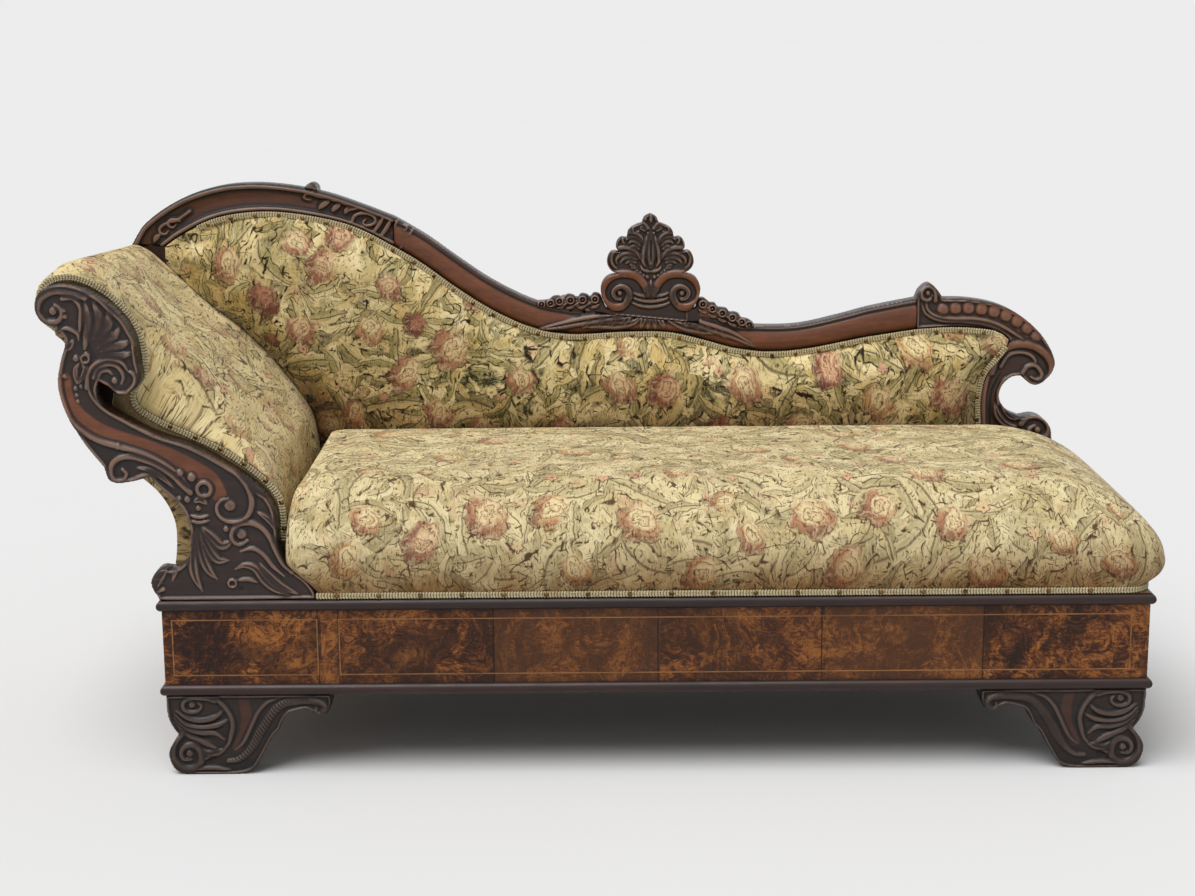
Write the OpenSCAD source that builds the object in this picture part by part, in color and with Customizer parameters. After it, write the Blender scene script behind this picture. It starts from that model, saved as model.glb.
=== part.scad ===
// Fainting couch with one scrolled head end, a half back and a deep apron.
// Front faces -Y, the head end is at -X, +Z is up. The origin is on the
// floor under the middle of the couch's own box.

/* [Base] */
// Length of the base over its end veneers
base_l = 1680; // [1500:10:1900]
// Depth of the base, from the front veneer to the rear rail's back
base_d = 660; // [600:10:740]
// Height of the rails' underside above the floor
foot_h = 142; // [120:1:170]
// Height of the rails
rail_h = 170; // [150:1:200]
// Thickness of the rails
rail_t = 28; // [24:1:34]
// Thickness of the burl veneer
veneer_t = 2; // [1.5:0.5:3]
// Height of the rounded beads over and under the veneer
bead_h = 20; // [16:1:24]
// How far the beads stand proud of the veneer
bead_proud = 8; // [5:1:9]
// Width of the inlaid stringing
string_w = 2; // [1.5:0.5:3]
// Distance from the veneer's edges to the stringing
string_margin = 15; // [10:1:20]

/* [Feet] */
// Width of a front foot
foot_w = 282; // [240:1:310]
// Thickness of a foot's board
foot_t = 58; // [50:1:70]
// Width of a plain rear foot
rear_foot_w = 190; // [160:1:220]

/* [Head end] */
// Width of the carved facing, from the scroll's tip to its inner toe
facing_w = 446; // [420:1:470]
// How far the facing's scroll reaches past the base
facing_over = 183; // [160:1:200]
// Thickness of the facing
facing_t = 42; // [36:1:50]
// Thickness of the scroll boards of the head end
arm_board_t = 22; // [18:1:28]
// Thickness of the stuffing on the head end
arm_pad_t = 42; // [34:1:48]

/* [Back] */
// Height of the back's highest point above the base
back_h = 651; // [620:1:680]
// Length of the hump over the head end
hump_l = 507; // [480:1:540]
// How far the hump's end reaches past the base
hump_over = 154; // [140:1:165]
// Width of the scrolled upright at the foot end
scroll_w = 272; // [250:1:290]
// Distance from the upright's outer edge to the base's end
scroll_in = 44; // [30:1:60]
// Thickness of the back frame
back_t = 50; // [42:1:56]
// How far the back's padding stands in front of the frame
back_bulge = 52; // [40:1:55]
// Half the width of the crest's ornament
palmette_r = 101; // [90:1:110]
// Height of the ornament above the crest's underside
palmette_h = 229; // [200:1:250]

/* [Seat] */
// Height of the seat's crown above the base
seat_h = 188; // [170:1:200]
// How far the seat's foot end swells past the base
seat_over = 28; // [22:1:36]
// How far the seat's front swells past the veneer
seat_proud = 10; // [9:1:14]
// Height of a seat spring
spring_h = 190; // [170:1:200]
// Radius of a spring's end coils
spring_r = 44; // [36:1:50]
// Thickness of a spring's wire
wire_d = 3.6; // [3:0.2:4.4]
// Columns of springs along the seat
spring_cols = 7; // [5:1:8]
// Rows of springs across the seat
spring_rows = 3; // [2:1:3]

/* [Cloth and trim] */
// Thickness of the covering cloth
cover_t = 2.4; // [1.6:0.2:3]
// Thickness of webbing and hessian
hessian_t = 1.6; // [1:0.2:2]
// Width of the webbing
web_w = 52; // [40:1:60]
// Width of the gimp braid
gimp_w = 12; // [9:1:14]
// Thickness of the gimp braid
gimp_t = 2; // [1.4:0.2:2.6]
// Radius of a nail's head
nail_r = 4.4; // [3.4:0.2:5]
// Spacing of the nails on the seat's front
seat_nail_pitch = 71; // [50:1:90]
// Spacing of the nails on the back
back_nail_pitch = 46; // [36:1:60]

/* [Hidden] */

$fn = 48;
// One overrun for every cut
over = 1;
// Clearance of a wooden joint, and of cloth from what it lies on
fit = 0.2;
soft_gap = 0.3;
// Tenons, dowels and screws
tenon_l = 18;
tenon_t = 12;
tenon_shoulder = 20;
dowel_r = 6;
dowel_l = 60;
screw_r = 2.5;
screw_head_r = 5;
screw_l = 40;
screw_sink = 3;
block_leg = 60;
block_h = 90;
batten_w = 24;
batten_h = 36;
// Steps of a smooth stretch between two points of an outline
fine = 4;
coarse = 2;

// Places worked out from the sizes above
xl = -base_l / 2;
xr = base_l / 2;
z_top = foot_h + rail_h;
rail_y0 = veneer_t;
rail_y1 = veneer_t + rail_t;
rear_y0 = base_d - rail_t;
end_x = base_l / 2 - veneer_t;
end_in = end_x - rail_t;
back_y0 = base_d - back_t;
facing_y0 = -bead_proud / 2;
facing_y1 = facing_y0 + facing_t;
pad_y0 = facing_y1 + gimp_t + 2 * soft_gap;
pad_y1 = back_y0 - soft_gap;
seat_y1 = back_y0 - back_bulge - 2 * soft_gap;
seat_rear_y0 = seat_y1 - rail_t;
facing_x = xl - facing_over;
hump_x = xl - hump_over;
// The roll and its facing rise with the back that they lean on
facing_rise_share = 0.828;
facing_h = facing_rise_share * back_h;
hump_end = hump_x + hump_l;
scroll_x = xr - scroll_in - scroll_w;

// The couch's box: the head pad swells past the facing's tip, and the seat
// past the base's other end
roll_share = 0.04;
box_x0 = facing_x - roll_share * facing_w;
box_x1 = xr + seat_over;
box_y0 = -seat_proud;
box_y1 = base_d + hessian_t;
origin_shift = [-(box_x0 + box_x1) / 2, -(box_y0 + box_y1) / 2, 0];

// Smooth curve through points. A third entry marks a corner.
function flat2(p) = [p.x, p.y];
function sharp(p) = len(p) > 2;
function aim(a, b) = norm(b - a) > 0 ? (b - a) / norm(b - a) : [0, 0];
function heading(P, i, closed) =
    let (m = len(P),
         before = closed ? (i + m - 1) % m : max(i - 1, 0),
         after = closed ? (i + 1) % m : min(i + 1, m - 1))
    aim(flat2(P[before]), flat2(P[after]));
function span(P, i, j, n, closed) =
    let (a = flat2(P[i]), b = flat2(P[j]), d = norm(b - a),
         straight = sharp(P[i]) && sharp(P[j]),
         ta = sharp(P[i]) ? aim(a, b) : heading(P, i, closed),
         tb = sharp(P[j]) ? aim(a, b) : heading(P, j, closed))
    straight ? [a] :
    [for (k = [0 : n - 1])
        let (t = k / n)
        a * (2 * t * t * t - 3 * t * t + 1) + b * (3 * t * t - 2 * t * t * t)
        + d * ta * (t * t * t - 2 * t * t + t) + d * tb * (t * t * t - t * t)];
function curve(P, n, closed = false) =
    let (m = len(P), last = closed ? m - 1 : m - 2)
    concat([for (i = [0 : last]) each span(P, i, (i + 1) % m, n, closed)],
           closed ? [] : [flat2(P[m - 1])]);
function back_to_front(P) = [for (i = [len(P) - 1 : -1 : 0]) P[i]];
function placed(S, x, z, w, h) =
    [for (p = S) len(p) > 2 ? [x + p.x * w, z + p.y * h, 1] : [x + p.x * w, z + p.y * h]];
// Moves an open line sideways: to its left where d is above zero
function aside(P, d) =
    [for (i = [0 : len(P) - 1])
        let (t = heading(P, i, false), e = is_list(d) ? d[i] : d)
        P[i] + e * [-t.y, t.x]];
function mix(a, b, t) = a + (b - a) * t;
function mix_line(A, B, t) = [for (i = [0 : len(A) - 1]) mix(A[i], B[i], t)];
function arc_length(P) =
    [for (i = 0, s = 0; i < len(P); s = s + (i + 1 < len(P) ? norm(P[i + 1] - P[i]) : 0), i = i + 1) s];
// Rise of a padded edge: a quarter round over the given width
function quarter(d, width) =
    let (t = min(1, max(0, d / width))) sqrt(1 - (1 - t) * (1 - t));

// Plain shapes
module box(x0, x1, y0, y1, z0, z1) {
    translate([x0, y0, z0]) cube([x1 - x0, y1 - y0, z1 - z0]);
}
module plate(points, y0, y1) {
    translate([0, y1, 0]) rotate([90, 0, 0]) linear_extrude(y1 - y0) polygon(points);
}
// A closed solid between two like grids of points
module slab(A, B) {
    rows = len(A);
    cols = len(A[0]);
    n = rows * cols;
    points = concat([for (r = A) each r], [for (r = B) each r]);
    function at(i, j, s) = s * n + i * cols + j;
    function quad(a, b, c, d) = [[a, b, c], [a, c, d]];
    faces = concat(
        [for (i = [0 : rows - 2], j = [0 : cols - 2])
            each quad(at(i, j, 0), at(i, j + 1, 0), at(i + 1, j + 1, 0), at(i + 1, j, 0))],
        [for (i = [0 : rows - 2], j = [0 : cols - 2])
            each quad(at(i, j, 1), at(i + 1, j, 1), at(i + 1, j + 1, 1), at(i, j + 1, 1))],
        [for (i = [0 : rows - 2])
            each quad(at(i, 0, 0), at(i + 1, 0, 0), at(i + 1, 0, 1), at(i, 0, 1))],
        [for (i = [0 : rows - 2])
            each quad(at(i, cols - 1, 0), at(i, cols - 1, 1),
                      at(i + 1, cols - 1, 1), at(i + 1, cols - 1, 0))],
        [for (j = [0 : cols - 2])
            each quad(at(0, j, 0), at(0, j, 1), at(0, j + 1, 1), at(0, j + 1, 0))],
        [for (j = [0 : cols - 2])
            each quad(at(rows - 1, j, 0), at(rows - 1, j + 1, 0),
                      at(rows - 1, j + 1, 1), at(rows - 1, j, 1))]);
    polyhedron(points, faces);
}
// A closed solid through like rings of points, with a point to close each end
module rings_solid(rings, first_point, last_point) {
    m = len(rings[0]);
    k = len(rings);
    points = concat([for (r = rings) each r], [first_point, last_point]);
    faces = concat(
        [for (i = [0 : k - 2], j = [0 : m - 1])
            let (a = i * m + j, b = i * m + (j + 1) % m, c = a + m, d = b + m)
            each [[a, c, b], [b, c, d]]],
        [for (j = [0 : m - 1]) [k * m, j, (j + 1) % m]],
        [for (j = [0 : m - 1]) [k * m + 1, (k - 1) * m + (j + 1) % m, (k - 1) * m + j]]);
    polyhedron(points, faces);
}
// A domed nail's head, its underside at the origin, standing out to -Y
nail_shares = [[0, 0], [1, 0], [0.72, 0.42], [0, 0.6]];
module nail() {
    rotate([90, 0, 0]) rotate_extrude($fn = 16) polygon(nail_r * nail_shares);
}

// Outlines, as shares of the sizes that they follow
facing_shares = [
    [0.406, 0, 1], [0.377, 0.058], [0.41, 0.1], [0.47, 0.1], [0.53, 0.14, 1],
    [0.535, 0.225], [0.505, 0.3], [0.42, 0.37], [0.395, 0.4, 1], [0.32, 0.383], [0.245, 0.384],
    [0.222, 0.43, 1], [0.152, 0.508], [0.093, 0.603], [0.07, 0.69], [0.085, 0.765],
    [0.106, 0.825], [0.092, 0.85, 1], [0.072, 0.85], [0.07, 0.868, 1], [0.02, 0.89], [0, 0.935],
    [0.022, 0.98], [0.1, 1], [0.2, 0.978], [0.3, 0.915], [0.355, 0.84], [0.366, 0.765],
    [0.374, 0.705], [0.34, 0.668], [0.29, 0.658], [0.25, 0.685], [0.222, 0.7, 1],
    [0.213, 0.67], [0.235, 0.623], [0.31, 0.58], [0.42, 0.532], [0.55, 0.494], [0.68, 0.432],
    [0.79, 0.364], [0.848, 0.3], [0.862, 0.22], [0.866, 0.17], [0.905, 0.105], [0.965, 0.062],
    [0.996, 0.025], [1, 0, 1]];
foot_shares = [
    [0, 1, 1], [0, 0.87], [0.01, 0.7], [0.045, 0.56], [0.075, 0.5, 1], [0.03, 0.4],
    [0.002, 0.28], [0.008, 0.16], [0.035, 0.06], [0.08, 0.012], [0.13, 0, 1], [0.405, 0, 1],
    [0.47, 0.022], [0.52, 0.08], [0.56, 0.2], [0.6, 0.34], [0.64, 0.48], [0.68, 0.57],
    [0.7, 0.66], [0.735, 0.76], [0.79, 0.8], [0.85, 0.82], [0.9, 0.775], [0.945, 0.745],
    [0.985, 0.79], [1, 0.88], [1, 1, 1]];
rear_foot_shares = [
    [0, 1, 1], [0, 0, 1], [0.42, 0, 1], [0.46, 0.2], [0.55, 0.45], [0.7, 0.66], [0.9, 0.78],
    [1, 0.84, 1], [1, 1, 1]];
// The roll's section, from the seat side over the top and down outside, over
// the facing's width and height
pad_mid_shares = [
    [0.848, 0.065], [0.85, 0.17], [0.85, 0.27], [0.826, 0.378], [0.776, 0.448], [0.708, 0.525],
    [0.625, 0.61], [0.522, 0.712], [0.417, 0.796], [0.314, 0.89], [0.24, 0.962], [0.17, 1.016],
    [0.09, 1.042], [0.02, 1.024], [-0.025, 0.983], [-0.04, 0.933], [-0.018, 0.878],
    [0.04, 0.84], [0.088, 0.8], [0.114, 0.72], [0.128, 0.627], [0.19, 0.515], [0.298, 0.413],
    [0.406, 0.33], [0.458, 0.247], [0.464, 0.163], [0.448, 0.065]];
pad_front_shares = [
    [0.86, 0.065], [0.885, 0.17], [0.88, 0.3], [0.835, 0.362], [0.765, 0.415], [0.66, 0.475],
    [0.54, 0.525], [0.42, 0.572], [0.34, 0.63], [0.385, 0.71], [0.39, 0.79], [0.35, 0.885],
    [0.26, 0.972], [0.13, 1.024], [0.02, 1.005], [-0.018, 0.94], [-0.005, 0.885],
    [0.045, 0.845], [0.088, 0.8], [0.114, 0.72], [0.128, 0.627], [0.19, 0.515], [0.298, 0.413],
    [0.406, 0.33], [0.458, 0.247], [0.464, 0.163], [0.448, 0.065]];
// Where the stuffing is thick along that section, and how far round it the
// inside cover goes
pad_thick_shares = [
    1, 1, 1, 1, 1, 1, 1, 1, 1, 1, 1, 1, 1, 1, 1, 0.9, 0.7, 0.4, 0.25, 0.15, 0.15, 0.15, 0.15,
    0.15, 0.15, 0.15, 0.15];
pad_turn = 17;
roll_foot_share = 0.435;
// Where the roll's top sinks towards the back
sink_from_share = 0.35;
// The hump, the long rail and the upright, over their own lengths and the
// back's height
hump_top_shares = [
    [0, 0.82, 1], [0.057, 0.885], [0.19, 0.954], [0.33, 0.99], [0.46, 1], [0.6, 0.992],
    [0.75, 0.968], [0.89, 0.93], [1, 0.896]];
hump_under_shares = [
    [0.13, 0.817], [0.19, 0.849], [0.32, 0.897], [0.46, 0.916], [0.6, 0.914], [0.78, 0.889],
    [0.88, 0.862], [1, 0.812]];
rail_top_shares = [
    [0, 0.896], [0.06, 0.84], [0.116, 0.777], [0.182, 0.707], [0.258, 0.647], [0.324, 0.619],
    [0.42, 0.602], [0.53, 0.584], [0.62, 0.57], [0.7, 0.562], [0.776, 0.565], [0.862, 0.594],
    [0.91, 0.614], [1, 0.641]];
rail_under_shares = [
    [0, 0.812], [0.05, 0.765], [0.125, 0.68], [0.2, 0.608], [0.276, 0.559], [0.343, 0.545],
    [0.43, 0.551], [0.52, 0.55], [0.585, 0.528], [0.65, 0.5], [0.72, 0.488], [0.796, 0.498],
    [0.892, 0.527], [1, 0.553]];
scroll_outer_shares = [
    [0, 0.553, 1], [0, 0.641, 1], [0.03, 0.668], [0.095, 0.686], [0.15, 0.668], [0.19, 0.642, 1],
    [0.38, 0.639], [0.57, 0.624], [0.74, 0.591], [0.886, 0.539], [0.978, 0.481], [1, 0.438],
    [0.934, 0.393], [0.85, 0.381], [0.76, 0.409, 1], [0.69, 0.404], [0.63, 0.381],
    [0.607, 0.347], [0.64, 0.316], [0.7, 0.293], [0.776, 0.279, 1], [0.886, 0.284],
    [0.97, 0.261], [1, 0.215], [0.975, 0.165], [0.9, 0.137], [0.81, 0.127, 1], [0.81, 0, 1],
    [0.478, 0, 1]];
scroll_inner_shares = [
    [0.478, 0.243], [0.467, 0.335], [0.5, 0.412], [0.574, 0.452], [0.647, 0.492], [0.665, 0.52]];
scroll_under_shares = [[0, 0.553], [0.243, 0.558], [0.463, 0.553], [0.6, 0.541], [0.665, 0.52]];
scroll_shares = concat(scroll_outer_shares, scroll_inner_shares,
    [for (i = [len(scroll_under_shares) - 2 : -1 : 1]) scroll_under_shares[i]]);
// One half of the ornament, from its middle outwards
palmette_shares = [
    [0, 1, 1], [0.12, 0.97], [0.16, 0.925, 1], [0.31, 0.9], [0.42, 0.86], [0.45, 0.8, 1],
    [0.58, 0.8], [0.66, 0.735], [0.6, 0.685, 1], [0.76, 0.68], [0.83, 0.6], [0.76, 0.53],
    [0.62, 0.5, 1], [0.84, 0.47], [0.95, 0.39], [0.93, 0.3], [0.84, 0.22], [0.72, 0.16, 1],
    [0.72, 0, 1]];
palmette_place_share = 0.489;
palmette_t = 30;
palmette_step = 4;

post_top_z = z_top + hump_under_shares[0].y * back_h;
rail_left = facing_x + pad_mid_shares[1].x * facing_w;
rail_right = scroll_x + scroll_inner_shares[0].x * scroll_w;
back_mid = back_y0 + back_t / 2;

facing_outline = curve(placed(facing_shares, facing_x, z_top, facing_w, facing_h), fine, true);
foot_outline = curve(placed(foot_shares, xl, 0, foot_w, foot_h), fine, true);
rear_foot_outline = curve(placed(rear_foot_shares, xl, 0, rear_foot_w, foot_h), fine, true);
pad_mid = curve(placed(pad_mid_shares, facing_x, z_top, facing_w, facing_h), coarse);
pad_front = curve(placed(pad_front_shares, facing_x, z_top, facing_w, facing_h), coarse);
hump_top = curve(placed(hump_top_shares, hump_x, z_top, hump_l, back_h), fine);
hump_under = curve(placed(hump_under_shares, hump_x, z_top, hump_l, back_h), fine);
rail_top = curve(placed(rail_top_shares, hump_end, z_top, scroll_x - hump_end, back_h), fine);
rail_under = curve(placed(rail_under_shares, hump_end, z_top, scroll_x - hump_end, back_h), fine);
scroll_outline = curve(placed(scroll_shares, scroll_x, z_top, scroll_w, back_h), fine, true);
palmette_x = mix(hump_end, scroll_x, palmette_place_share);
crest_at_palmette = z_top + rail_under_shares[6].y * back_h;

// The base
module mortise(x, y, z0, z1, half_x, half_y) {
    box(x - half_x - fit, x + half_x + fit, y - half_y, y + half_y, z0 - fit, z1 + fit);
}
module long_rail(y0, y1, inward) {
    edge = inward > 0 ? y1 : y0;
    difference() {
        box(-end_x, end_x, y0, y1, foot_h, z_top);
        for (x = [-end_in - rail_t / 2, end_in + rail_t / 2])
            mortise(x, edge, foot_h + tenon_shoulder, z_top - tenon_shoulder, tenon_t / 2, tenon_l + fit);
        mortise(cross_x, edge, cross_z0 + tenon_shoulder, z_top - tenon_shoulder,
                tenon_t / 2, tenon_l + fit);
        if (inward > 0) {
            for (x = dowel_places) peg_hole(x, (y0 + y1) / 2, foot_h);
            for (x = facing_peg_x) peg_hole(x, (y0 + y1) / 2, z_top);
        }
        else {
            for (x = rear_dowel_places) peg_hole(x, (y0 + y1) / 2, foot_h);
            for (x = post_x)
                mortise(x, (y0 + y1) / 2, z_top - tenon_l - fit, z_top + over,
                        post_tenon, tenon_t / 2 + fit);
        }
    }
}
module peg_hole(x, y, z) {
    translate([x, y, z - dowel_l / 2 - fit]) cylinder(h = dowel_l + 2 * fit, r = dowel_r + fit / 4);
}
module peg(x, y, z) {
    translate([x, y, z - dowel_l / 2]) cylinder(h = dowel_l, r = dowel_r);
}
module across_rail(x0, x1, z0) {
    x = (x0 + x1) / 2;
    box(x0, x1, rail_y1, rear_y0, z0, z_top);
    box(x - tenon_t / 2, x + tenon_t / 2, rail_y1 - tenon_l, rear_y0 + tenon_l,
        z0 + tenon_shoulder, z_top - tenon_shoulder);
}
// The inner cross rail carries the seat's head side and the head end's foot
toe_x = facing_x + facing_w;
cross_w = 62;
cross_x1 = toe_x + rail_t / 2;
cross_x0 = cross_x1 - cross_w;
cross_x = (cross_x0 + cross_x1) / 2;
cross_z0 = foot_h + bead_h;
foot_peg_shares = [0.2, 0.52];
rear_peg_shares = [0.15, 0.35];
dowel_places = [for (s = foot_peg_shares, side = [-1, 1]) side * (end_x - s * foot_w)];
rear_dowel_places = [for (s = rear_peg_shares, side = [-1, 1]) side * (end_x - s * rear_foot_w)];
facing_peg_shares = [0.5, 0.86];
facing_peg_x = [for (s = facing_peg_shares) facing_x + s * facing_w];
post_tenon = 30;
post_place_shares = [0.5, 0.645];
post_x = [facing_x + post_place_shares[0] * facing_w, scroll_x + post_place_shares[1] * scroll_w];

module front_rail() { color("#8a6a45") long_rail(rail_y0, rail_y1, 1); }
module rear_rail() { color("#8a6a45") long_rail(rear_y0, base_d, -1); }
module end_rail_left() { color("#8a6a45") across_rail(-end_x, -end_in, foot_h); }
module end_rail_right() {
    color("#8a6a45") difference() {
        across_rail(end_in, end_x, foot_h);
        seat_rear_tenons(fit);
    }
}
module cross_rail() {
    color("#8a6a45") difference() {
        across_rail(cross_x0, cross_x1, cross_z0);
        seat_rear_tenons(fit);
    }
}
module seat_rear_tenons(grow) {
    y = seat_rear_y0 + rail_t / 2;
    box(well_x0 - tenon_l - grow, well_x1 + tenon_l + grow, y - tenon_t / 2 - grow, y + tenon_t / 2 + grow,
        cross_z0 + tenon_shoulder - grow, z_top - tenon_shoulder + grow);
}
module seat_rear_rail() {
    color("#8a6a45") {
        box(well_x0, well_x1, seat_rear_y0, seat_y1, cross_z0, z_top);
        seat_rear_tenons(0);
    }
}

// Veneer, with the joints between its leaves, and the inlaid lines
flitch_shares = [0, 0.157, 0.178, 0.335, 0.502, 0.668, 0.832, 1];
glue_line = 0.3;
veneer_z0 = foot_h + bead_h;
veneer_z1 = z_top - bead_h;
string_depth_share = 0.5;
module line_frame(x0, x1, grow) {
    y1 = veneer_t * string_depth_share;
    z0 = veneer_z0 + string_margin;
    z1 = veneer_z1 - string_margin;
    difference() {
        box(x0 - grow, x1 + grow, 0, y1, z0 - grow, z1 + grow);
        box(x0 + string_w + grow, x1 - string_w - grow, -over, y1 + over,
            z0 + string_w + grow, z1 - string_w - grow);
    }
}
panel_x0 = xl + flitch_shares[1] * base_l;
panel_x1 = xl + flitch_shares[2] * base_l;
module line_frames(grow) {
    line_frame(xl + string_margin, panel_x0, grow);
    line_frame(panel_x1, xr - 2 * string_margin, grow);
}
module front_veneer() {
    color("#6b3418") difference() {
        for (i = [0 : len(flitch_shares) - 2])
            box(xl + flitch_shares[i] * base_l + (i > 0 ? glue_line : 0),
                xl + flitch_shares[i + 1] * base_l, 0, veneer_t, veneer_z0, veneer_z1);
        line_frames(fit / 4);
        translate([0, -over, 0]) line_frames(fit / 4);
    }
}
module end_veneer(x0) { color("#6b3418") box(x0, x0 + veneer_t, veneer_t, base_d, veneer_z0, veneer_z1); }
module end_veneer_left() { end_veneer(xl); }
module end_veneer_right() { end_veneer(xr - veneer_t); }
module stringing() { color("#c9a05c") line_frames(0); }

// Half-round beads, mitred at the front corners
module bead_section() {
    r = bead_h / 2;
    intersection() {
        translate([0, r]) scale([(bead_proud + veneer_t) / r, 1]) circle(r);
        translate([-2 * r, 0]) square([2 * r, bead_h]);
    }
}
module front_bead(z) {
    reach = base_l / 2 + bead_proud;
    depth = bead_proud + veneer_t;
    intersection() {
        translate([-reach, veneer_t, z]) rotate([90, 0, 90]) linear_extrude(2 * reach) bead_section();
        translate([0, 0, z]) linear_extrude(bead_h)
            polygon([[-reach, -bead_proud], [reach, -bead_proud],
                     [reach - depth, veneer_t], [depth - reach, veneer_t]]);
    }
}
module side_bead(z, side) {
    reach = base_l / 2 + bead_proud;
    depth = bead_proud + veneer_t;
    mirror([side > 0 ? 1 : 0, 0, 0])
    intersection() {
        translate([-end_x, base_d, z]) rotate([90, 0, 0])
            linear_extrude(base_d + bead_proud) bead_section();
        translate([0, 0, z]) linear_extrude(bead_h)
            polygon([[-reach, -bead_proud + fit], [depth - reach, veneer_t + fit],
                     [depth - reach, base_d], [-reach, base_d]]);
    }
}
module top_bead_front() { color("#3b2218") front_bead(z_top - bead_h); }
module top_bead_left() { color("#3b2218") side_bead(z_top - bead_h, -1); }
module top_bead_right() { color("#3b2218") side_bead(z_top - bead_h, 1); }
module bottom_bead_front() { color("#3b2218") front_bead(foot_h); }
module bottom_bead_left() { color("#3b2218") side_bead(foot_h, -1); }
module bottom_bead_right() { color("#3b2218") side_bead(foot_h, 1); }

// Feet: boards with a carved outline in front, plain ones behind
module foot(outline, y0, y1, peg_y, places) {
    difference() {
        plate(outline, y0, y1);
        for (x = places) peg_hole(x, peg_y, foot_h);
    }
}
front_peg_y = (rail_y0 + rail_y1) / 2;
rear_peg_y = (rear_y0 + base_d) / 2;
module front_foot() { foot(foot_outline, facing_y0, facing_y0 + foot_t, front_peg_y, dowel_places); }
module rear_foot() { foot(rear_foot_outline, base_d - foot_t, base_d, rear_peg_y, rear_dowel_places); }
module foot_front_left() { color("#2f2019") front_foot(); }
module foot_front_right() { color("#2f2019") mirror([1, 0, 0]) front_foot(); }
module foot_rear_left() { color("#2f2019") rear_foot(); }
module foot_rear_right() { color("#2f2019") mirror([1, 0, 0]) rear_foot(); }
module foot_dowels() {
    color("#c8a878") {
        for (x = dowel_places) peg(x, front_peg_y, foot_h);
        for (x = rear_dowel_places) peg(x, rear_peg_y, foot_h);
    }
}

// Blocks in the corners, each with two screws
block_z = z_top - block_h / 2 - bead_h;
module corner_block(x_side, y_side) {
    x = x_side * end_in;
    y = y_side < 0 ? rail_y1 : rear_y0;
    translate([x, y, block_z - block_h / 2]) linear_extrude(block_h)
        polygon([[0, 0], [-x_side * block_leg, 0], [0, -y_side * block_leg]]);
}
screw_rise = 22;
module block_screw(x_side, y_side, rise, grow) {
    x = x_side * end_in;
    y = y_side < 0 ? rail_y1 : rear_y0;
    mid = block_leg / 2;
    turn = atan2(y_side, x_side);
    translate([x - x_side * mid, y - y_side * mid, block_z + rise]) rotate([0, 90, turn]) {
        translate([0, 0, -over * grow])
            cylinder(h = screw_sink + over * grow, r = screw_head_r + fit * grow);
        cylinder(h = screw_l + fit * grow, r = screw_r + fit * grow);
    }
}
module each_screw(grow) {
    for (x = [-1, 1], y = [-1, 1], r = [-screw_rise, screw_rise]) block_screw(x, y, r, grow);
}
module corner_blocks() {
    color("#a98557") difference() {
        for (x = [-1, 1], y = [-1, 1]) corner_block(x, y);
        each_screw(1);
    }
}
module block_screws() {
    color("#8d8d8d") intersection() {
        each_screw(0);
        for (x = [-1, 1], y = [-1, 1]) corner_block(x, y);
    }
}

// Battens round the spring well, and the woven webbing that lies on them
well_x0 = cross_x1;
well_x1 = end_in;
batten_z0 = foot_h + bead_h;
batten_z1 = batten_z0 + batten_h;
module webbing_battens() {
    color("#a98557") {
        for (y = [rail_y1, seat_rear_y0 - batten_w])
            box(well_x0 + batten_w + fit, well_x1 - batten_w - fit, y, y + batten_w,
                batten_z0, batten_z1);
        for (x = [well_x0, well_x1 - batten_w])
            box(x, x + batten_w, rail_y1, seat_rear_y0, batten_z0, batten_z1);
    }
}
col_pitch = (well_x1 - well_x0) / spring_cols;
row_pitch = (seat_rear_y0 - rail_y1) / spring_rows;
col_x = [for (i = [0 : spring_cols - 1]) well_x0 + (i + 0.5) * col_pitch];
row_y = [for (j = [0 : spring_rows - 1]) rail_y1 + (j + 0.5) * row_pitch];
web_rise = hessian_t + soft_gap;
strap_flat_share = 0.6;
function strap_line(a, b, places, odd) =
    concat([[a, batten_z1], [a + batten_w, batten_z1]],
           [for (i = [0 : len(places) - 1]) each
               let (z = batten_z1 + ((i + odd) % 2 == 0 ? 0 : web_rise), half = web_w * strap_flat_share)
               [[places[i] - half, z], [places[i] + half, z]]],
           [[b - batten_w, batten_z1], [b, batten_z1]]);
function thick_line(P, t) = concat(P, [for (p = back_to_front(P)) [p.x, p.y + t]]);
module webbing_crosswise() {
    color("#b7a27a") for (i = [0 : spring_cols - 1])
        translate([col_x[i] - web_w / 2, 0, 0]) rotate([90, 0, 90]) linear_extrude(web_w)
            polygon(thick_line(strap_line(rail_y1 + fit, seat_rear_y0 - fit, row_y, i), hessian_t));
}
module webbing_lengthwise() {
    color("#b7a27a") for (j = [0 : spring_rows - 1])
        plate(thick_line(strap_line(well_x0 + fit, well_x1 - fit, col_x, j + 1), hessian_t),
              row_y[j] - web_w / 2, row_y[j] + web_w / 2);
}
module dust_cover() {
    color("#3a3632") box(well_x0 + fit, well_x1 - fit, rail_y1 + fit, seat_rear_y0 - fit,
                         batten_z0 - hessian_t, batten_z0);
}

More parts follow.
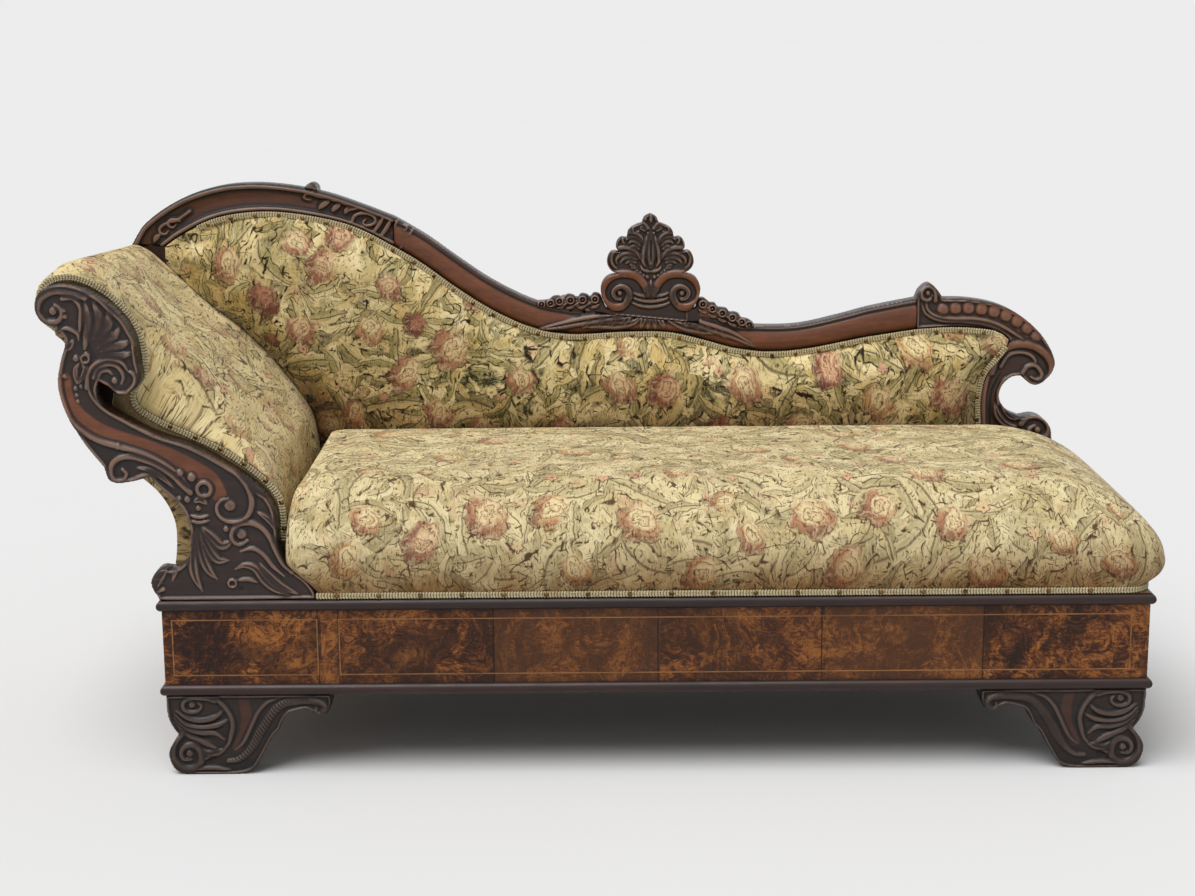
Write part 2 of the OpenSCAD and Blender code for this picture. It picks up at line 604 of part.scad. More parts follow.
// Hourglass springs on the webbing's crossings, one unbroken wire each
spring_z0 = batten_z1 + hessian_t + web_rise + wire_d / 2 + soft_gap;
spring_turns = 4;
spring_steps = 6;
spring_waist_share = 0.6;
wire_sides = 4;
function spring_point(s) =
    let (t = s / (spring_turns * spring_steps),
         flat_t = min(1, max(0, (t * spring_turns - 0.5) / (spring_turns - 1))),
         r = (spring_r - wire_d / 2) * (1 - (1 - spring_waist_share) * sin(180 * flat_t)),
         a = 360 * s / spring_steps)
    [r * cos(a), r * sin(a), flat_t * (spring_h - wire_d)];
function wire_ring(s) =
    let (a = 360 * s / spring_steps, p = spring_point(s), out = [cos(a), sin(a), 0])
    [for (k = [0 : wire_sides - 1])
        let (b = 360 * (k + 0.5) / wire_sides)
        p + wire_d / 2 * (out * cos(b) + [0, 0, 1] * sin(b))];
spring_gap = min([for (s = [0 : (spring_turns - 1) * spring_steps])
    norm(spring_point(s + spring_steps) - spring_point(s)) - wire_d]);
echo(least_gap_between_spring_turns = spring_gap);
module spring() {
    last = spring_turns * spring_steps;
    rings_solid(back_to_front([for (s = [0 : last]) wire_ring(s)]), spring_point(last), spring_point(0));
}
module seat_springs() {
    color("#7c7468") for (x = col_x, y = row_y) translate([x, y, spring_z0]) spring();
}

// Twine over the spring tops, tacked to the rails
twine_d = 3;
spring_z1 = spring_z0 + spring_h - wire_d / 2 + soft_gap;
tack_z = z_top - 3 * twine_d;
function twine_line(a, b, places) =
    [[a, tack_z], [places[0] - spring_r, spring_z1],
     [places[len(places) - 1] + spring_r, spring_z1], [b, tack_z]];
module spring_twine() {
    color("#cbb98f") {
        for (y = row_y)
            plate(thick_line(twine_line(well_x0 + fit, well_x1 - fit, col_x), twine_d),
                  y - twine_d / 2, y + twine_d / 2);
        for (x = col_x) translate([x - twine_d / 2, 0, 0]) rotate([90, 0, 90]) linear_extrude(twine_d)
            polygon(thick_line(twine_line(rail_y1 + fit, seat_rear_y0 - fit, row_y), twine_d));
    }
}

// The seat: a ring at each height, drawn in at its foot, swelling at the
// front and the foot end, and rounding over to its crown
seat_corner_r = 46;
seat_wall_shares = [0, 0.07, 0.14, 0.24, 0.34];
seat_left_shares = [1.004, 1.001, 0.985, 0.945, 0.907];
seat_front_shares = [0.1, 0.3, 0.7, 0.95, 1];
seat_end_shares = [0.1, 0.3, 0.8, 1, 0.9];
seat_dome_angles = [18, 36, 54, 70, 84];
front_round = 130;
end_round = 205;
end_round_power = 0.75;
rear_round = 36;
left_round = 56;
seat_sides = 8;
function ring(x0, x1, y0, y1, r, z) =
    let (c = [[x1 - r, y1 - r, 0], [x0 + r, y1 - r, 90], [x0 + r, y0 + r, 180], [x1 - r, y0 + r, 270]])
    [for (q = c, k = [0 : seat_sides])
        let (a = q.z + 90 * k / seat_sides) [q.x + r * cos(a), q.y + r * sin(a), z]];
function seat_wall_ring(i, inner) =
    ring(facing_x + seat_left_shares[i] * facing_w + soft_gap + inner,
         xr + seat_end_shares[i] * seat_over - (1 - seat_end_shares[i]) * bead_proud - inner,
         veneer_t - seat_front_shares[i] * (seat_proud + veneer_t) + inner,
         seat_y1 - inner, seat_corner_r - inner, z_top + soft_gap + seat_wall_shares[i] * seat_h);
function seat_dome_ring(a, inner) =
    let (w = len(seat_wall_shares) - 1, f = 1 - cos(a), z0 = z_top + seat_wall_shares[w] * seat_h,
         rise = z_top + seat_h - inner - z0)
    ring(facing_x + seat_left_shares[w] * facing_w + soft_gap + inner + left_round * f,
         xr + seat_end_shares[w] * seat_over - inner - end_round * pow(f, end_round_power),
         veneer_t - seat_front_shares[w] * (seat_proud + veneer_t) + inner + front_round * f,
         seat_y1 - inner - rear_round * f, seat_corner_r - inner + left_round * f, z0 + rise * sin(a));
function seat_rings(inner) = concat(
    [for (i = [0 : len(seat_wall_shares) - 1]) seat_wall_ring(i, inner)],
    [for (a = seat_dome_angles) seat_dome_ring(a, inner)]);
function seat_crown(inner) = [(toe_x + xr) / 2, seat_y1 / 2, z_top + seat_h - inner];
// The hessian tray over the springs
tray_rim = 6;
tray_slope = 40;
tray_z = spring_z1 + 2 * twine_d + soft_gap;
function tray_ring(inset, z) =
    ring(well_x0 - tray_rim + inset, well_x1 + tray_rim - inset, rail_y1 - tray_rim + inset,
         seat_rear_y0 + tray_rim - inset, seat_corner_r - inset, z);
function tray_rings(grow) = [
    tray_ring(-grow, z_top + soft_gap),
    tray_ring(tray_rim - grow, z_top + soft_gap + hessian_t + grow),
    tray_ring(tray_slope - grow, tray_z + hessian_t + grow)];
function tray_middle(grow) = [(well_x0 + well_x1) / 2, seat_y1 / 2, tray_z + hessian_t + grow];
function tray_under() = [
    tray_ring(hessian_t, z_top + soft_gap),
    tray_ring(tray_rim + hessian_t, z_top + soft_gap + fit),
    tray_ring(tray_slope + hessian_t, tray_z)];
function shell_rings(outer, inner) = concat(back_to_front(inner), outer);
module seat_hessian() {
    color("#a68f63") rings_solid(shell_rings(tray_rings(0), tray_under()),
        [tray_middle(0).x, tray_middle(0).y, tray_z], tray_middle(0));
}
module seat_stuffing() {
    color("#8c7651") rings_solid(shell_rings(seat_rings(cover_t + fit), tray_rings(fit)),
        tray_middle(fit), seat_crown(cover_t + fit));
}
module seat_cover() {
    color("#c9b783") rings_solid(shell_rings(seat_rings(0), seat_rings(cover_t)),
        seat_crown(cover_t), seat_crown(0));
}

// Braid and nails round the seat's foot
gimp_z = z_top + soft_gap + gimp_w / 2;
function seat_edge(out) =
    let (r = seat_corner_r + out,
         x1 = xr + seat_end_shares[1] * seat_over - (1 - seat_end_shares[1]) * bead_proud + fit + out,
         y0 = veneer_t - seat_front_shares[1] * (seat_proud + veneer_t) - fit - out)
    concat([[toe_x + fit, y0]],
           [for (k = [0 : seat_sides])
               let (a = -90 + 90 * k / seat_sides) [x1 - r + r * cos(a), y0 + r + r * sin(a)]],
           [[x1, seat_y1]]);
module seat_gimp() {
    color("#b5ab8c") translate([0, 0, z_top + soft_gap]) linear_extrude(gimp_w)
        polygon(concat(seat_edge(gimp_t), back_to_front(seat_edge(0))));
}
seat_nail_x = [for (x = [toe_x + seat_nail_pitch / 2 : seat_nail_pitch : xr - 2 * seat_corner_r]) x];
module seat_nails() {
    last = seat_edge(gimp_t)[len(seat_edge(gimp_t)) - 1];
    color("#a8823c") {
        for (x = seat_nail_x) translate([x, seat_edge(gimp_t)[0].y, gimp_z]) nail();
        for (y = [2 * seat_corner_r : seat_nail_pitch : seat_y1 - seat_corner_r])
            translate([last.x, y, gimp_z]) rotate([0, 0, 90]) nail();
    }
}

// The back frame, with the bud on the hump and the curls beside the ornament
bud_r = 13;
bud_place_share = 0.69;
curl_r = 11;
curl_t = 24;
curl_shares = [[-1.66, 0.12], [-1.41, 0.13], [-1.15, 0.15], [1.04, 0.32], [1.24, 0.22], [1.44, 0.16],
    [1.65, 0.11]];
function height_at(P, x) =
    let (i = max([for (k = [0 : len(P) - 2]) if (P[k].x <= x) k]))
    mix(P[i].y, P[i + 1].y, (x - P[i].x) / (P[i + 1].x - P[i].x));
module knob(P, x, r, rise) {
    z = height_at(P, x);
    translate([x, back_y0, z + rise]) rotate([-90, 0, 0]) cylinder(h = curl_t, r = r);
    box(x - r, x + r, back_y0, back_y0 + curl_t, z - r, z + rise);
}
module crest_left() {
    color("#5a2f1e") difference() {
        union() {
            plate(concat(hump_top, back_to_front(hump_under)), back_y0, base_d);
            knob(hump_top, hump_x + bud_place_share * hump_l, bud_r, 0);
        }
        crest_pegs(fit / 4);
    }
}
module crest_middle() {
    color("#5a2f1e") difference() {
        union() {
            translate([fit, 0, 0]) plate(concat(rail_top, back_to_front(rail_under)), back_y0, base_d);
            for (c = curl_shares)
                knob(rail_top, palmette_x + c.x * palmette_r, curl_r, c.y * palmette_r);
        }
        crest_pegs(fit / 4);
        palmette_tenon(fit);
    }
}
module scroll_upright() {
    color("#4a2719") {
        difference() {
            translate([2 * fit, 0, 0]) plate(scroll_outline, back_y0, base_d);
            crest_pegs(fit / 4);
            mortise(rail_right - tenon_l, back_mid, bottom_rail_z + tenon_t / 2,
                    bottom_rail_z + bottom_rail_h - tenon_t / 2, 2 * tenon_l, tenon_t / 2 + fit);
        }
        post_tenon_at(post_x[1]);
    }
}
module post_tenon_at(x) {
    box(x - post_tenon, x + post_tenon, rear_peg_y - tenon_t / 2, rear_peg_y + tenon_t / 2,
        z_top - tenon_l, z_top);
}
// Dowels across the two joints of the crest, and down into the post
across_peg_shares = [[0, 0.838], [0, 0.868], [1, 0.575], [1, 0.62]];
down_peg_shares = [0.04, 0.09];
joint_pegs = concat(
    [for (p = across_peg_shares) [mix(hump_end, scroll_x, p.x), z_top + p.y * back_h, 90]],
    [for (s = down_peg_shares) [hump_x + s * hump_l, post_top_z, 0]]);
crest_peg_r = 4;
crest_peg_l = 30;
module crest_pegs(grow) {
    for (p = joint_pegs) translate([p.x, back_mid, p.y]) rotate([0, p.z, 0])
        translate([0, 0, -crest_peg_l / 2 - grow])
            cylinder(h = crest_peg_l + 2 * grow, r = crest_peg_r + grow);
}
module crest_dowels() { color("#c8a878") crest_pegs(0); }

// The ornament stands in a mortise in the crest
palmette_outline = let (half = curve(palmette_shares, fine))
    [for (p = concat(half, back_to_front([for (q = half) [-q.x, q.y]])))
        [palmette_x + p.x * palmette_r, crest_at_palmette + p.y * palmette_h]];
palmette_tenon_shares = [0.07, 0.3];
module palmette_tenon(grow) {
    r = palmette_r / 2;
    y = back_y0 - palmette_step + palmette_t / 2;
    box(palmette_x - r - grow, palmette_x + r + grow, y - tenon_t / 2 - grow, y + tenon_t / 2 + grow,
        crest_at_palmette + palmette_h * palmette_tenon_shares[0] - grow,
        crest_at_palmette + palmette_h * palmette_tenon_shares[1]);
}
module palmette() {
    color("#33201a") {
        difference() {
            plate(palmette_outline, back_y0 - palmette_step, back_y0 - palmette_step + palmette_t);
            translate([0, -palmette_step - over, fit])
                plate(concat([[hump_end, z_top]], rail_top, [[scroll_x, z_top]]), back_y0, base_d);
        }
        palmette_tenon(0);
    }
}

// The post behind the head end: one edge is the roll's seat side, the other
// its outside
roll_top_step = 10 * coarse;
roll_in = [for (i = [0 : roll_top_step]) pad_mid[i]];
roll_out = [for (i = [pad_turn * coarse : len(pad_mid) - 1]) pad_mid[i]];
post_outline = concat(
    [[hump_x, post_top_z]], [for (p = roll_out) [max(p.x, hump_x), p.y]],
    [[facing_x + roll_foot_share * facing_w, z_top], [rail_left, z_top]],
    [for (p = roll_in) if (p.y < post_top_z) [min(p.x, rail_left), p.y]],
    [[hump_x + hump_under_shares[0].x * hump_l, post_top_z]]);
bottom_rail_rise = 58;
bottom_rail_z = z_top + bottom_rail_rise;
bottom_rail_h = 60;
module bottom_rail_tenons(grow) {
    box(rail_left - tenon_l - grow, rail_right + tenon_l + grow, back_mid - tenon_t / 2 - grow,
        back_mid + tenon_t / 2 + grow, bottom_rail_z + tenon_t / 2 - grow,
        bottom_rail_z + bottom_rail_h - tenon_t / 2 + grow);
}
module back_post_left() {
    color("#5a2f1e") {
        difference() {
            plate(post_outline, back_y0, base_d);
            crest_pegs(fit / 4);
            bottom_rail_tenons(fit);
        }
        post_tenon_at(post_x[0]);
    }
}
module back_bottom_rail() {
    color("#8a6a45") {
        box(rail_left + fit, rail_right - fit, back_mid - rail_t / 2, back_mid + rail_t / 2,
            bottom_rail_z, bottom_rail_z + bottom_rail_h);
        bottom_rail_tenons(0);
    }
}

// The back's padding fills the frame. Its edges are the roll, the crest, the
// upright and the bottom rail.
back_cols = 34;
back_rows = 8;
back_foot_z = bottom_rail_z + bottom_rail_h + soft_gap;
flange_share = 1.3;
flange = flange_share * gimp_w + 2 * soft_gap;
soft_side = 60;
soft_foot = 30;
scroll_under = curve(placed(scroll_under_shares, scroll_x, z_top, scroll_w, back_h), fine);
scroll_inner = curve(placed(scroll_inner_shares, scroll_x, z_top, scroll_w, back_h), fine);
function without_first(P) = [for (i = [1 : len(P) - 1]) P[i]];
crest_line = aside(concat(hump_under, without_first(rail_under), without_first(scroll_under)), -soft_gap);
crest_corner = crest_line[len(crest_line) - 1];
left_line = concat(
    [[rail_left, back_foot_z]],
    aside([for (p = roll_in) if (p.y > back_foot_z + cover_t && p.y < post_top_z - cover_t) p], -soft_gap),
    [crest_line[0]]);
upright_line = concat(
    [[rail_right - soft_gap, back_foot_z]],
    aside([for (p = scroll_inner) if (p.y > back_foot_z + cover_t && p.y < crest_corner.y - cover_t) p],
          soft_gap),
    [crest_corner]);
function at_share(P, L, t) =
    let (s = t * L[len(L) - 1], i = max([for (k = [0 : len(L) - 2]) if (L[k] <= s) k]))
    mix(P[i], P[i + 1], min(1, (s - L[i]) / (L[i + 1] - L[i])));
crest_arc = arc_length(crest_line);
left_arc = arc_length(left_line);
upright_arc = arc_length(upright_line);
function edge_step(k, n, first) = k == 0 ? 0 : k == n ? 1 : first + (k - 1) / (n - 2) * (1 - 2 * first);
function foot_at(u) = mix(left_line[0], upright_line[0], u);
function top_at(u) = at_share(crest_line, crest_arc, u);
function left_at(v) = at_share(left_line, left_arc, v);
function right_at(v) = at_share(upright_line, upright_arc, v);
function back_point(u, v) =
    mix(foot_at(u), top_at(u), v) + mix(left_at(v), right_at(v), u)
    - mix(foot_at(u), mix(crest_line[0], crest_corner, u), v);
// How squarely a column of the grid meets the crest: 1 where it is at right angles
reach_step = 0.02;
least_square = 0.4;
function upright_share(u) =
    let (run = aim(foot_at(u), top_at(u)),
         way = aim(top_at(max(0, u - reach_step)), top_at(min(1, u + reach_step))))
    max(least_square, abs(run.x * way.y - run.y * way.x));
function back_grid(push, is_flat, flat_y) =
    [for (i = [0 : back_rows])
        let (w = norm(right_at(i / back_rows) - left_at(i / back_rows)))
        [for (j = [0 : back_cols])
            let (h = norm(top_at(j / back_cols) - foot_at(j / back_cols)) * upright_share(j / back_cols),
                 u = edge_step(j, back_cols, flange / w), v = edge_step(i, back_rows, flange / h),
                 p = back_point(u, v),
                 swell = soft_rise(u * w - flange, soft_side) * soft_rise((1 - u) * w - flange, soft_side)
                       * soft_rise((1 - v) * h - flange, soft_side) * soft_rise(v * h, soft_foot))
            [p.x, is_flat ? flat_y : back_y0 + push - back_bulge * swell, p.y]]];
function soft_rise(d, width) = sin(90 * min(1, max(0, d / width)));
lining_set = 16;
back_lining_y = back_y0 + lining_set;
back_opening = concat(crest_line, back_to_front(upright_line), left_line);
module back_cover() {
    color("#c9b783") slab(back_grid(0, false, 0), back_grid(cover_t, false, 0));
}
module back_stuffing() {
    color("#8c7651") slab(back_grid(cover_t + fit, false, 0), back_grid(0, true, back_lining_y - fit));
}
module back_hessian() {
    color("#a68f63") plate(back_opening, back_lining_y, back_lining_y + hessian_t);
}
back_strap_count = 9;
back_strap_z = [back_foot_z + web_w, back_foot_z + 3 * web_w];
module back_webbing() {
    y = back_lining_y + hessian_t + fit;
    step = (rail_right - rail_left) / back_strap_count;
    color("#b7a27a") {
        intersection() {
            plate(back_opening, y, y + hessian_t);
            for (i = [0 : back_strap_count - 1]) let (x = rail_left + (i + 0.5) * step)
                box(x - web_w / 2, x + web_w / 2, y - over, y + 2 * hessian_t, z_top, z_top + back_h);
        }
        intersection() {
            plate(back_opening, y + hessian_t + fit, y + 2 * hessian_t + fit);
            for (z = back_strap_z) box(xl, xr, y, y + 3 * hessian_t, z, z + web_w);
        }
    }
}
// Plain cloth over the whole of the back, tacked near the frame's edges
cloth_lap = 20;
module outside_back_cover() {
    top = back_to_front(aside(crest_line, cloth_lap));
    side = [for (p = upright_line) [p.x + cloth_lap, p.y]];
    outer = [for (p = roll_out) [max(p.x, hump_x) + cloth_lap, p.y]];
    color("#8f8468") plate(concat(
        [for (p = top) if (p.x > outer[0].x) p], outer,
        [[facing_x + roll_foot_share * facing_w + cloth_lap, z_top + bead_h / 2],
         [side[0].x, z_top + bead_h / 2]],
        [for (i = [0 : len(side) - 2]) side[i]]), base_d, base_d + hessian_t);
}
back_gimp_y = back_y0 - fit;
gimp_start_share = 0.25;
crest_gimp = [for (p = crest_line)
    if (p.x > hump_x + gimp_start_share * hump_l && p.x < crest_corner.x - 2 * gimp_w) p];
upright_gimp = [for (p = back_to_front(upright_line))
    if (p.y > back_foot_z && p.y < crest_corner.y - gimp_w) p];
module back_gimp() {
    color("#b5ab8c") for (P = [crest_gimp, upright_gimp])
        plate(band(P, -soft_gap, -gimp_w), back_gimp_y - gimp_t, back_gimp_y);
}
module nail_row(P, y) {
    L = arc_length(P);
    count = floor(L[len(L) - 1] / back_nail_pitch);
    for (i = [0 : count - 1]) let (p = at_share(P, L, (i + 0.5) / count)) translate([p.x, y, p.y]) nail();
}
module back_nails() {
    color("#a8823c") for (P = [crest_gimp, upright_gimp])
        nail_row(aside(P, -gimp_w / 2), back_gimp_y - gimp_t);
}

// The head end: carved facing, scroll boards and rails, webbing and hessian,
// stuffing, the inside cover over the roll and the outside cover below it
module arm_facing() {
    color("#3b2218") difference() {
        plate(facing_outline, facing_y0, facing_y1);
        for (x = facing_peg_x) peg_hole(x, front_peg_y, z_top);
    }
}
module facing_dowels() { color("#c8a878") for (x = facing_peg_x) peg(x, front_peg_y, z_top); }
function stretched(S, n) =
    concat([for (i = [0 : len(S) - 2], k = [0 : n - 1]) mix(S[i], S[i + 1], k / n)], [S[len(S) - 1]]);
pad_thick = [for (s = stretched(pad_thick_shares, coarse)) cover_t + 2 * fit + s * arm_pad_t];
arm_core = aside(pad_front, pad_thick);
arm_ease = 130;
arm_sink = 26;
ease_shares = [0, 0.05, 0.14, 0.3, 0.55, 1];
depth_shares = [0.3, 0.65, 1];
arm_front_y = [for (s = ease_shares) pad_y0 + s * arm_ease];
arm_rear_y = [for (s = depth_shares) mix(pad_y0 + arm_ease, pad_y1, s)];
arm_last = pad_turn * coarse;
arm_rows = concat(arm_front_y, arm_rear_y);
function arm_ring(y, inner) =
    let (m = mix_line(pad_front, pad_mid, quarter(y - pad_y0, arm_ease)), n = len(m),
         r = max(0, y - pad_y0 - arm_ease) / (pad_y1 - pad_y0 - arm_ease))
    aside(m, [for (i = [0 : n - 1])
        let (t = max(0, (i / arm_last - sink_from_share) / (1 - sink_from_share)))
        inner + r * arm_sink * sin(180 * t)]);
function arm_grid(inner, first, last) =
    [for (y = arm_rows) let (r = arm_ring(y, inner)) [for (i = [first : last]) [r[i].x, y, r[i].y]]];
function core_grid(first, last) =
    let (c = aside(arm_core, -2 * hessian_t - fit))
    [for (y = arm_rows) [for (i = [first : last]) [c[i].x, y, c[i].y]]];
arm_foot_z = z_top + pad_mid_shares[0].y * facing_h;
module arm_cover() { color("#c9b783") slab(arm_grid(cover_t, 0, arm_last), arm_grid(0, 0, arm_last)); }
module arm_stuffing() {
    color("#8c7651") slab(core_grid(0, arm_last), arm_grid(cover_t + fit, 0, arm_last));
}
function band(P, near, far) = concat(aside(P, near), back_to_front(aside(P, far)));
function part_of(P, first, last) = [for (i = [first : last]) P[i]];
module arm_outside_cover() {
    line = concat(part_of(pad_mid, arm_last + 1, len(pad_mid) - 1),
                  [[facing_x + roll_foot_share * facing_w, z_top + 3 * soft_gap]]);
    color("#b9a877") plate(band(line, 0, cover_t), pad_y0, pad_y1);
}
module arm_hessian() {
    color("#a68f63")
        plate(band(part_of(arm_core, 0, arm_last), -2 * hessian_t, -hessian_t - fit / 2), pad_y0, pad_y1);
}
arm_straps = 4;
strap_turn = 13;
module arm_webbing() {
    step = (pad_y1 - pad_y0) / arm_straps;
    color("#b7a27a") for (i = [0 : arm_straps - 1]) let (y = pad_y0 + (i + 0.5) * step - web_w / 2)
        plate(band(part_of(arm_core, 0, strap_turn * coarse), -hessian_t, 0), y, y + web_w);
}
arm_foot_share = 0.95;
board_heel_share = 0.455;
arm_board_outline = concat(
    aside(arm_core, fit),
    [[facing_x + board_heel_share * facing_w, z_top], [facing_x + arm_foot_share * facing_w, z_top],
     [facing_x + arm_foot_share * facing_w, arm_foot_z - fit], [arm_core[0].x, arm_foot_z - fit]]);
module arm_board_front() { color("#8a6a45") plate(arm_board_outline, pad_y0, pad_y0 + arm_board_t); }
module arm_board_rear() { color("#8a6a45") plate(arm_board_outline, pad_y1 - arm_board_t, pad_y1); }
arm_rail_shares = [[0.155, 0.88], [0.2, 0.64], [0.42, 0.42], [0.66, 0.11]];
arm_rail_w = [26, 28, 34, 50];
module arm_rails() {
    color("#a98557") for (i = [0 : len(arm_rail_w) - 1])
        let (x = facing_x + arm_rail_shares[i].x * facing_w, z = z_top + arm_rail_shares[i].y * facing_h,
             h = arm_rail_w[i] / 2)
        box(x - h, x + h, pad_y0 + arm_board_t, pad_y1 - arm_board_t, z - h, z + h);
}
// Braid between the facing and the pad, and nails where the braid shows
arm_gimp_line = part_of(pad_front, 2, arm_last - 4);
arm_nail_line = part_of(pad_front, 2, 7 * coarse);
module arm_gimp() {
    color("#b5ab8c") plate(band(arm_gimp_line, 0, gimp_w), facing_y1 + fit, facing_y1 + fit + gimp_t);
}
module arm_nails() { color("#a8823c") nail_row(aside(arm_nail_line, nail_r + fit), facing_y1 + fit); }

translate(origin_shift) front_rail();
translate(origin_shift) rear_rail();
translate(origin_shift) end_rail_left();
translate(origin_shift) end_rail_right();
translate(origin_shift) cross_rail();
translate(origin_shift) seat_rear_rail();
translate(origin_shift) front_veneer();
translate(origin_shift) end_veneer_left();
translate(origin_shift) end_veneer_right();
translate(origin_shift) stringing();
translate(origin_shift) top_bead_front();
translate(origin_shift) top_bead_left();
translate(origin_shift) top_bead_right();
translate(origin_shift) bottom_bead_front();
translate(origin_shift) bottom_bead_left();
translate(origin_shift) bottom_bead_right();
translate(origin_shift) foot_front_left();
translate(origin_shift) foot_front_right();
translate(origin_shift) foot_rear_left();
translate(origin_shift) foot_rear_right();
translate(origin_shift) foot_dowels();
translate(origin_shift) corner_blocks();
translate(origin_shift) block_screws();
translate(origin_shift) webbing_battens();
translate(origin_shift) webbing_crosswise();
translate(origin_shift) webbing_lengthwise();
translate(origin_shift) dust_cover();
translate(origin_shift) seat_springs();
translate(origin_shift) spring_twine();
translate(origin_shift) seat_hessian();
translate(origin_shift) seat_stuffing();
translate(origin_shift) seat_cover();
translate(origin_shift) seat_gimp();
translate(origin_shift) seat_nails();
translate(origin_shift) crest_left();
translate(origin_shift) crest_middle();
translate(origin_shift) scroll_upright();
translate(origin_shift) palmette();
translate(origin_shift) back_post_left();
translate(origin_shift) back_bottom_rail();
translate(origin_shift) crest_dowels();
translate(origin_shift) back_webbing();
translate(origin_shift) back_hessian();
translate(origin_shift) back_stuffing();
translate(origin_shift) back_cover();
translate(origin_shift) back_gimp();
translate(origin_shift) back_nails();
translate(origin_shift) outside_back_cover();
translate(origin_shift) arm_facing();
translate(origin_shift) facing_dowels();
translate(origin_shift) arm_board_front();
translate(origin_shift) arm_board_rear();
translate(origin_shift) arm_rails();
translate(origin_shift) arm_webbing();
translate(origin_shift) arm_hessian();
translate(origin_shift) arm_stuffing();
translate(origin_shift) arm_cover();
translate(origin_shift) arm_outside_cover();
translate(origin_shift) arm_gimp();
translate(origin_shift) arm_nails();
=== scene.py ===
"""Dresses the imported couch: carved frame, burl apron, tapestry pads, gimp and nails, in metres."""
import logging
import math
from contextlib import contextmanager
from dataclasses import dataclass, field
from enum import Enum
from typing import Iterator

import bmesh
import bpy
import numpy as np
from mathutils import Matrix, Vector


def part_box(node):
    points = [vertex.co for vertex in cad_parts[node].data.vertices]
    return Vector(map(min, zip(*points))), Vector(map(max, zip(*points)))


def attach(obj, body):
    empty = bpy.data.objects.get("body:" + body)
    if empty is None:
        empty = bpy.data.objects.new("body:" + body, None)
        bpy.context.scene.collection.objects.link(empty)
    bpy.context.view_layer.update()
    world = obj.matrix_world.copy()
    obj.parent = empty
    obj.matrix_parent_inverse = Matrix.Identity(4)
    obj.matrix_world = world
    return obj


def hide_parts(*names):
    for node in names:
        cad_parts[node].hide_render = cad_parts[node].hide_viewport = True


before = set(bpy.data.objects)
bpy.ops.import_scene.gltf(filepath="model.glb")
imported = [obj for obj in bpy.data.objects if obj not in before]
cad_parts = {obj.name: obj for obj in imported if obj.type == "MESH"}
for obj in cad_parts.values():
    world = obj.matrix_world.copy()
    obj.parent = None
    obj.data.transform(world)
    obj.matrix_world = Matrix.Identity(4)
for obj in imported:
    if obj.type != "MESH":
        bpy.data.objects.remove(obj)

LOG = logging.getLogger("couch")
MM = 0.001
BODY = "root"
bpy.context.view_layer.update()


def couch_origin() -> np.ndarray:
    """Find the middle of the apron's foot, from which every size of the couch is told.

    Returns:
        The point in the model's frame.
    """
    low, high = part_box("front_veneer")
    return np.array([(low[0] + high[0]) / 2, low[1], 0.0])


ORIGIN = couch_origin()


def srgb(code: str) -> tuple[float, float, float, float]:
    """Turn a written colour into Blender's linear one.

    Args:
        code: The colour as six hexadecimal digits.

    Returns:
        Red, green, blue and alpha.
    """
    parts = [int(code[i : i + 2], 16) / 255 for i in (0, 2, 4)]
    linear = [c / 12.92 if c <= 0.04045 else ((c + 0.055) / 1.055) ** 2.4 for c in parts]
    return (*linear, 1.0)


# Sizes of the couch, as the model has them


@dataclass(frozen=True)
class Sizes:
    """The couch's own sizes in metres, told from the middle of the apron's foot."""

    base_l: float = 1.68
    foot_h: float = 0.142
    top: float = 0.312
    facing_x: float = -1.023
    facing_w: float = 0.446
    facing_h: float = 0.539028
    facing_front: float = -0.004
    facing_back: float = 0.038
    pad_front: float = 0.0406
    back_y: float = 0.610
    pad_rear: float = 0.6097
    seat_rear: float = 0.5574
    back_h: float = 0.651
    hump_x: float = -0.994
    hump_l: float = 0.507
    scroll_x: float = 0.524
    scroll_w: float = 0.272
    seat_h: float = 0.188
    seat_over: float = 0.028
    seat_proud: float = 0.010
    back_bulge: float = 0.052
    bead_proud: float = 0.008
    gap: float = 0.0003
    cover_t: float = 0.0024
    gimp_w: float = 0.012
    gimp_t: float = 0.002
    rail_foot: float = 0.118
    rail_left: float = -0.6439

    @property
    def hump_end(self) -> float:
        """Where the hump meets the long rail."""
        return self.hump_x + self.hump_l

    @property
    def toe_x(self) -> float:
        """The facing's inner toe."""
        return self.facing_x + self.facing_w


SIZE = Sizes()
Point = tuple[float, ...]


def heading(points: list[Point], i: int, closed: bool) -> np.ndarray:
    """Give the direction in which a line runs at one of its points.

    Args:
        points: The line.
        i: The point's number.
        closed: Whether the line's ends meet.

    Returns:
        A unit vector.
    """
    n = len(points)
    before = (i - 1) % n if closed else max(i - 1, 0)
    after = (i + 1) % n if closed else min(i + 1, n - 1)
    way = np.array(points[after][:2]) - np.array(points[before][:2])
    return way / max(np.linalg.norm(way), 1e-9)


def curve(points: list[Point], steps: int, closed: bool = False) -> np.ndarray:
    """Draw a smooth line through points; a third entry marks a corner.

    Args:
        points: The points.
        steps: Steps between two of them.
        closed: Whether the line's ends meet.

    Returns:
        The finer line.
    """
    n = len(points)
    line = []
    for i in range(n if closed else n - 1):
        p, q = points[i], points[(i + 1) % n]
        a, b = np.array(p[:2]), np.array(q[:2])
        d = np.linalg.norm(b - a)
        aim = (b - a) / max(d, 1e-9)
        ta = aim if len(p) > 2 else heading(points, i, closed)
        tb = aim if len(q) > 2 else heading(points, (i + 1) % n, closed)
        for k in range(steps):
            t = k / steps
            line.append(
                a * (2 * t**3 - 3 * t**2 + 1) + b * (3 * t**2 - 2 * t**3)
                + d * ta * (t**3 - 2 * t**2 + t) + d * tb * (t**3 - t**2)
            )
    if not closed:
        line.append(np.array(points[-1][:2]))
    return np.array(line)


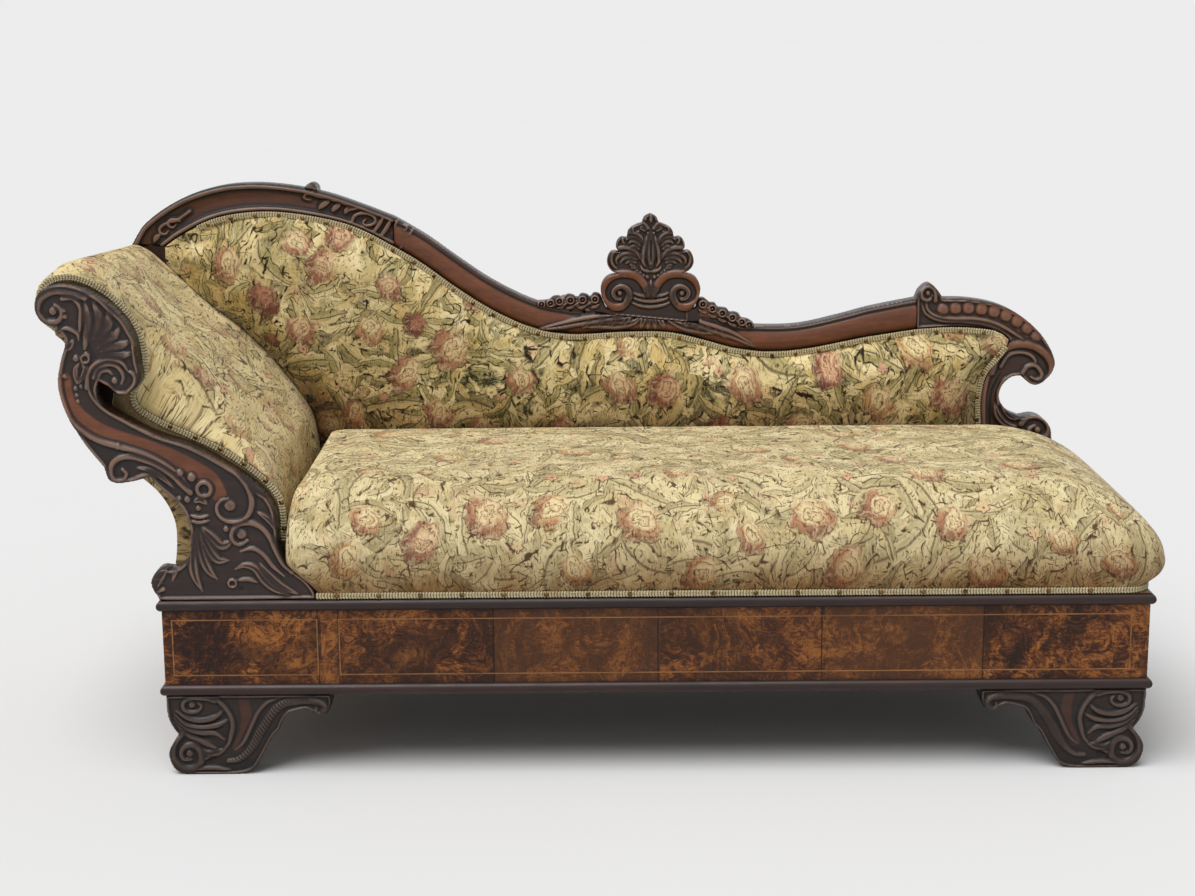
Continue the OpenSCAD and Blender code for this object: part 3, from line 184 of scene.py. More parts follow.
def placed(shares: list[Point], x: float, z: float, w: float, h: float) -> list[Point]:
    """Scale shares to sizes.

    Args:
        shares: The shares.
        x: Left end.
        z: Lower end.
        w: Width.
        h: Height.

    Returns:
        The points.
    """
    return [(x + p[0] * w, z + p[1] * h, *p[2:]) for p in shares]


def aside(line: np.ndarray, by: np.ndarray | float) -> np.ndarray:
    """Move an open line sideways, to its left where the distance is above zero.

    Args:
        line: The line.
        by: The distance, one or one for each point.

    Returns:
        The moved line.
    """
    way = np.empty_like(line)
    way[1:-1] = line[2:] - line[:-2]
    way[0] = line[1] - line[0]
    way[-1] = line[-1] - line[-2]
    way /= np.maximum(np.linalg.norm(way, axis=1, keepdims=True), 1e-9)
    left = np.stack([-way[:, 1], way[:, 0]], axis=1)
    return line + left * np.reshape(by, (-1, 1))


def arc(line: np.ndarray) -> np.ndarray:
    """Give the length of a line up to each of its points."""
    return np.concatenate([[0.0], np.cumsum(np.linalg.norm(np.diff(line, axis=0), axis=1))])


def along(line: np.ndarray, shares: np.ndarray) -> np.ndarray:
    """Find places on a line.

    Args:
        line: The line.
        shares: Shares of its length.

    Returns:
        One point for each share.
    """
    run = arc(line)
    want = np.asarray(shares) * run[-1]
    return np.stack([np.interp(want, run, line[:, k]) for k in range(line.shape[1])], axis=-1)


def eased(value: np.ndarray, low: float, high: float) -> np.ndarray:
    """Rise smoothly from 0 at low to 1 at high."""
    t = np.clip((value - low) / (high - low), 0, 1)
    return t * t * (3 - 2 * t)


@dataclass(frozen=True)
class PhotoView:
    """The photograph's camera, in the couch's own places."""

    wide: int = 1195
    high: int = 896
    focal: float = 2100.0
    pitch: float = 0.21031
    roll: float = -0.00751
    place: tuple[float, float, float] = (-0.09748, -3.43163, 1.30320)

    def axes(self) -> tuple[np.ndarray, np.ndarray, np.ndarray]:
        """Give the camera's right, up and forward directions."""
        forward = np.array([0, math.cos(self.pitch), -math.sin(self.pitch)])
        right = np.array([1.0, 0, 0])
        up = np.cross(right, forward)
        c, s = math.cos(self.roll), math.sin(self.roll)
        return c * right + s * up, -s * right + c * up, forward

    def on_plane(self, px: float, py: float, y: float) -> tuple[float, float]:
        """Find what a pixel shows on an upright plane.

        Args:
            px: Pixel across.
            py: Pixel down.
            y: The plane's place.

        Returns:
            Its x and z.
        """
        right, up, forward = self.axes()
        ray = forward + (px - self.wide / 2) / self.focal * right
        ray = ray + (self.high / 2 - py) / self.focal * up
        t = (y - self.place[1]) / ray[1]
        return self.place[0] + t * ray[0], self.place[2] + t * ray[2]

    def pixels(self, points: np.ndarray) -> np.ndarray:
        """Find where points show in the photograph.

        Args:
            points: Places of the couch, three numbers each.

        Returns:
            Pixels across and down.
        """
        right, up, forward = self.axes()
        rel = points - np.array(self.place)
        deep = rel @ forward
        return np.stack(
            [self.wide / 2 + self.focal * (rel @ right) / deep,
             self.high / 2 - self.focal * (rel @ up) / deep], axis=-1)

    def camera(self) -> bpy.types.Object:
        """Make the camera and hand it to the scene."""
        data = bpy.data.cameras.new("camera")
        data.sensor_width = 36.0
        data.lens = data.sensor_width * self.focal / self.wide
        data.clip_end = 500
        right, up, forward = self.axes()
        turn = Matrix([right, up, -forward]).transposed().to_4x4()
        shown = bpy.data.objects.new("camera", data)
        shown.matrix_world = Matrix.Translation(Vector(np.array(self.place) + ORIGIN)) @ turn
        bpy.context.scene.collection.objects.link(shown)
        bpy.context.scene.camera = shown
        return shown


VIEW = PhotoView()


@dataclass(frozen=True)
class CloseUp:
    """An enlarged part of the photograph, in which fine cuts are told."""

    left: float
    top: float
    times: float

    def photo(self, points: list[Point]) -> list[Point]:
        """Give the same points in the whole photograph's pixels."""
        return [(self.left + p[0] / self.times, self.top + p[1] / self.times) for p in points]


# Shader wiring

Value = object
"""What a node's input takes: a number, a tuple of numbers, a written colour or another node's Reading."""


class Reading:
    """One output of a node; sums with it add nodes of their own."""

    def __init__(self, wires: "Wires", socket: bpy.types.NodeSocket) -> None:
        """Keep the socket and its tree."""
        self.wires, self.socket = wires, socket

    @property
    def wide(self) -> bool:
        """Tell whether it carries more than one number."""
        return self.socket.type in ("VECTOR", "RGBA")

    def __add__(self, other: Value) -> "Reading":
        """Add."""
        return self.wires.sum("ADD", self, other)

    def __radd__(self, other: Value) -> "Reading":
        """Add."""
        return self.wires.sum("ADD", other, self)

    def __sub__(self, other: Value) -> "Reading":
        """Subtract."""
        return self.wires.sum("SUBTRACT", self, other)

    def __rsub__(self, other: Value) -> "Reading":
        """Subtract."""
        return self.wires.sum("SUBTRACT", other, self)

    def __mul__(self, other: Value) -> "Reading":
        """Multiply; a vector by one number is scaled."""
        return self.wires.sum("MULTIPLY", self, other)

    def __truediv__(self, other: Value) -> "Reading":
        """Divide."""
        return self.wires.sum("DIVIDE", self, other)

    def __abs__(self) -> "Reading":
        """Drop the sign."""
        return self.wires.sum("ABSOLUTE", self)

    def rise(self, low: Value, high: float, a: float = 0.0, b: float = 1.0) -> "Reading":
        """Rise smoothly from a to b while the value goes from low to high."""
        return self.wires.add("ShaderNodeMapRange", {0: self, 1: low, 2: high, 3: a, 4: b},
                              interpolation_type="SMOOTHSTEP")[0]


@dataclass(frozen=True)
class Outlets:
    """The outputs of one node, by name or number."""

    wires: "Wires"
    sockets: bpy.types.NodeOutputs

    def __getitem__(self, key: str | int) -> Reading:
        """Give one of them."""
        return Reading(self.wires, self.sockets[key])


class Wires:
    """Adds and joins the nodes of one tree."""

    def __init__(self, tree: bpy.types.NodeTree) -> None:
        """Keep the tree."""
        self.tree = tree

    def node(self, kind: str, inputs: dict | None = None, **props: object) -> bpy.types.Node:
        """Add a node.

        Args:
            kind: Its type.
            inputs: What goes in, by the input's name or number.
            props: Its own properties.

        Returns:
            The node.
        """
        node = self.tree.nodes.new(kind)
        for name, value in props.items():
            setattr(node, name, value)
        for name, value in (inputs or {}).items():
            self.put(node.inputs[name], value)
        return node

    def add(self, kind: str, inputs: dict | None = None, **props: object) -> Outlets:
        """Add a node and give its outputs."""
        return Outlets(self, self.node(kind, inputs, **props).outputs)

    def put(self, socket: bpy.types.NodeSocket, value: Value) -> None:
        """Link a socket to a reading, or give it a value."""
        if isinstance(value, Reading):
            self.tree.links.new(value.socket, socket)
        else:
            colour = isinstance(value, str) and socket.type == "RGBA"
            socket.default_value = srgb(value) if colour else value

    def sum(self, op: str, a: Value, b: Value = 0.0) -> Reading:
        """Do a sum, with vectors where one of its sides is a vector.

        Args:
            op: The sum.
            a: One side.
            b: The other.

        Returns:
            The result.
        """
        wide = [v.wide if isinstance(v, Reading) else isinstance(v, tuple) for v in (a, b)]
        if not any(wide):
            return self.add("ShaderNodeMath", {0: a, 1: b, 2: 0.0}, operation=op)[0]
        if op == "MULTIPLY" and not all(wide):
            return self.add("ShaderNodeVectorMath", {0: a, 3: b}, operation="SCALE")[0]
        return self.add("ShaderNodeVectorMath", {0: a, 1: b}, operation=op)[0]

    def length(self, a: Value) -> Reading:
        """Measure a vector."""
        return self.add("ShaderNodeVectorMath", {0: a, 1: (0, 0, 0)}, operation="LENGTH")[1]

    def mix(self, share: Value, a: Value, b: Value, blend: str = "MIX") -> Reading:
        """Mix two colours."""
        return self.add("ShaderNodeMix", {0: share, 6: a, 7: b}, data_type="RGBA", blend_type=blend)[2]

    def noise(self, at: Value, scale: float, detail: float = 2.0, rough: float = 0.5,
              twist: float = 0.0, out: str | int = 0) -> Reading:
        """Add a noise texture."""
        return self.add("ShaderNodeTexNoise", {
            "Vector": at, "Scale": scale, "Detail": detail, "Roughness": rough, "Distortion": twist})[out]

    def shifted(self, at: Value, scale: float, by: Value, detail: float = 2.0, rough: float = 0.5,
                of: Value = None) -> Reading:
        """Move a place about by the colours of a noise.

        Args:
            at: The place.
            scale: The noise's scale.
            by: How far it moves.
            detail: The noise's detail.
            rough: The noise's roughness.
            of: Where the noise is read, if not at the place.

        Returns:
            The moved place.
        """
        off = self.noise(at if of is None else of, scale, detail, rough, out="Color")
        return at + (off - (0.5, 0.5, 0.5)) * by

    def cells(self, at: Value, scale: Value, random: float = 1.0) -> Outlets:
        """Add a cell texture."""
        return self.add("ShaderNodeTexVoronoi", {"Vector": at, "Scale": scale, "Randomness": random},
                        feature="F1")

    def parts(self, at: Value) -> list[Reading]:
        """Split a vector into its three numbers."""
        made = self.add("ShaderNodeSeparateXYZ", {0: at})
        return [made[k] for k in range(3)]

    def join(self, x: Value, y: Value, z: Value = 0.0) -> Reading:
        """Make a vector of three numbers."""
        return self.add("ShaderNodeCombineXYZ", {0: x, 1: y, 2: z})[0]

    def turned(self, x: Reading, y: Reading, turn: Reading) -> tuple[Reading, Reading]:
        """Turn a flat place by an angle."""
        c, s = self.sum("COSINE", turn), self.sum("SINE", turn)
        return c * x + s * y, c * y - s * x

    def ramp(self, value: Value, stops: list[tuple[float, object]], way: str = "LINEAR") -> Reading:
        """Colour a value by stops.

        Args:
            value: The value, 0 to 1.
            stops: Places and colours.
            way: How it goes between them.

        Returns:
            The colour.
        """
        node = self.node("ShaderNodeValToRGB", {0: value})
        node.color_ramp.interpolation = way
        marks = node.color_ramp.elements
        while len(marks) < len(stops):
            marks.new(1.0)
        for mark, (place, colour) in zip(marks, stops):
            mark.position = place
            mark.color = srgb(colour) if isinstance(colour, str) else colour
        return Reading(self, node.outputs[0])


class Effect(Wires):
    """A shader group that several finishes use, with named inputs and outputs."""

    def __init__(self, name: str, ins: dict[str, object], *outs: str) -> None:
        """Open an empty group.

        Args:
            name: Its name.
            ins: The first value of each input; a tuple makes it a vector.
            outs: Its outputs.
        """
        super().__init__(bpy.data.node_groups.new(name, "ShaderNodeTree"))
        sides = [("INPUT", label, value) for label, value in ins.items()] + [("OUTPUT", o, 0.0) for o in outs]
        for side, label, value in sides:
            kind = "NodeSocketVector" if isinstance(value, tuple) else "NodeSocketFloat"
            socket = self.tree.interface.new_socket(label, in_out=side, socket_type=kind)
            if side == "INPUT":
                socket.default_value = value
        self.ins = self.add("NodeGroupInput")
        self.ends = self.node("NodeGroupOutput").inputs

    def gives(self, **results: Value) -> "Effect":
        """Wire the outputs."""
        for name, value in results.items():
            self.put(self.ends[name], value)
        return self

    def use(self, wires: Wires, **inputs: Value) -> Outlets:
        """Place the group in a finish."""
        return wires.add("ShaderNodeGroup", inputs, node_tree=self.tree)


def grain_effect() -> Effect:
    """Build the long fibres and pores of straight wood.

    Returns:
        The group; it puts out a figure, a pore mask and a height.
    """
    w = Effect("wood_grain", {"Place": (0, 0, 0), "Stretch": (2.0, 40.0, 40.0), "Wander": 0.4},
               "Figure", "Pores", "Height")
    place = w.ins["Place"]
    stretched = (place + w.noise(place, 3.0, out="Color") * (w.ins["Wander"] * 0.06)) * w.ins["Stretch"]
    broad = w.noise(stretched, 1.0, 5.0, 0.6, 0.4)
    fine = w.noise(stretched * 6.0, 1.0, 2.0, 0.7)
    figure = broad * 0.75 + fine * 0.25
    pores = fine.rise(0.56, 0.68)
    return w.gives(Figure=figure.rise(0.3, 0.7), Pores=pores, Height=figure - pores * 0.5)


def patina_effect() -> Effect:
    """Build grime with painted shade in the hollows of carving, and wear with painted highlights on its high
    places.

    Returns:
        The group; it puts out grime with painted shade, wear with painted highlight, and a patchy mask.
    """
    w = Effect("old_polish_and_light", {"Place": (0, 0, 0), "Lift": 0.5, "Reach": 1.0}, "Dirt", "Rub", "Patches")
    cloudy = w.noise(w.ins["Place"], 28.0, 4.0, 0.6)
    fine = w.noise(w.ins["Place"], 190.0, 3.0, 0.6)
    lift = w.ins["Lift"] + (cloudy * 0.6 + fine * 0.4 - 0.5) * 0.35
    reach = w.ins["Reach"]
    return w.gives(Dirt=lift.rise(0.46, 0.2) * reach, Rub=lift.rise(0.56, 0.86) * reach,
                   Patches=cloudy.rise(0.38, 0.66))


def burl_effect() -> Effect:
    """Build the swirled figure of burl walnut.

    Returns:
        The group; it puts out a figure, dark clouds, small eyes and a height.
    """
    w = Effect("burl_figure", {"Place": (0, 0, 0), "Leaf": 0.0}, "Figure", "Clouds", "Eyes", "Height")
    leaf = w.ins["Leaf"]
    place = w.ins["Place"] + w.join(leaf * 7.3, leaf * 3.1, leaf * 5.7)
    swirled = w.shifted(place, 10.0, 0.22, 3.0)
    curled = w.shifted(swirled, 34.0, 0.03, 3.0, 0.6)
    fibres = w.noise(curled * (70, 70, 34), 1.0, 5.0, 0.68, 0.8)
    clouds = w.noise(swirled * (9, 9, 6), 1.0, 4.0, 0.6, 0.6)
    return w.gives(Figure=fibres.rise(0.32, 0.68), Clouds=clouds.rise(0.44, 0.66),
                   Eyes=w.cells(curled, 46.0)["Distance"].rise(0.16, 0.05), Height=fibres)


def thread_effect() -> Effect:
    """Build crossing threads, one above the other in turn.

    Returns:
        The group; it puts out a height, a mask of the gaps and a slub mask.
    """
    w = Effect("woven_threads", {"Place": (0, 0, 0), "Threads": 900.0, "Uneven": 0.2},
               "Height", "Gaps", "Slubs")
    place = w.shifted(w.ins["Place"], 60.0, w.ins["Uneven"] * 0.004)
    sines = [w.sum("SINE", part) for part in w.parts(place * (w.ins["Threads"] * math.pi))[:2]]
    over = w.sum("SIGN", sines[0]) * w.sum("SIGN", sines[1])
    warp, weft = (abs(sine) for sine in sines)
    high = w.sum("MAXIMUM", warp * (0.8 + over * 0.2), weft * (0.8 - over * 0.2))
    slubs = w.noise(w.ins["Place"] * (700, 90, 90), 1.0)
    return w.gives(Height=high, Gaps=high.rise(0.55, 0.2), Slubs=slubs.rise(0.5, 0.75))


def leaf_effect() -> Effect:
    """Build scattered drawn leaves, one in each cell, each with its own turn.

    Returns:
        The group; it puts out the leaf's fill, its outline and vein, a random tint, which side of
        the vein a place is on, and brush strokes along the leaf.
    """
    w = Effect("drawn_leaves", {"Place": (0, 0, 0), "Pitch": 14.0, "Length": 0.036, "Width": 0.013,
                                "Share": 0.8, "Line": 0.1}, "Fill", "Line", "Tint", "Side", "Brush")
    i = w.ins
    cell = w.cells(i["Place"], i["Pitch"], 0.85)
    rand = w.parts(cell["Color"])
    x, y, _ = w.parts(i["Place"] - cell["Position"])
    lx, ly = w.turned(x, y, rand[0] * (2 * math.pi))
    ly = ly + lx * lx * ((rand[1] - 0.5) * 22.0)
    run, wide = lx / i["Length"], abs(ly) / i["Width"]
    edge = wide + run * run + w.sum("SINE", run * 13.0) * 0.13
    there = w.sum("LESS_THAN", rand[2], i["Share"])
    fill = edge.rise(1.06, 0.92) * there
    rim = abs(edge - 1.0).rise(i["Line"], 0.02) * there * w.noise(i["Place"], 70.0).rise(0.42, 0.58)
    vein = wide.rise(0.14, 0.03) * fill * 0.7
    brush = w.noise(w.join(lx * 36.0, ly * 330.0, rand[2] * 40.0), 1.0, 3.0, 0.6)
    return w.gives(Fill=fill, Line=w.sum("MAXIMUM", rim, vein), Tint=rand[1],
                   Side=(ly / i["Width"]).rise(-0.7, 0.7), Brush=brush)


class Effects:
    """The shared effects, each built once."""

    def __init__(self) -> None:
        """Build them."""
        self.grain, self.patina, self.burl = grain_effect(), patina_effect(), burl_effect()
        self.threads, self.leaf = thread_effect(), leaf_effect()


class Coats(Wires):
    """The wires of one material, with the colour that has been laid on so far."""

    def __init__(self, name: str, effects: Effects) -> None:
        """Open a material.

        Args:
            name: Its name.
            effects: The shared effects.
        """
        self.material = bpy.data.materials.new(name)
        self.material.use_nodes = True
        super().__init__(self.material.node_tree)
        self.shader = self.tree.nodes["Principled BSDF"].inputs
        self.effects = effects
        self.colour: Value = "ffffff"

    def place(self) -> Reading:
        """Give the place on the couch."""
        return self.add("ShaderNodeTexCoord")["Object"]

    def told(self, name: str, out: str = "Fac") -> Reading:
        """Read what a piece tells of each point."""
        return self.add("ShaderNodeAttribute", attribute_name=name)[out]

    def start(self, share: Value, a: Value, b: Value) -> None:
        """Begin with two mixed colours."""
        self.colour = self.mix(share, a, b)

    def over(self, share: Value, colour: Value, blend: str = "MIX") -> None:
        """Lay another colour over the last."""
        self.colour = self.mix(share, self.colour, colour, blend)

    def done(self, rough: Value, bump: tuple[float, float, Value] | None, **set_values: Value) -> None:
        """Wire the shader.

        Args:
            rough: The roughness.
            bump: Strength, distance and height of the bump.
            set_values: The shader's other inputs, with underscores for spaces.
        """
        self.put(self.shader["Base Color"], self.colour)
        self.put(self.shader["Roughness"], rough)
        if bump:
            self.put(self.shader["Normal"], self.add(
                "ShaderNodeBump", dict(zip(("Strength", "Distance", "Height"), bump)))[0])
        for name, value in set_values.items():
            self.put(self.shader[name.replace("_", " ")], value)


class Finish:
    """A finish: it makes one material, and dresses pieces with it."""

    name: str

    def make(self, effects: Effects) -> bpy.types.Material:
        """Make the material.

        Args:
            effects: The shared effects.

        Returns:
            The material.
        """
        coats = Coats(self.name, effects)
        self.paint(coats)
        return coats.material

    def paint(self, w: Coats) -> None:
        """Paint the finish; each kind has its own way."""
        raise NotImplementedError

    @staticmethod
    def dress(piece: bpy.types.Object, material: bpy.types.Material) -> None:
        """Put a material on a whole piece.

        Args:
            piece: The piece or CAD node.
            material: The material.
        """
        slots = piece.material_slots
        if len(slots) == 0:
            piece.data.materials.append(material)
        for slot in slots:
            slot.material = material


@dataclass(frozen=True)
class Wood(Finish):
    """Polished or raw straight-grained wood; where a piece tells its relief, grime and painted shade in the
    hollows, and wear and painted highlights on the high places.
    """

    name: str
    dark: str
    light: str
    # Colours of wear with painted highlight on high places, and of grime, which also paints shade in the
    # hollows.
    rub_and_highlight: str = "96745f"
    dirt_and_shade: str = "0b0605"
    warm: str = "7c4628"
    stretch: tuple[float, float, float] = (3.0, 45.0, 45.0)
    gloss: float = 0.42
    coat: float = 0.0
    shine: float = 0.35
    relief: bool = False

    def paint(self, w: Coats) -> None:
        """Paint the grain, then the wear, the grime and the painted shade and highlights of the relief.

        Args:
            w: The material's coats.
        """
        place = w.place()
        grain = w.effects.grain.use(w, Place=place, Stretch=self.stretch)
        w.start(grain["Figure"], self.dark, self.light)
        w.over(grain["Pores"] * 0.5, self.dirt_and_shade)
        rough = grain["Figure"].rise(0.0, 1.0, self.gloss + 0.06, self.gloss - 0.04)
        height = grain["Height"]
        lift = w.told("lift") if self.relief else 0.5
        wear_and_light = w.effects.patina.use(w, Place=place, Lift=lift, Reach=1.0)
        if self.relief:
            reddish = w.mix(grain["Figure"], w.mix(0.45, self.warm, "150804"), self.warm)
            w.over(w.told("warm"), reddish)
            # Painted highlight: high places of the relief are lightened, as wear and in place of the polish's
            # sheen.
            w.over(wear_and_light["Rub"] * 0.6, self.rub_and_highlight)
            # Painted shade: hollows of the relief are darkened, as grime and in place of the shade that falls
            # in them.
            w.over(wear_and_light["Dirt"] * 0.92, self.dirt_and_shade)
            w.over(wear_and_light["Patches"] * 0.25, self.dirt_and_shade)
            rough = rough + wear_and_light["Dirt"] * 0.25
            height = height * 0.5 + w.noise(place, 420.0, 3.0, 0.6) * 0.6
        else:
            w.over(wear_and_light["Patches"] * 0.3, self.dark)
            rough = rough + wear_and_light["Patches"] * 0.08
        w.done(rough, (0.35, 0.0006, height), Specular_IOR_Level=self.shine, Coat_Weight=self.coat,
               Coat_Roughness=0.22)


@dataclass(frozen=True)
class Burl(Finish):
    """Burl walnut veneer, each leaf of it cut from another place."""

    name: str
    leaves: tuple[float, ...] = (0.0,)
    span: float = 1.68
    tones: tuple[float, ...] = (0.12, 0.55, 0.32, 0.78, 0.47, 0.9, 0.25)

    def paint(self, w: Coats) -> None:
        """Paint the figure, the dark borders, the seams between the leaves and fine scratches.

        Args:
            w: The material's coats.
        """
        place = w.place()
        x, _, z = w.parts(place)
        share = (x - float(ORIGIN[0])) / self.span + 0.5
        greys = [(tone, tone, tone, 1.0) for tone in self.tones]
        leaf = w.ramp(share, list(zip(self.leaves, greys)), "CONSTANT")
        figure = w.effects.burl.use(w, Place=place, Leaf=leaf)
        soft = w.noise(place, 8.5, 3.0, 0.55, 1.4).rise(0.3, 0.7)
        bent = place + w.noise(place, 9.0, out="Color") * 0.11
        hairs = w.noise(bent * (60, 60, 420), 1.0, 3.0, 0.65).rise(0.3, 0.7)
        value = figure["Figure"] * 0.42 + soft * 0.38 + hairs * 0.24
        w.colour = w.ramp(value.rise(0.16, 0.88), [(0.0, "1a0b06"), (0.3, "3f2011"), (0.62, "6a3a1a"),
                                                   (1.0, "a4672f")])
        w.over(figure["Clouds"] * 0.72, "26130d")
        w.over(figure["Eyes"] * 0.6, "180b07")
        w.over(leaf.rise(0.0, 1.0, 0.0, 0.45), "6b4325")
        low = z.rise(SIZE.foot_h + 0.030, SIZE.foot_h + 0.012)
        high = z.rise(SIZE.top - 0.028, SIZE.top - 0.010)
        w.over(w.sum("MAXIMUM", low, high) * 0.6, "1a0d09")
        for mark in self.leaves[1:]:
            w.over(abs(share - mark).rise(0.0011, 0.0003, 0.0, 0.75), "120806")
        scratch = w.noise(place * (150, 30, 40), 1.0, 4.0, 0.7, 1.6)
        w.over(abs(scratch - 0.5).rise(0.022, 0.006, 0.0, 0.6), "140906")
        w.done(w.noise(place, 22.0, 3.0).rise(0.3, 0.7, 0.36, 0.52), (0.22, 0.0005, figure["Height"]),
               Specular_IOR_Level=0.22, Coat_Weight=0.03, Coat_Roughness=0.28)


@dataclass(frozen=True)
class Weave(Finish):
    """Plain woven cloth or strap."""

    name: str
    thread: str
    shade: str
    threads: float = 700.0
    uneven: float = 0.4
    stripe: str = ""
    stripe_pitch: float = 0.052

    def paint(self, w: Coats) -> None:
        """Paint the threads, and a stripe where there is one.

        Args:
            w: The material's coats.
        """
        place = w.place()
        x, y, z = w.parts(place)
        flat = w.join(x + z * 0.02, y + z)
        web = w.effects.threads.use(w, Place=flat, Threads=self.threads, Uneven=self.uneven)
        w.start(w.noise(place, 14.0, 4.0, 0.6).rise(0.3, 0.7, 0.2, 0.6), self.thread, self.shade)
        w.over(web["Slubs"] * 0.3, self.thread)
        w.over(web["Gaps"] * 0.7, self.shade)
        if self.stripe:
            run = abs(w.sum("SINE", y * (math.pi / self.stripe_pitch)))
            w.over(run.rise(0.9, 0.97) * 0.7, self.stripe)
        w.done(web["Height"].rise(0.0, 1.0, 0.97, 0.82), (0.5, 0.0005, web["Height"]),
               Specular_IOR_Level=0.2)


@dataclass(frozen=True)
class Fibre(Finish):
    """Loose or twisted fibre: stuffing, twine and braid yarn."""

    name: str
    light: str
    dark: str
    twist: tuple[float, float, float] = (400.0, 400.0, 400.0)
    speck: str = ""
    tape_in_shade: bool = False

    def paint(self, w: Coats) -> None:
        """Paint strands, clumps and specks; on a braid, the tape between the stitches is painted dark as
        shade.

        Args:
            w: The material's coats.
        """
        place = w.place()
        strands = w.noise(place * self.twist, 1.0, 4.0, 0.7, 1.5)
        wear_and_light = w.effects.patina.use(w, Place=place, Lift=0.5, Reach=0.6)
        w.start(strands.rise(0.36, 0.62), self.dark, self.light)
        w.over(w.noise(place, 40.0, 3.0).rise(0.5, 0.75) * 0.5, self.dark)
        # Painted shade: where the piece tells 0, on the braid's tape, the colour goes most of the way to the
        # dark speck colour, for the shade between the stitches.
        if self.tape_in_shade:
            w.start(w.told("lift"), w.mix(0.85, w.colour, self.speck), w.colour)
        if self.speck:
            w.over(w.cells(place, 260.0)["Distance"].rise(0.3, 0.12) * 0.75, self.speck)
        w.over(wear_and_light["Patches"] * 0.2, self.dark)
        w.done(strands.rise(0.2, 0.8, 0.95, 0.8), (0.6, 0.0008, strands))


@dataclass(frozen=True)
class Metal(Finish):
    """Worn brass or steel."""

    name: str
    bright: str
    dull: str
    gloss: float = 0.3

    def paint(self, w: Coats) -> None:
        """Paint the metal and its tarnish.

        Args:
            w: The material's coats.
        """
        place = w.place()
        cloudy = w.noise(place, 130.0, 4.0, 0.65)
        wear_and_light = w.effects.patina.use(w, Place=place, Lift=0.5, Reach=1.0)
        tarnish = cloudy.rise(0.42, 0.66)
        w.start(tarnish, self.bright, self.dull)
        w.done(tarnish.rise(0.0, 1.0, self.gloss, self.gloss + 0.25) + wear_and_light["Patches"] * 0.06,
               (0.2, 0.0003, cloudy), Metallic=tarnish.rise(0.0, 1.0, 0.95, 0.7))


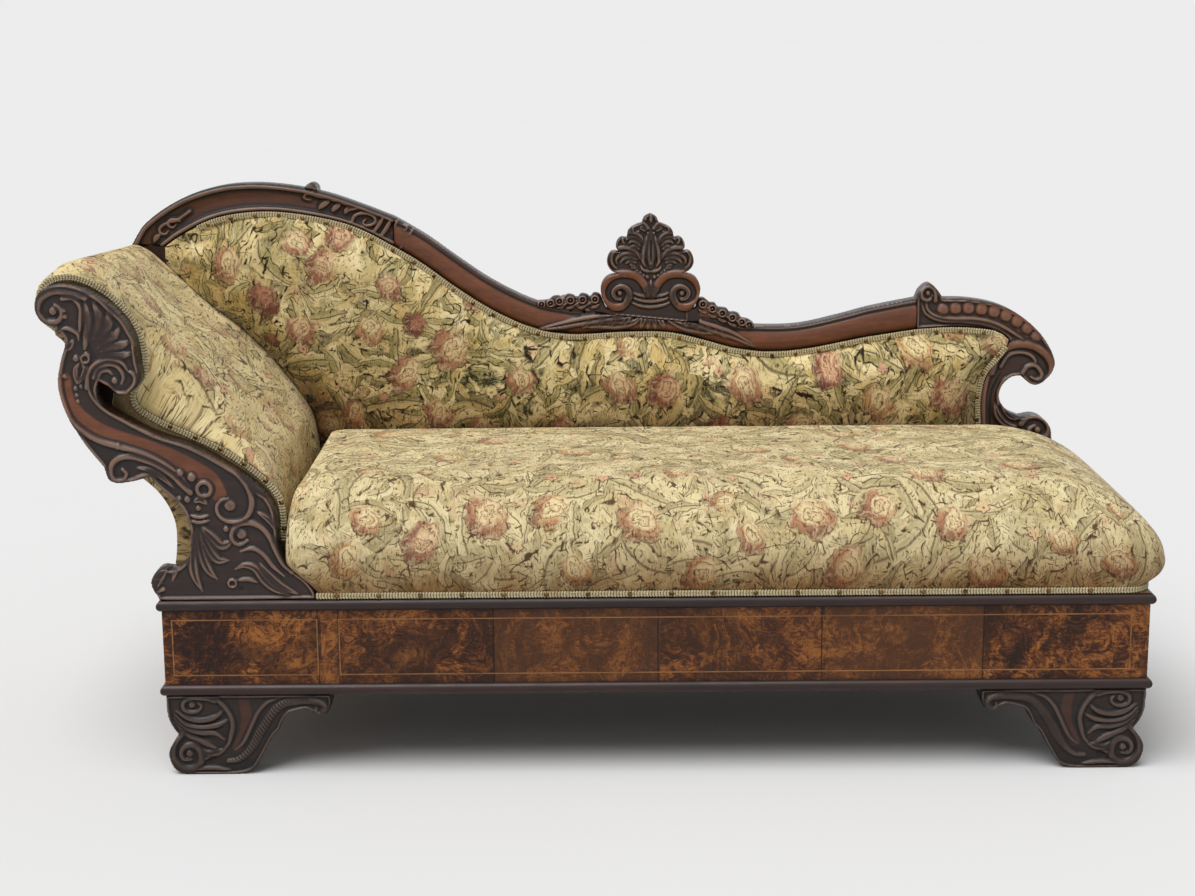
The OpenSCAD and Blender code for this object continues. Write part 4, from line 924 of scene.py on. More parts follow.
@dataclass(frozen=True)
class Tapestry(Finish):
    """The flowered covering cloth: roses, leaves and twigs on a pale ground."""

    name: str
    pale: str = "e9d8a8"
    olive: str = "cfbb88"
    leaf: str = "a99a6c"
    deep: str = "756a48"
    ink: str = "4a301c"
    leaf_share: float = 0.75
    line: float = 0.6
    marks: float = 0.4
    rose: float = 0.9
    lean: tuple[float, float, float] = (1.0, 1.0, 1.0)

    def paint(self, w: Coats) -> None:
        """Paint the cloth, layer by layer.

        Args:
            w: The material's coats.
        """
        spread = w.add("ShaderNodeUVMap", uv_map="cloth")[0]
        leafy = w.told("leafy")
        drawn = spread * self.lean
        place = drawn
        for scale, amount in ((11.0, 0.024), (80.0, 0.0035)):
            place = w.shifted(place, scale, amount, 3.0, 0.6, drawn)
        self.ground(w, place, leafy)
        self.brushed(w, place, leafy)
        self.leaves(w, place, leafy)
        self.twigs(w, place)
        self.blossoms(w, place)
        self.roses(w, spread, w.told("flower", "Vector"))
        # Darkening by multiplying with brown: painted shade in the back's crease and by the roll, and a
        # darker lower edge on the seat.
        soil_and_shade_mask = w.told("soil_and_shade") * w.noise(spread, 9.0, 4.0, 0.6, 0.6).rise(0.25, 0.6, 0.55, 1.0)
        w.over(soil_and_shade_mask * 0.88, "95692f", "MULTIPLY")
        web = w.effects.threads.use(w, Place=spread, Threads=620.0, Uneven=0.5)
        strokes = w.noise(place * (300, 75, 1), 1.0, 3.0, 0.65)
        w.over(strokes.rise(0.56, 0.66, 0.0, self.marks), self.ink)
        w.over(strokes.rise(0.45, 0.25, 0.0, 0.25), "f2e6bf")
        w.over(web["Gaps"] * 0.18, "5b4527")
        height = web["Height"] + w.noise(spread, 210.0, 3.0, 0.6) * 1.4
        w.done(web["Height"].rise(0.0, 1.0, 0.96, 0.84), (0.45, 0.0006, height),
               Specular_IOR_Level=0.15, Sheen_Weight=0.08)

    def ground(self, w: Coats, place: Reading, leafy: Reading) -> None:
        """Paint the ground: pale cream that drifts into straw, olive and a brownish pink.

        Args:
            w: The material's coats.
            place: Where on the cloth.
            leafy: How green the cloth is there.
        """
        w.start(w.noise(place, 13.0, 4.0, 0.6, 0.5).rise(0.40, 0.64), self.pale, self.olive)
        second = w.noise(place + (3.7, 1.9, 0), 24.0, 3.0, 0.6, 0.8)
        w.over(second.rise(0.48, 0.62) * (0.12 + leafy * 0.75), self.leaf)
        w.over(w.noise(place + (8.1, 5.2, 0), 15.0, 3.0, 0.6).rise(0.54, 0.70, 0.0, 0.55), "c9987a")
        dark = w.noise(place + (1.1, 6.4, 0), 17.0, 4.0, 0.65, 1.0)
        w.over(w.sum("MINIMUM", dark.rise(0.50, 0.62) * (leafy * 1.5), 1.0), self.deep)

    def brushed(self, w: Coats, place: Reading, leafy: Reading) -> None:
        """Stroke the ground with a fine brush, each patch in its own direction.

        Args:
            w: The material's coats.
            place: Where on the cloth.
            leafy: How green the cloth is there.
        """
        turn = w.parts(w.cells(place, 22.0)["Color"])[0] * (2 * math.pi)
        x, y, _ = w.parts(place)
        lx, ly = w.turned(x, y, turn)
        hair = w.noise(w.join(lx * 34.0, ly * 300.0, turn), 1.0, 3.0, 0.65, 0.3)
        w.over(hair.rise(0.46, 0.32, 0.0, 0.4), "f1e6c2")
        w.over(hair.rise(0.55, 0.70) * (0.32 + leafy * 0.5), w.mix(leafy, "8d7243", self.ink))

    def leaves(self, w: Coats, place: Reading, leafy: Reading) -> None:
        """Paint four sizes of leaves.

        Args:
            w: The material's coats.
            place: Where on the cloth.
            leafy: How green the cloth is there.
        """
        more = self.leaf_share * 0.6 + leafy * (self.leaf_share * 0.5)
        sizes = [(21.0, 0.030, 0.010, (5.3, 2.2, 0)), (7.5, 0.105, 0.027, (0.4, 7.7, 0)),
                 (10.0, 0.070, 0.017, (2.9, 4.1, 0)), (14.0, 0.046, 0.012, (7.4, 5.6, 0))]
        for pitch, length, width, off in sizes:
            leaf = w.effects.leaf.use(w, Place=place + off, Pitch=pitch, Length=length, Width=width,
                                      Share=more, Line=0.14)
            dark = w.mix(leaf["Tint"], self.leaf, self.deep)
            light = w.mix(leaf["Tint"], self.pale, self.olive)
            body = w.mix(leaf["Side"] * (0.45 + leafy * 0.6), light, dark)
            body = w.mix(leaf["Brush"].rise(0.46, 0.30, 0.0, 0.5), body, "f2e8c4")
            body = w.mix(leaf["Brush"].rise(0.53, 0.66, 0.0, 0.55), body, dark)
            w.over(leaf["Fill"] * 0.88, body)
            w.over(leaf["Line"] * self.line, self.ink)

    def twigs(self, w: Coats, place: Reading) -> None:
        """Draw thin brown twigs, broken here and there, and lines that flow along them.

        Args:
            w: The material's coats.
            place: Where on the cloth.
        """
        for scale, off, thin in ((14.0, (1.3, 0.2, 0), 0.013), (34.0, (6.1, 3.3, 0), 0.022)):
            spot = place + off
            line = abs(w.noise(spot, scale, 1.0, 0.4, 0.6) - 0.5).rise(thin, thin * 0.3)
            w.over(line * w.noise(spot, scale * 1.7, 1.0).rise(0.52, 0.62) * self.line, self.ink)
        flow = w.noise(place + (4.4, 8.2, 0), 8.0, 1.0, 0.4, 0.8)
        barbs = abs(w.sum("FRACT", flow * 26.0) - 0.5).rise(0.16, 0.03)
        w.over(barbs * w.noise(place, 46.0, 2.0, 0.6).rise(0.53, 0.62) * self.line, self.ink)

    def blossoms(self, w: Coats, place: Reading) -> None:
        """Paint small pale blossoms and dark berries.

        Args:
            w: The material's coats.
            place: Where on the cloth.
        """
        spot = place + (9.1, 0.7, 0)
        cell = w.cells(spot, 19.0)
        local = spot - cell["Position"]
        x, y, _ = w.parts(local)
        rand = w.parts(cell["Color"])
        far = w.length(local)
        edge = far + w.sum("SINE", w.sum("ARCTAN2", y, x) * 5.0) * 0.0018
        there = w.sum("LESS_THAN", rand[0], 0.55)
        w.over(edge.rise(0.0115, 0.0085) * there * 0.8, w.mix(rand[1], "ecdca2", "d0957c"))
        rim = abs(edge - 0.0100).rise(0.0016, 0.0003)
        w.over(rim * there * y.rise(0.004, -0.006), "774a35")
        w.over(far.rise(0.0038, 0.0018) * there * 0.8, "8a4a33")

    def roses(self, w: Coats, spread: Reading, flower: Reading) -> None:
        """Paint the roses, each told by how far its middle is.

        Args:
            w: The material's coats.
            spread: Where on the cloth.
            flower: The way from the rose's middle, in its own radius, and its warmth.
        """
        fx, fy, kind = w.parts(flower)
        x, y, _ = w.parts(w.shifted(w.join(fx, fy), 60.0, 0.66, of=spread))
        far = w.length(w.join(x, y))
        turn = w.sum("ARCTAN2", y, x)
        edge = far + w.sum("SINE", turn * 5.0 + kind * 9.0) * 0.07
        ring = w.sum("FRACT", (far + w.sum("SINE", turn * 2.0 + kind * 17.0) * 0.10) * 3.4)
        outer = w.ramp(kind, [(0.0, "d2b274"), (0.3, "c4936d"), (0.58, "aa7059"), (0.8, "85483d"),
                              (1.0, "55272b")])
        heart = w.ramp(kind, [(0.0, "ecdda8"), (0.5, "ead2a0"), (0.8, "d9a883"), (1.0, "a5604f")])
        side = x * -0.6 + y * -0.8
        body = w.mix((far + side * 0.35).rise(0.34, 0.72), heart, outer)
        body = w.mix(ring.rise(0.25, 1.0, 0.0, 0.45), body, w.mix(kind, "c08a62", "7a3a32"))
        body = w.mix(side.rise(0.22, 0.80) * 0.78, body, w.mix(kind, "84523a", "552724"))
        body = w.mix(abs(ring - 0.5).rise(0.36, 0.49) * 0.8, body, "5f3123")
        dots = w.cells(spread, 170.0)["Distance"].rise(0.34, 0.16) * far.rise(0.36, 0.22)
        body = w.mix(dots * 0.85, body, "7b3d2e")
        spokes = w.noise(w.join(turn * 4.0, far * 2.2, kind), 1.0, 3.0, 0.6)
        body = w.mix(spokes.rise(0.46, 0.32, 0.0, 0.45), body, "f0dcb2")
        body = w.mix(spokes.rise(0.54, 0.70, 0.0, 0.4), body, "8d5843")
        w.over((edge + side.rise(0.1, -0.7, 0.0, 0.16)).rise(1.06, 0.74) * self.rose, body)
        rim = abs(edge - 0.95).rise(0.07, 0.02) * w.noise(spread, 80.0).rise(0.38, 0.56)
        w.over(rim * side.rise(-0.5, 0.3, 0.25, 1.0) * (0.85 * self.rose), "4f2d1d")


@dataclass(frozen=True)
class FloorPaint(Finish):
    """The plain pale floor."""

    name: str = "pale_floor"
    shade: float = 0.742

    def paint(self, w: Coats) -> None:
        """Paint the floor, hardly clouded."""
        level = w.noise(w.place(), 1.2).rise(0.2, 0.8, self.shade - 0.003, self.shade + 0.003)
        w.colour = w.add("ShaderNodeCombineColor", {0: level, 1: level, 2: level})[0]
        w.done(0.95, None, Specular_IOR_Level=0.0)


# Meshes


def new_piece(name: str, points: np.ndarray, faces: list, smooth: bool = True) -> bpy.types.Object:
    """Make a piece from places of the couch.

    Args:
        name: The piece's name.
        points: Its points, told from the apron's middle.
        faces: Its faces.
        smooth: Whether its faces shade smoothly.

    Returns:
        The object, already in the scene.
    """
    mesh = bpy.data.meshes.new(name)
    mesh.from_pydata((np.asarray(points) + ORIGIN).tolist(), [], faces)
    mesh.update()
    if smooth:
        mesh.shade_smooth()
    made = bpy.data.objects.new(name, mesh)
    bpy.context.scene.collection.objects.link(made)
    return made


def settle(piece: bpy.types.Object, slot: str, *nodes: str) -> bpy.types.Object:
    """Let a piece ride and stand for its CAD nodes.

    Args:
        piece: The piece.
        slot: Its slot in the record; not used.
        nodes: The nodes that it replaces.

    Returns:
        The piece.
    """
    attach(piece, BODY)
    if nodes:
        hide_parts(*nodes)
    LOG.info("%s: %d faces", piece.name, len(piece.data.polygons))
    return piece


def float_layer(mesh: bpy.types.Mesh, name: str, values: np.ndarray) -> None:
    """Write one number for each point of a mesh."""
    layer = mesh.attributes.new(name, "FLOAT", "POINT")
    layer.data.foreach_set("value", np.asarray(values, dtype=np.float32))


def vector_layer(mesh: bpy.types.Mesh, name: str, values: np.ndarray, domain: str = "POINT") -> None:
    """Write three numbers for each point or corner of a mesh."""
    layer = mesh.attributes.new(name, "FLOAT_VECTOR", domain)
    layer.data.foreach_set("vector", np.asarray(values, dtype=np.float32).ravel())


def cloth_layer(mesh: bpy.types.Mesh, spread: np.ndarray) -> None:
    """Write each point's place on the flat cloth."""
    layer = mesh.uv_layers.new(name="cloth")
    corners = read(mesh.loops, "vertex_index", kind=np.int32)
    layer.data.foreach_set("uv", spread[corners].astype(np.float32).ravel())


def read(items: bpy.types.bpy_prop_collection, name: str, width: int = 1, kind: type = float) -> np.ndarray:
    """Read one property of a mesh's points, corners or faces.

    Args:
        items: The collection.
        name: The property.
        width: How many numbers it has.
        kind: What they are.

    Returns:
        The values, in rows where there is more than one number.
    """
    values = np.empty(len(items) * width, dtype=kind)
    items.foreach_get(name, values)
    return values.reshape(-1, width) if width > 1 else values


@contextmanager
def editing(mesh: bpy.types.Mesh) -> Iterator[bmesh.types.BMesh]:
    """Open a mesh for editing, and write it back."""
    shape = bmesh.new()
    shape.from_mesh(mesh)
    yield shape
    shape.to_mesh(mesh)
    shape.free()


def keep_modified(piece: bpy.types.Object, kind: str, keys: dict | None = None, **settings: object) -> None:
    """Run a modifier and keep the mesh that it gives.

    Args:
        piece: The piece.
        kind: The modifier's type.
        keys: Its inputs by identifier.
        settings: Its own properties.
    """
    modifier = piece.modifiers.new(kind, kind)
    for name, value in settings.items():
        setattr(modifier, name, value)
    for key, value in (keys or {}).items():
        modifier[key] = value
    evaluated = piece.evaluated_get(bpy.context.evaluated_depsgraph_get())
    mesh = bpy.data.meshes.new_from_object(evaluated)
    piece.modifiers.remove(modifier)
    piece.data = mesh


def box_of(node: str) -> list[np.ndarray]:
    """Give the two corners of a node's box, told from the apron's middle."""
    return [np.array(corner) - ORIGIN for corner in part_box(node)]


def upright(line: np.ndarray, y: float) -> np.ndarray:
    """Put a flat line on an upright plane."""
    return np.stack([line[:, 0], np.full(len(line), y), line[:, 1]], axis=1)


def grid_of(across: np.ndarray, down: np.ndarray) -> np.ndarray:
    """Give the places on flat cloth of rows and columns."""
    return np.stack(np.broadcast_arrays(across[None, :], down[:, None]), axis=-1)


def merged_points(node: str) -> tuple[np.ndarray, np.ndarray]:
    """Copy a CAD node's mesh with its loose corners merged.

    Args:
        node: The node's name.

    Returns:
        Its points, told from the apron's middle, and its triangles.
    """
    made = bmesh.new()
    made.from_mesh(bpy.data.objects[node].data)
    bmesh.ops.remove_doubles(made, verts=made.verts, dist=1e-5)
    bmesh.ops.triangulate(made, faces=made.faces)
    made.verts.index_update()
    points = np.array([v.co[:] for v in made.verts]) - ORIGIN
    faces = np.array([[v.index for v in f.verts] for f in made.faces])
    made.free()
    return points, faces


def face_outline(node: str, rear: bool = False) -> np.ndarray:
    """Follow the edge of a node's front or rear face.

    Args:
        node: The node's name.
        rear: Whether the rear face is meant.

    Returns:
        The longest closed line of x and z.
    """
    points, faces = merged_points(node)
    level = points[:, 1].max() if rear else points[:, 1].min()
    flat = faces[np.all(np.abs(points[faces][:, :, 1] - level) < 2e-5, axis=1)]
    edges: dict[int, list[int]] = {}
    seen = {(int(a), int(b)) for f in flat for a, b in ((f[0], f[1]), (f[1], f[2]), (f[2], f[0]))}
    for a, b in seen:
        if (b, a) not in seen:
            edges.setdefault(a, []).append(b)
    loops = []
    while edges:
        start = next(iter(edges))
        loop = [start]
        while loop[-1] in edges:
            nexts = edges[loop[-1]]
            step = nexts.pop()
            if not nexts:
                del edges[loop[-1]]
            if step == start:
                break
            loop.append(step)
        loops.append(loop)
    longest = max(loops, key=lambda ring: float(arc(points[ring][:, [0, 2]])[-1]))
    return points[longest][:, [0, 2]]


class Cut(Enum):
    """What a carver's stroke does."""

    RIDGE = "a round ridge"
    LEAF = "a lens-shaped leaf with a vein"
    GROOVE = "a groove"
    DOME = "a ball"
    RING = "a ring"
    SWIRL = "a ridge that winds in"
    ROPE = "oblique ribs across a band"
    HOLLOW = "a hollow"
    WARM = "a smooth reddish place"


RIDGE_ENDS = {Cut.RIDGE: (0.35, 0.35), Cut.LEAF: (0.2, 0.2), Cut.SWIRL: (1.0, 0.45)}
"""Shares of a ridge's width at its two ends."""
ROPE_PITCH = 6 * MM


@dataclass
class Relief:
    """A carved face over a node's own outline, with its sides and back."""

    outline: np.ndarray
    front: float
    back: float
    cell: float = 1.5 * MM
    ground: float = 6 * MM
    edge_round: float = 4 * MM
    height: np.ndarray = field(init=False)
    warm: np.ndarray = field(init=False)

    def __post_init__(self) -> None:
        """Lay the grid and find what lies inside the outline."""
        low, high = self.outline.min(axis=0) - self.cell, self.outline.max(axis=0) + self.cell
        self.low = low
        counts = np.ceil((high - low) / self.cell).astype(int) + 1
        self.x, self.z = np.meshgrid(
            low[0] + self.cell * np.arange(counts[0]), low[1] + self.cell * np.arange(counts[1]),
            indexing="ij")
        ring = np.vstack([self.outline, self.outline[:1]])
        self.inside = self.holds(self.x, self.z)
        reach = 14 * MM
        (_, _), far, _, foot = self.near(ring, reach, whole=True)
        self.edge, self.foot = np.minimum(far, reach), foot
        self.height = np.full(self.x.shape, -self.ground)
        self.warm = np.zeros(self.x.shape)

    def holds(self, x: np.ndarray, z: np.ndarray) -> np.ndarray:
        """Tell which places lie inside the outline."""
        inside = np.zeros(x.shape, dtype=bool)
        a, b = self.outline, np.roll(self.outline, -1, axis=0)
        for (ax, az), (bx, bz) in zip(a, b):
            if az == bz:
                continue
            cross = (z < max(az, bz)) & (z >= min(az, bz))
            inside ^= cross & (x < ax + (z - az) / (bz - az) * (bx - ax))
        return inside

    def near(self, line: np.ndarray, reach: float, whole: bool = False) -> tuple:
        """Measure how far the grid's places are from a line.

        Args:
            line: The line.
            reach: How far to look.
            whole: Whether the whole grid is wanted.

        Returns:
            The window's slices, the distances, the shares along the line, and the nearest places.
        """
        def span(lo: float, hi: float, axis: int) -> tuple[int, int]:
            """Give the rows of the grid between two places."""
            first = int((lo - self.low[axis]) / self.cell)
            last = int((hi - self.low[axis]) / self.cell) + 2
            count = self.x.shape[axis]
            return max(0, min(first, count)), max(0, min(last, count))

        if whole:
            i0, i1, j0, j1 = 0, self.x.shape[0], 0, self.x.shape[1]
        else:
            i0, i1 = span(line[:, 0].min() - reach, line[:, 0].max() + reach, 0)
            j0, j1 = span(line[:, 1].min() - reach, line[:, 1].max() + reach, 1)
        best = np.full((i1 - i0, j1 - j0), np.inf)
        share = np.zeros_like(best)
        foot = np.zeros((*best.shape, 2))
        run = arc(line)
        total = max(run[-1], 1e-9)
        for k in range(len(line) - 1):
            a, b = line[k], line[k + 1]
            long = float(np.linalg.norm(b - a))
            if long < 1e-9:
                continue
            p0, p1 = span(min(a[0], b[0]) - reach, max(a[0], b[0]) + reach, 0)
            q0, q1 = span(min(a[1], b[1]) - reach, max(a[1], b[1]) + reach, 1)
            if p1 <= p0 or q1 <= q0:
                continue
            gx, gz = self.x[p0:p1, q0:q1], self.z[p0:p1, q0:q1]
            t = ((gx - a[0]) * (b[0] - a[0]) + (gz - a[1]) * (b[1] - a[1])) / long**2
            t = np.clip(t, 0, 1)
            fx, fz = a[0] + t * (b[0] - a[0]), a[1] + t * (b[1] - a[1])
            far = np.hypot(gx - fx, gz - fz)
            box = (slice(p0 - i0, p1 - i0), slice(q0 - j0, q1 - j0))
            less = far < best[box]
            best[box] = np.where(less, far, best[box])
            share[box] = np.where(less, (run[k] + t * long) / total, share[box])
            foot[box] = np.where(less[..., None], np.stack([fx, fz], axis=-1), foot[box])
        return (slice(i0, i1), slice(j0, j1)), best, share, foot

    def ridge(self, line: np.ndarray, width: float, height: float, ends: tuple[float, float],
              leaf: bool = False) -> None:
        """Raise a ridge along a line.

        Args:
            line: The line.
            width: Its full width.
            height: Its height over the ground.
            ends: Shares of the width at both ends.
            leaf: Whether it swells in its middle and has a vein.
        """
        box, far, share, _ = self.near(line, width / 2)
        if leaf:
            half = width / 2 * np.maximum(np.sin(math.pi * np.clip(share, 0.02, 0.98)) ** 0.7, 0.05)
        else:
            half = width / 2 * np.interp(share, [0, 0.25, 0.75, 1], [ends[0], 1, 1, ends[1]])
        out = np.clip(1 - (far / half) ** 2, 0, 1)
        top = height * np.sqrt(out)
        if leaf:
            top = top - 0.45 * height * np.exp(-((far / (0.16 * half)) ** 2))
        low = height * (0.35 + 0.65 * np.interp(share, [0, 0.15, 0.85, 1], [ends[0], 1, 1, ends[1]]))
        self.raise_to(box, out, np.minimum(top, low))

    def raise_to(self, box: tuple, out: np.ndarray, height: np.ndarray) -> None:
        """Let a form stand out of the ground where out is above zero, and darken the wood there."""
        raised = np.where(out > 0, height - self.ground, -np.inf)
        self.warm[box] = np.where(raised > self.height[box], self.warm[box] * 0.25, self.warm[box])
        self.height[box] = np.maximum(self.height[box], raised)

    def groove(self, line: np.ndarray, width: float, depth: float) -> None:
        """Cut a groove along a line."""
        box, far, share, _ = self.near(line, width / 2)
        half = width / 2 * np.interp(share, [0, 0.2, 0.8, 1], [0.4, 1, 1, 0.4])
        out = np.clip(1 - (far / half) ** 2, 0, 1)
        self.height[box] -= depth * out**1.5

    def dome(self, at: np.ndarray, radius: float, height: float) -> None:
        """Raise a ball."""
        box, far, _, _ = self.near(np.array([at, at + [1e-5, 0]]), radius)
        out = np.clip(1 - (far / radius) ** 2, 0, 1)
        self.raise_to(box, out, height * np.sqrt(out))

    def hollow(self, at: np.ndarray, radius: float, depth: float) -> None:
        """Sink a round hollow."""
        box, far, _, _ = self.near(np.array([at, at + [1e-5, 0]]), radius)
        self.height[box] -= depth * np.clip(1 - (far / radius) ** 2, 0, 1)

    def rope(self, line: np.ndarray, width: float, height: float, pitch: float) -> None:
        """Raise a band with oblique ribs across it.

        Args:
            line: Its middle.
            width: Its width.
            height: Its height.
            pitch: Spacing of the ribs.
        """
        box, far, share, foot = self.near(line, width / 2)
        half = width / 2 * np.interp(share, [0, 0.3, 1], [0.5, 1, 0.7])
        out = np.clip(1 - (far / half) ** 2, 0, 1)
        side = (self.x[box] - foot[..., 0]) + (self.z[box] - foot[..., 1])
        run = share * arc(line)[-1] + side * 1.3
        ribs = 0.5 + 0.5 * np.cos(2 * math.pi * run / pitch)
        self.raise_to(box, out, height * np.sqrt(out) * (0.62 + 0.38 * ribs))

    def redden(self, line: np.ndarray, width: float) -> None:
        """Mark a smooth reddish place along a line."""
        box, far, _, _ = self.near(line, width / 2)
        mark = eased(width / 2 - far, 0, width * 0.12)
        self.warm[box] = np.maximum(self.warm[box], np.where(np.isfinite(far), mark, 0))

    def swell(self, amount: float, reach: float) -> None:
        """Let the whole ground rise away from the outline."""
        self.height += amount * np.sqrt(np.clip(1 - (1 - np.minimum(self.edge, reach) / reach) ** 2, 0, 1))

    def moulded(self, top: np.ndarray, under: np.ndarray, base: list[Point], beads: list[Point]) -> None:
        """Give a band its section between two lines.

        Args:
            top: The upper line.
            under: The lower line.
            base: Shares of the way up, heights in millimetres, and how reddish it is.
            beads: For each bead its middle, half its width, and its height in millimetres.
        """
        _, high, _, _ = self.near(top, 90 * MM, whole=True)
        _, low, _, _ = self.near(under, 90 * MM, whole=True)
        high, low = np.minimum(high, 1.0), np.minimum(low, 1.0)
        share = low / np.maximum(low + high, 1e-9)
        shares = [p[0] for p in base]
        self.height = np.interp(share, shares, [p[1] * MM for p in base])
        self.warm = np.interp(share, shares, [p[2] for p in base])
        for middle, half, tall in beads:
            out = np.clip(1 - ((share - middle) / half) ** 2, 0, 1)
            raised = -self.ground + tall * MM * np.sqrt(out)
            self.height = np.maximum(self.height, np.where(out > 0, raised, -np.inf))

    def carve(self, strokes: list[tuple], at: "Carver") -> None:
        """Make a table of strokes.

        Args:
            strokes: Rows of a cut, a width and a height in millimetres, and pixels.
            at: The carver, who knows where a pixel lies.
        """
        for cut, width, height, points in strokes:
            spots = at.places(points)
            line = curve([tuple(p) for p in spots], 5) if len(spots) > 1 else spots
            wide, tall = (width + FULLER.get(cut, 0.0)) * MM, height * MM
            if cut in RIDGE_ENDS:
                self.ridge(line, wide, tall, RIDGE_ENDS[cut], leaf=cut is Cut.LEAF)
            elif cut is Cut.GROOVE:
                self.groove(line, wide, tall)
            elif cut is Cut.DOME:
                self.dome(spots[0], wide / 2, tall)
            elif cut is Cut.HOLLOW:
                self.hollow(spots[0], wide / 2, tall)
            elif cut is Cut.RING:
                turn = np.linspace(0, 2 * math.pi, 25)
                ring = spots[0] + wide / 2 * np.stack([np.cos(turn), np.sin(turn)], axis=1)
                self.ridge(ring, wide * 0.42, tall, (1, 1))
            elif cut is Cut.ROPE:
                self.rope(line, wide, tall, ROPE_PITCH)
            elif cut is Cut.WARM:
                self.redden(line, wide)

    def blurred(self, values: np.ndarray, radius: int) -> np.ndarray:
        """Average values over a square that stays inside the outline."""
        def box_sum(field_values: np.ndarray) -> np.ndarray:
            """Add up each place's square."""
            total = field_values
            for axis in (0, 1):
                pad = [(0, 0), (0, 0)]
                pad[axis] = (radius + 1, radius)
                run = np.cumsum(np.pad(total, pad), axis=axis)
                n = total.shape[axis]
                total = np.take(run, range(2 * radius + 1, 2 * radius + 1 + n), axis=axis) \
                    - np.take(run, range(0, n), axis=axis)
            return total

        mask = self.inside.astype(float)
        return box_sum(values * mask) / np.maximum(box_sum(mask), 1)

    def skin(self) -> tuple[np.ndarray, np.ndarray]:
        """Clip the grid to the outline.

        Returns:
            The points and the quads of the face, which look to the front.
        """
        drop = self.edge_round * (1 - np.sqrt(np.clip(
            1 - (1 - np.minimum(self.edge, self.edge_round) / self.edge_round) ** 2, 0, 1)))
        height = self.height - (drop if self.ground > 0 else 0)
        x, z = self.x.copy(), self.z.copy()
        keep_point = self.inside | (self.edge < 0.75 * self.cell)
        keep = keep_point[:-1, :-1] & keep_point[1:, :-1] & keep_point[1:, 1:] & keep_point[:-1, 1:]
        snap = (~self.inside) | (self.edge < 0.3 * self.cell)
        x[snap], z[snap] = self.foot[..., 0][snap], self.foot[..., 1][snap]
        index = np.arange(x.size).reshape(x.shape)
        quads = np.stack([index[:-1, :-1], index[1:, :-1], index[1:, 1:], index[:-1, 1:]], axis=-1)[keep]
        self.used = np.unique(quads)
        remap = np.full(x.size, -1)
        remap[self.used] = np.arange(len(self.used))
        points = np.stack([x.ravel(), self.front - height.ravel(), z.ravel()], axis=1)[self.used]
        return points, remap[quads]

    def mesh(self, name: str) -> bpy.types.Object:
        """Turn the grid into a closed piece.

        Args:
            name: The piece's name.

        Returns:
            The piece.
        """
        self.height = self.blurred(self.height, 1) * 0.6 + self.height * 0.4
        # Lift is the height over the surroundings; the carved finish paints shade where it is low and
        # highlights where it is high.
        lift = 0.5 + (self.height - self.blurred(self.height, 4)) / (3.2 * MM)
        points, quads = self.skin()
        sides = {}
        for a, b in quads[:, [0, 1, 1, 2, 2, 3, 3, 0]].reshape(-1, 2).tolist():
            if (b, a) in sides:
                del sides[(b, a)]
            else:
                sides[(a, b)] = True
        rim = sorted({p for pair in sides for p in pair})
        rows = []
        for y in ((self.front + 2 * self.back) / 3, self.back):
            row = points[rim].copy()
            row[:, 1] = y
            rows.append(row)
        first = {p: len(points) + k for k, p in enumerate(rim)}
        second = {p: len(points) + len(rim) + k for k, p in enumerate(rim)}
        faces = quads.tolist()
        for a, b in sides:
            faces.append([b, a, first[a], first[b]])
            faces.append([first[b], first[a], second[a], second[b]])
        made = new_piece(name, np.vstack([points, *rows]), faces)
        count = 2 * len(rim)
        float_layer(made.data, "lift", np.concatenate([
            np.clip(lift.ravel()[self.used], 0, 1), np.full(count, 0.45)]))
        float_layer(made.data, "warm", np.concatenate([self.warm.ravel()[self.used], np.zeros(count)]))
        self.cap(made)
        return made

    @staticmethod
    def cap(made: bpy.types.Object) -> None:
        """Close the back of a carved piece and mark its sharp edges."""
        with editing(made.data) as shape:
            open_edges = [e for e in shape.edges if e.is_boundary]
            bmesh.ops.triangle_fill(shape, use_beauty=True, use_dissolve=False, edges=open_edges)
            bmesh.ops.dissolve_degenerate(shape, dist=1e-6, edges=shape.edges)
            bmesh.ops.recalc_face_normals(shape, faces=shape.faces)
        made.data.shade_smooth()
        made.data.set_sharp_from_angle(angle=math.radians(48))


@dataclass(frozen=True)
class Carver:
    """Knows on which plane a piece's strokes lie, and whether they are mirrored."""

    plane: float
    close: CloseUp | None = None
    mirror: bool = False

    def places(self, points: list[Point]) -> np.ndarray:
        """Give x and z for pixels.

        Args:
            points: The pixels.

        Returns:
            The places.
        """
        pixels = self.close.photo(points) if self.close else points
        spots = np.array([VIEW.on_plane(p[0], p[1], self.plane) for p in pixels])
        if self.mirror:
            spots[:, 0] *= -1
        return spots


# What the chisel did, in the photograph's pixels: cut, width and height in millimetres, line

RIDGE, LEAF, GROOVE, DOME, RING, SWIRL, ROPE, HOLLOW, WARM = Cut
FULLER = {RIDGE: 3.5, SWIRL: 3.2, LEAF: 4.5, DOME: 1.5, RING: 1.0, ROPE: 2.0}
"""By how many millimetres each cut is fuller than its row says."""

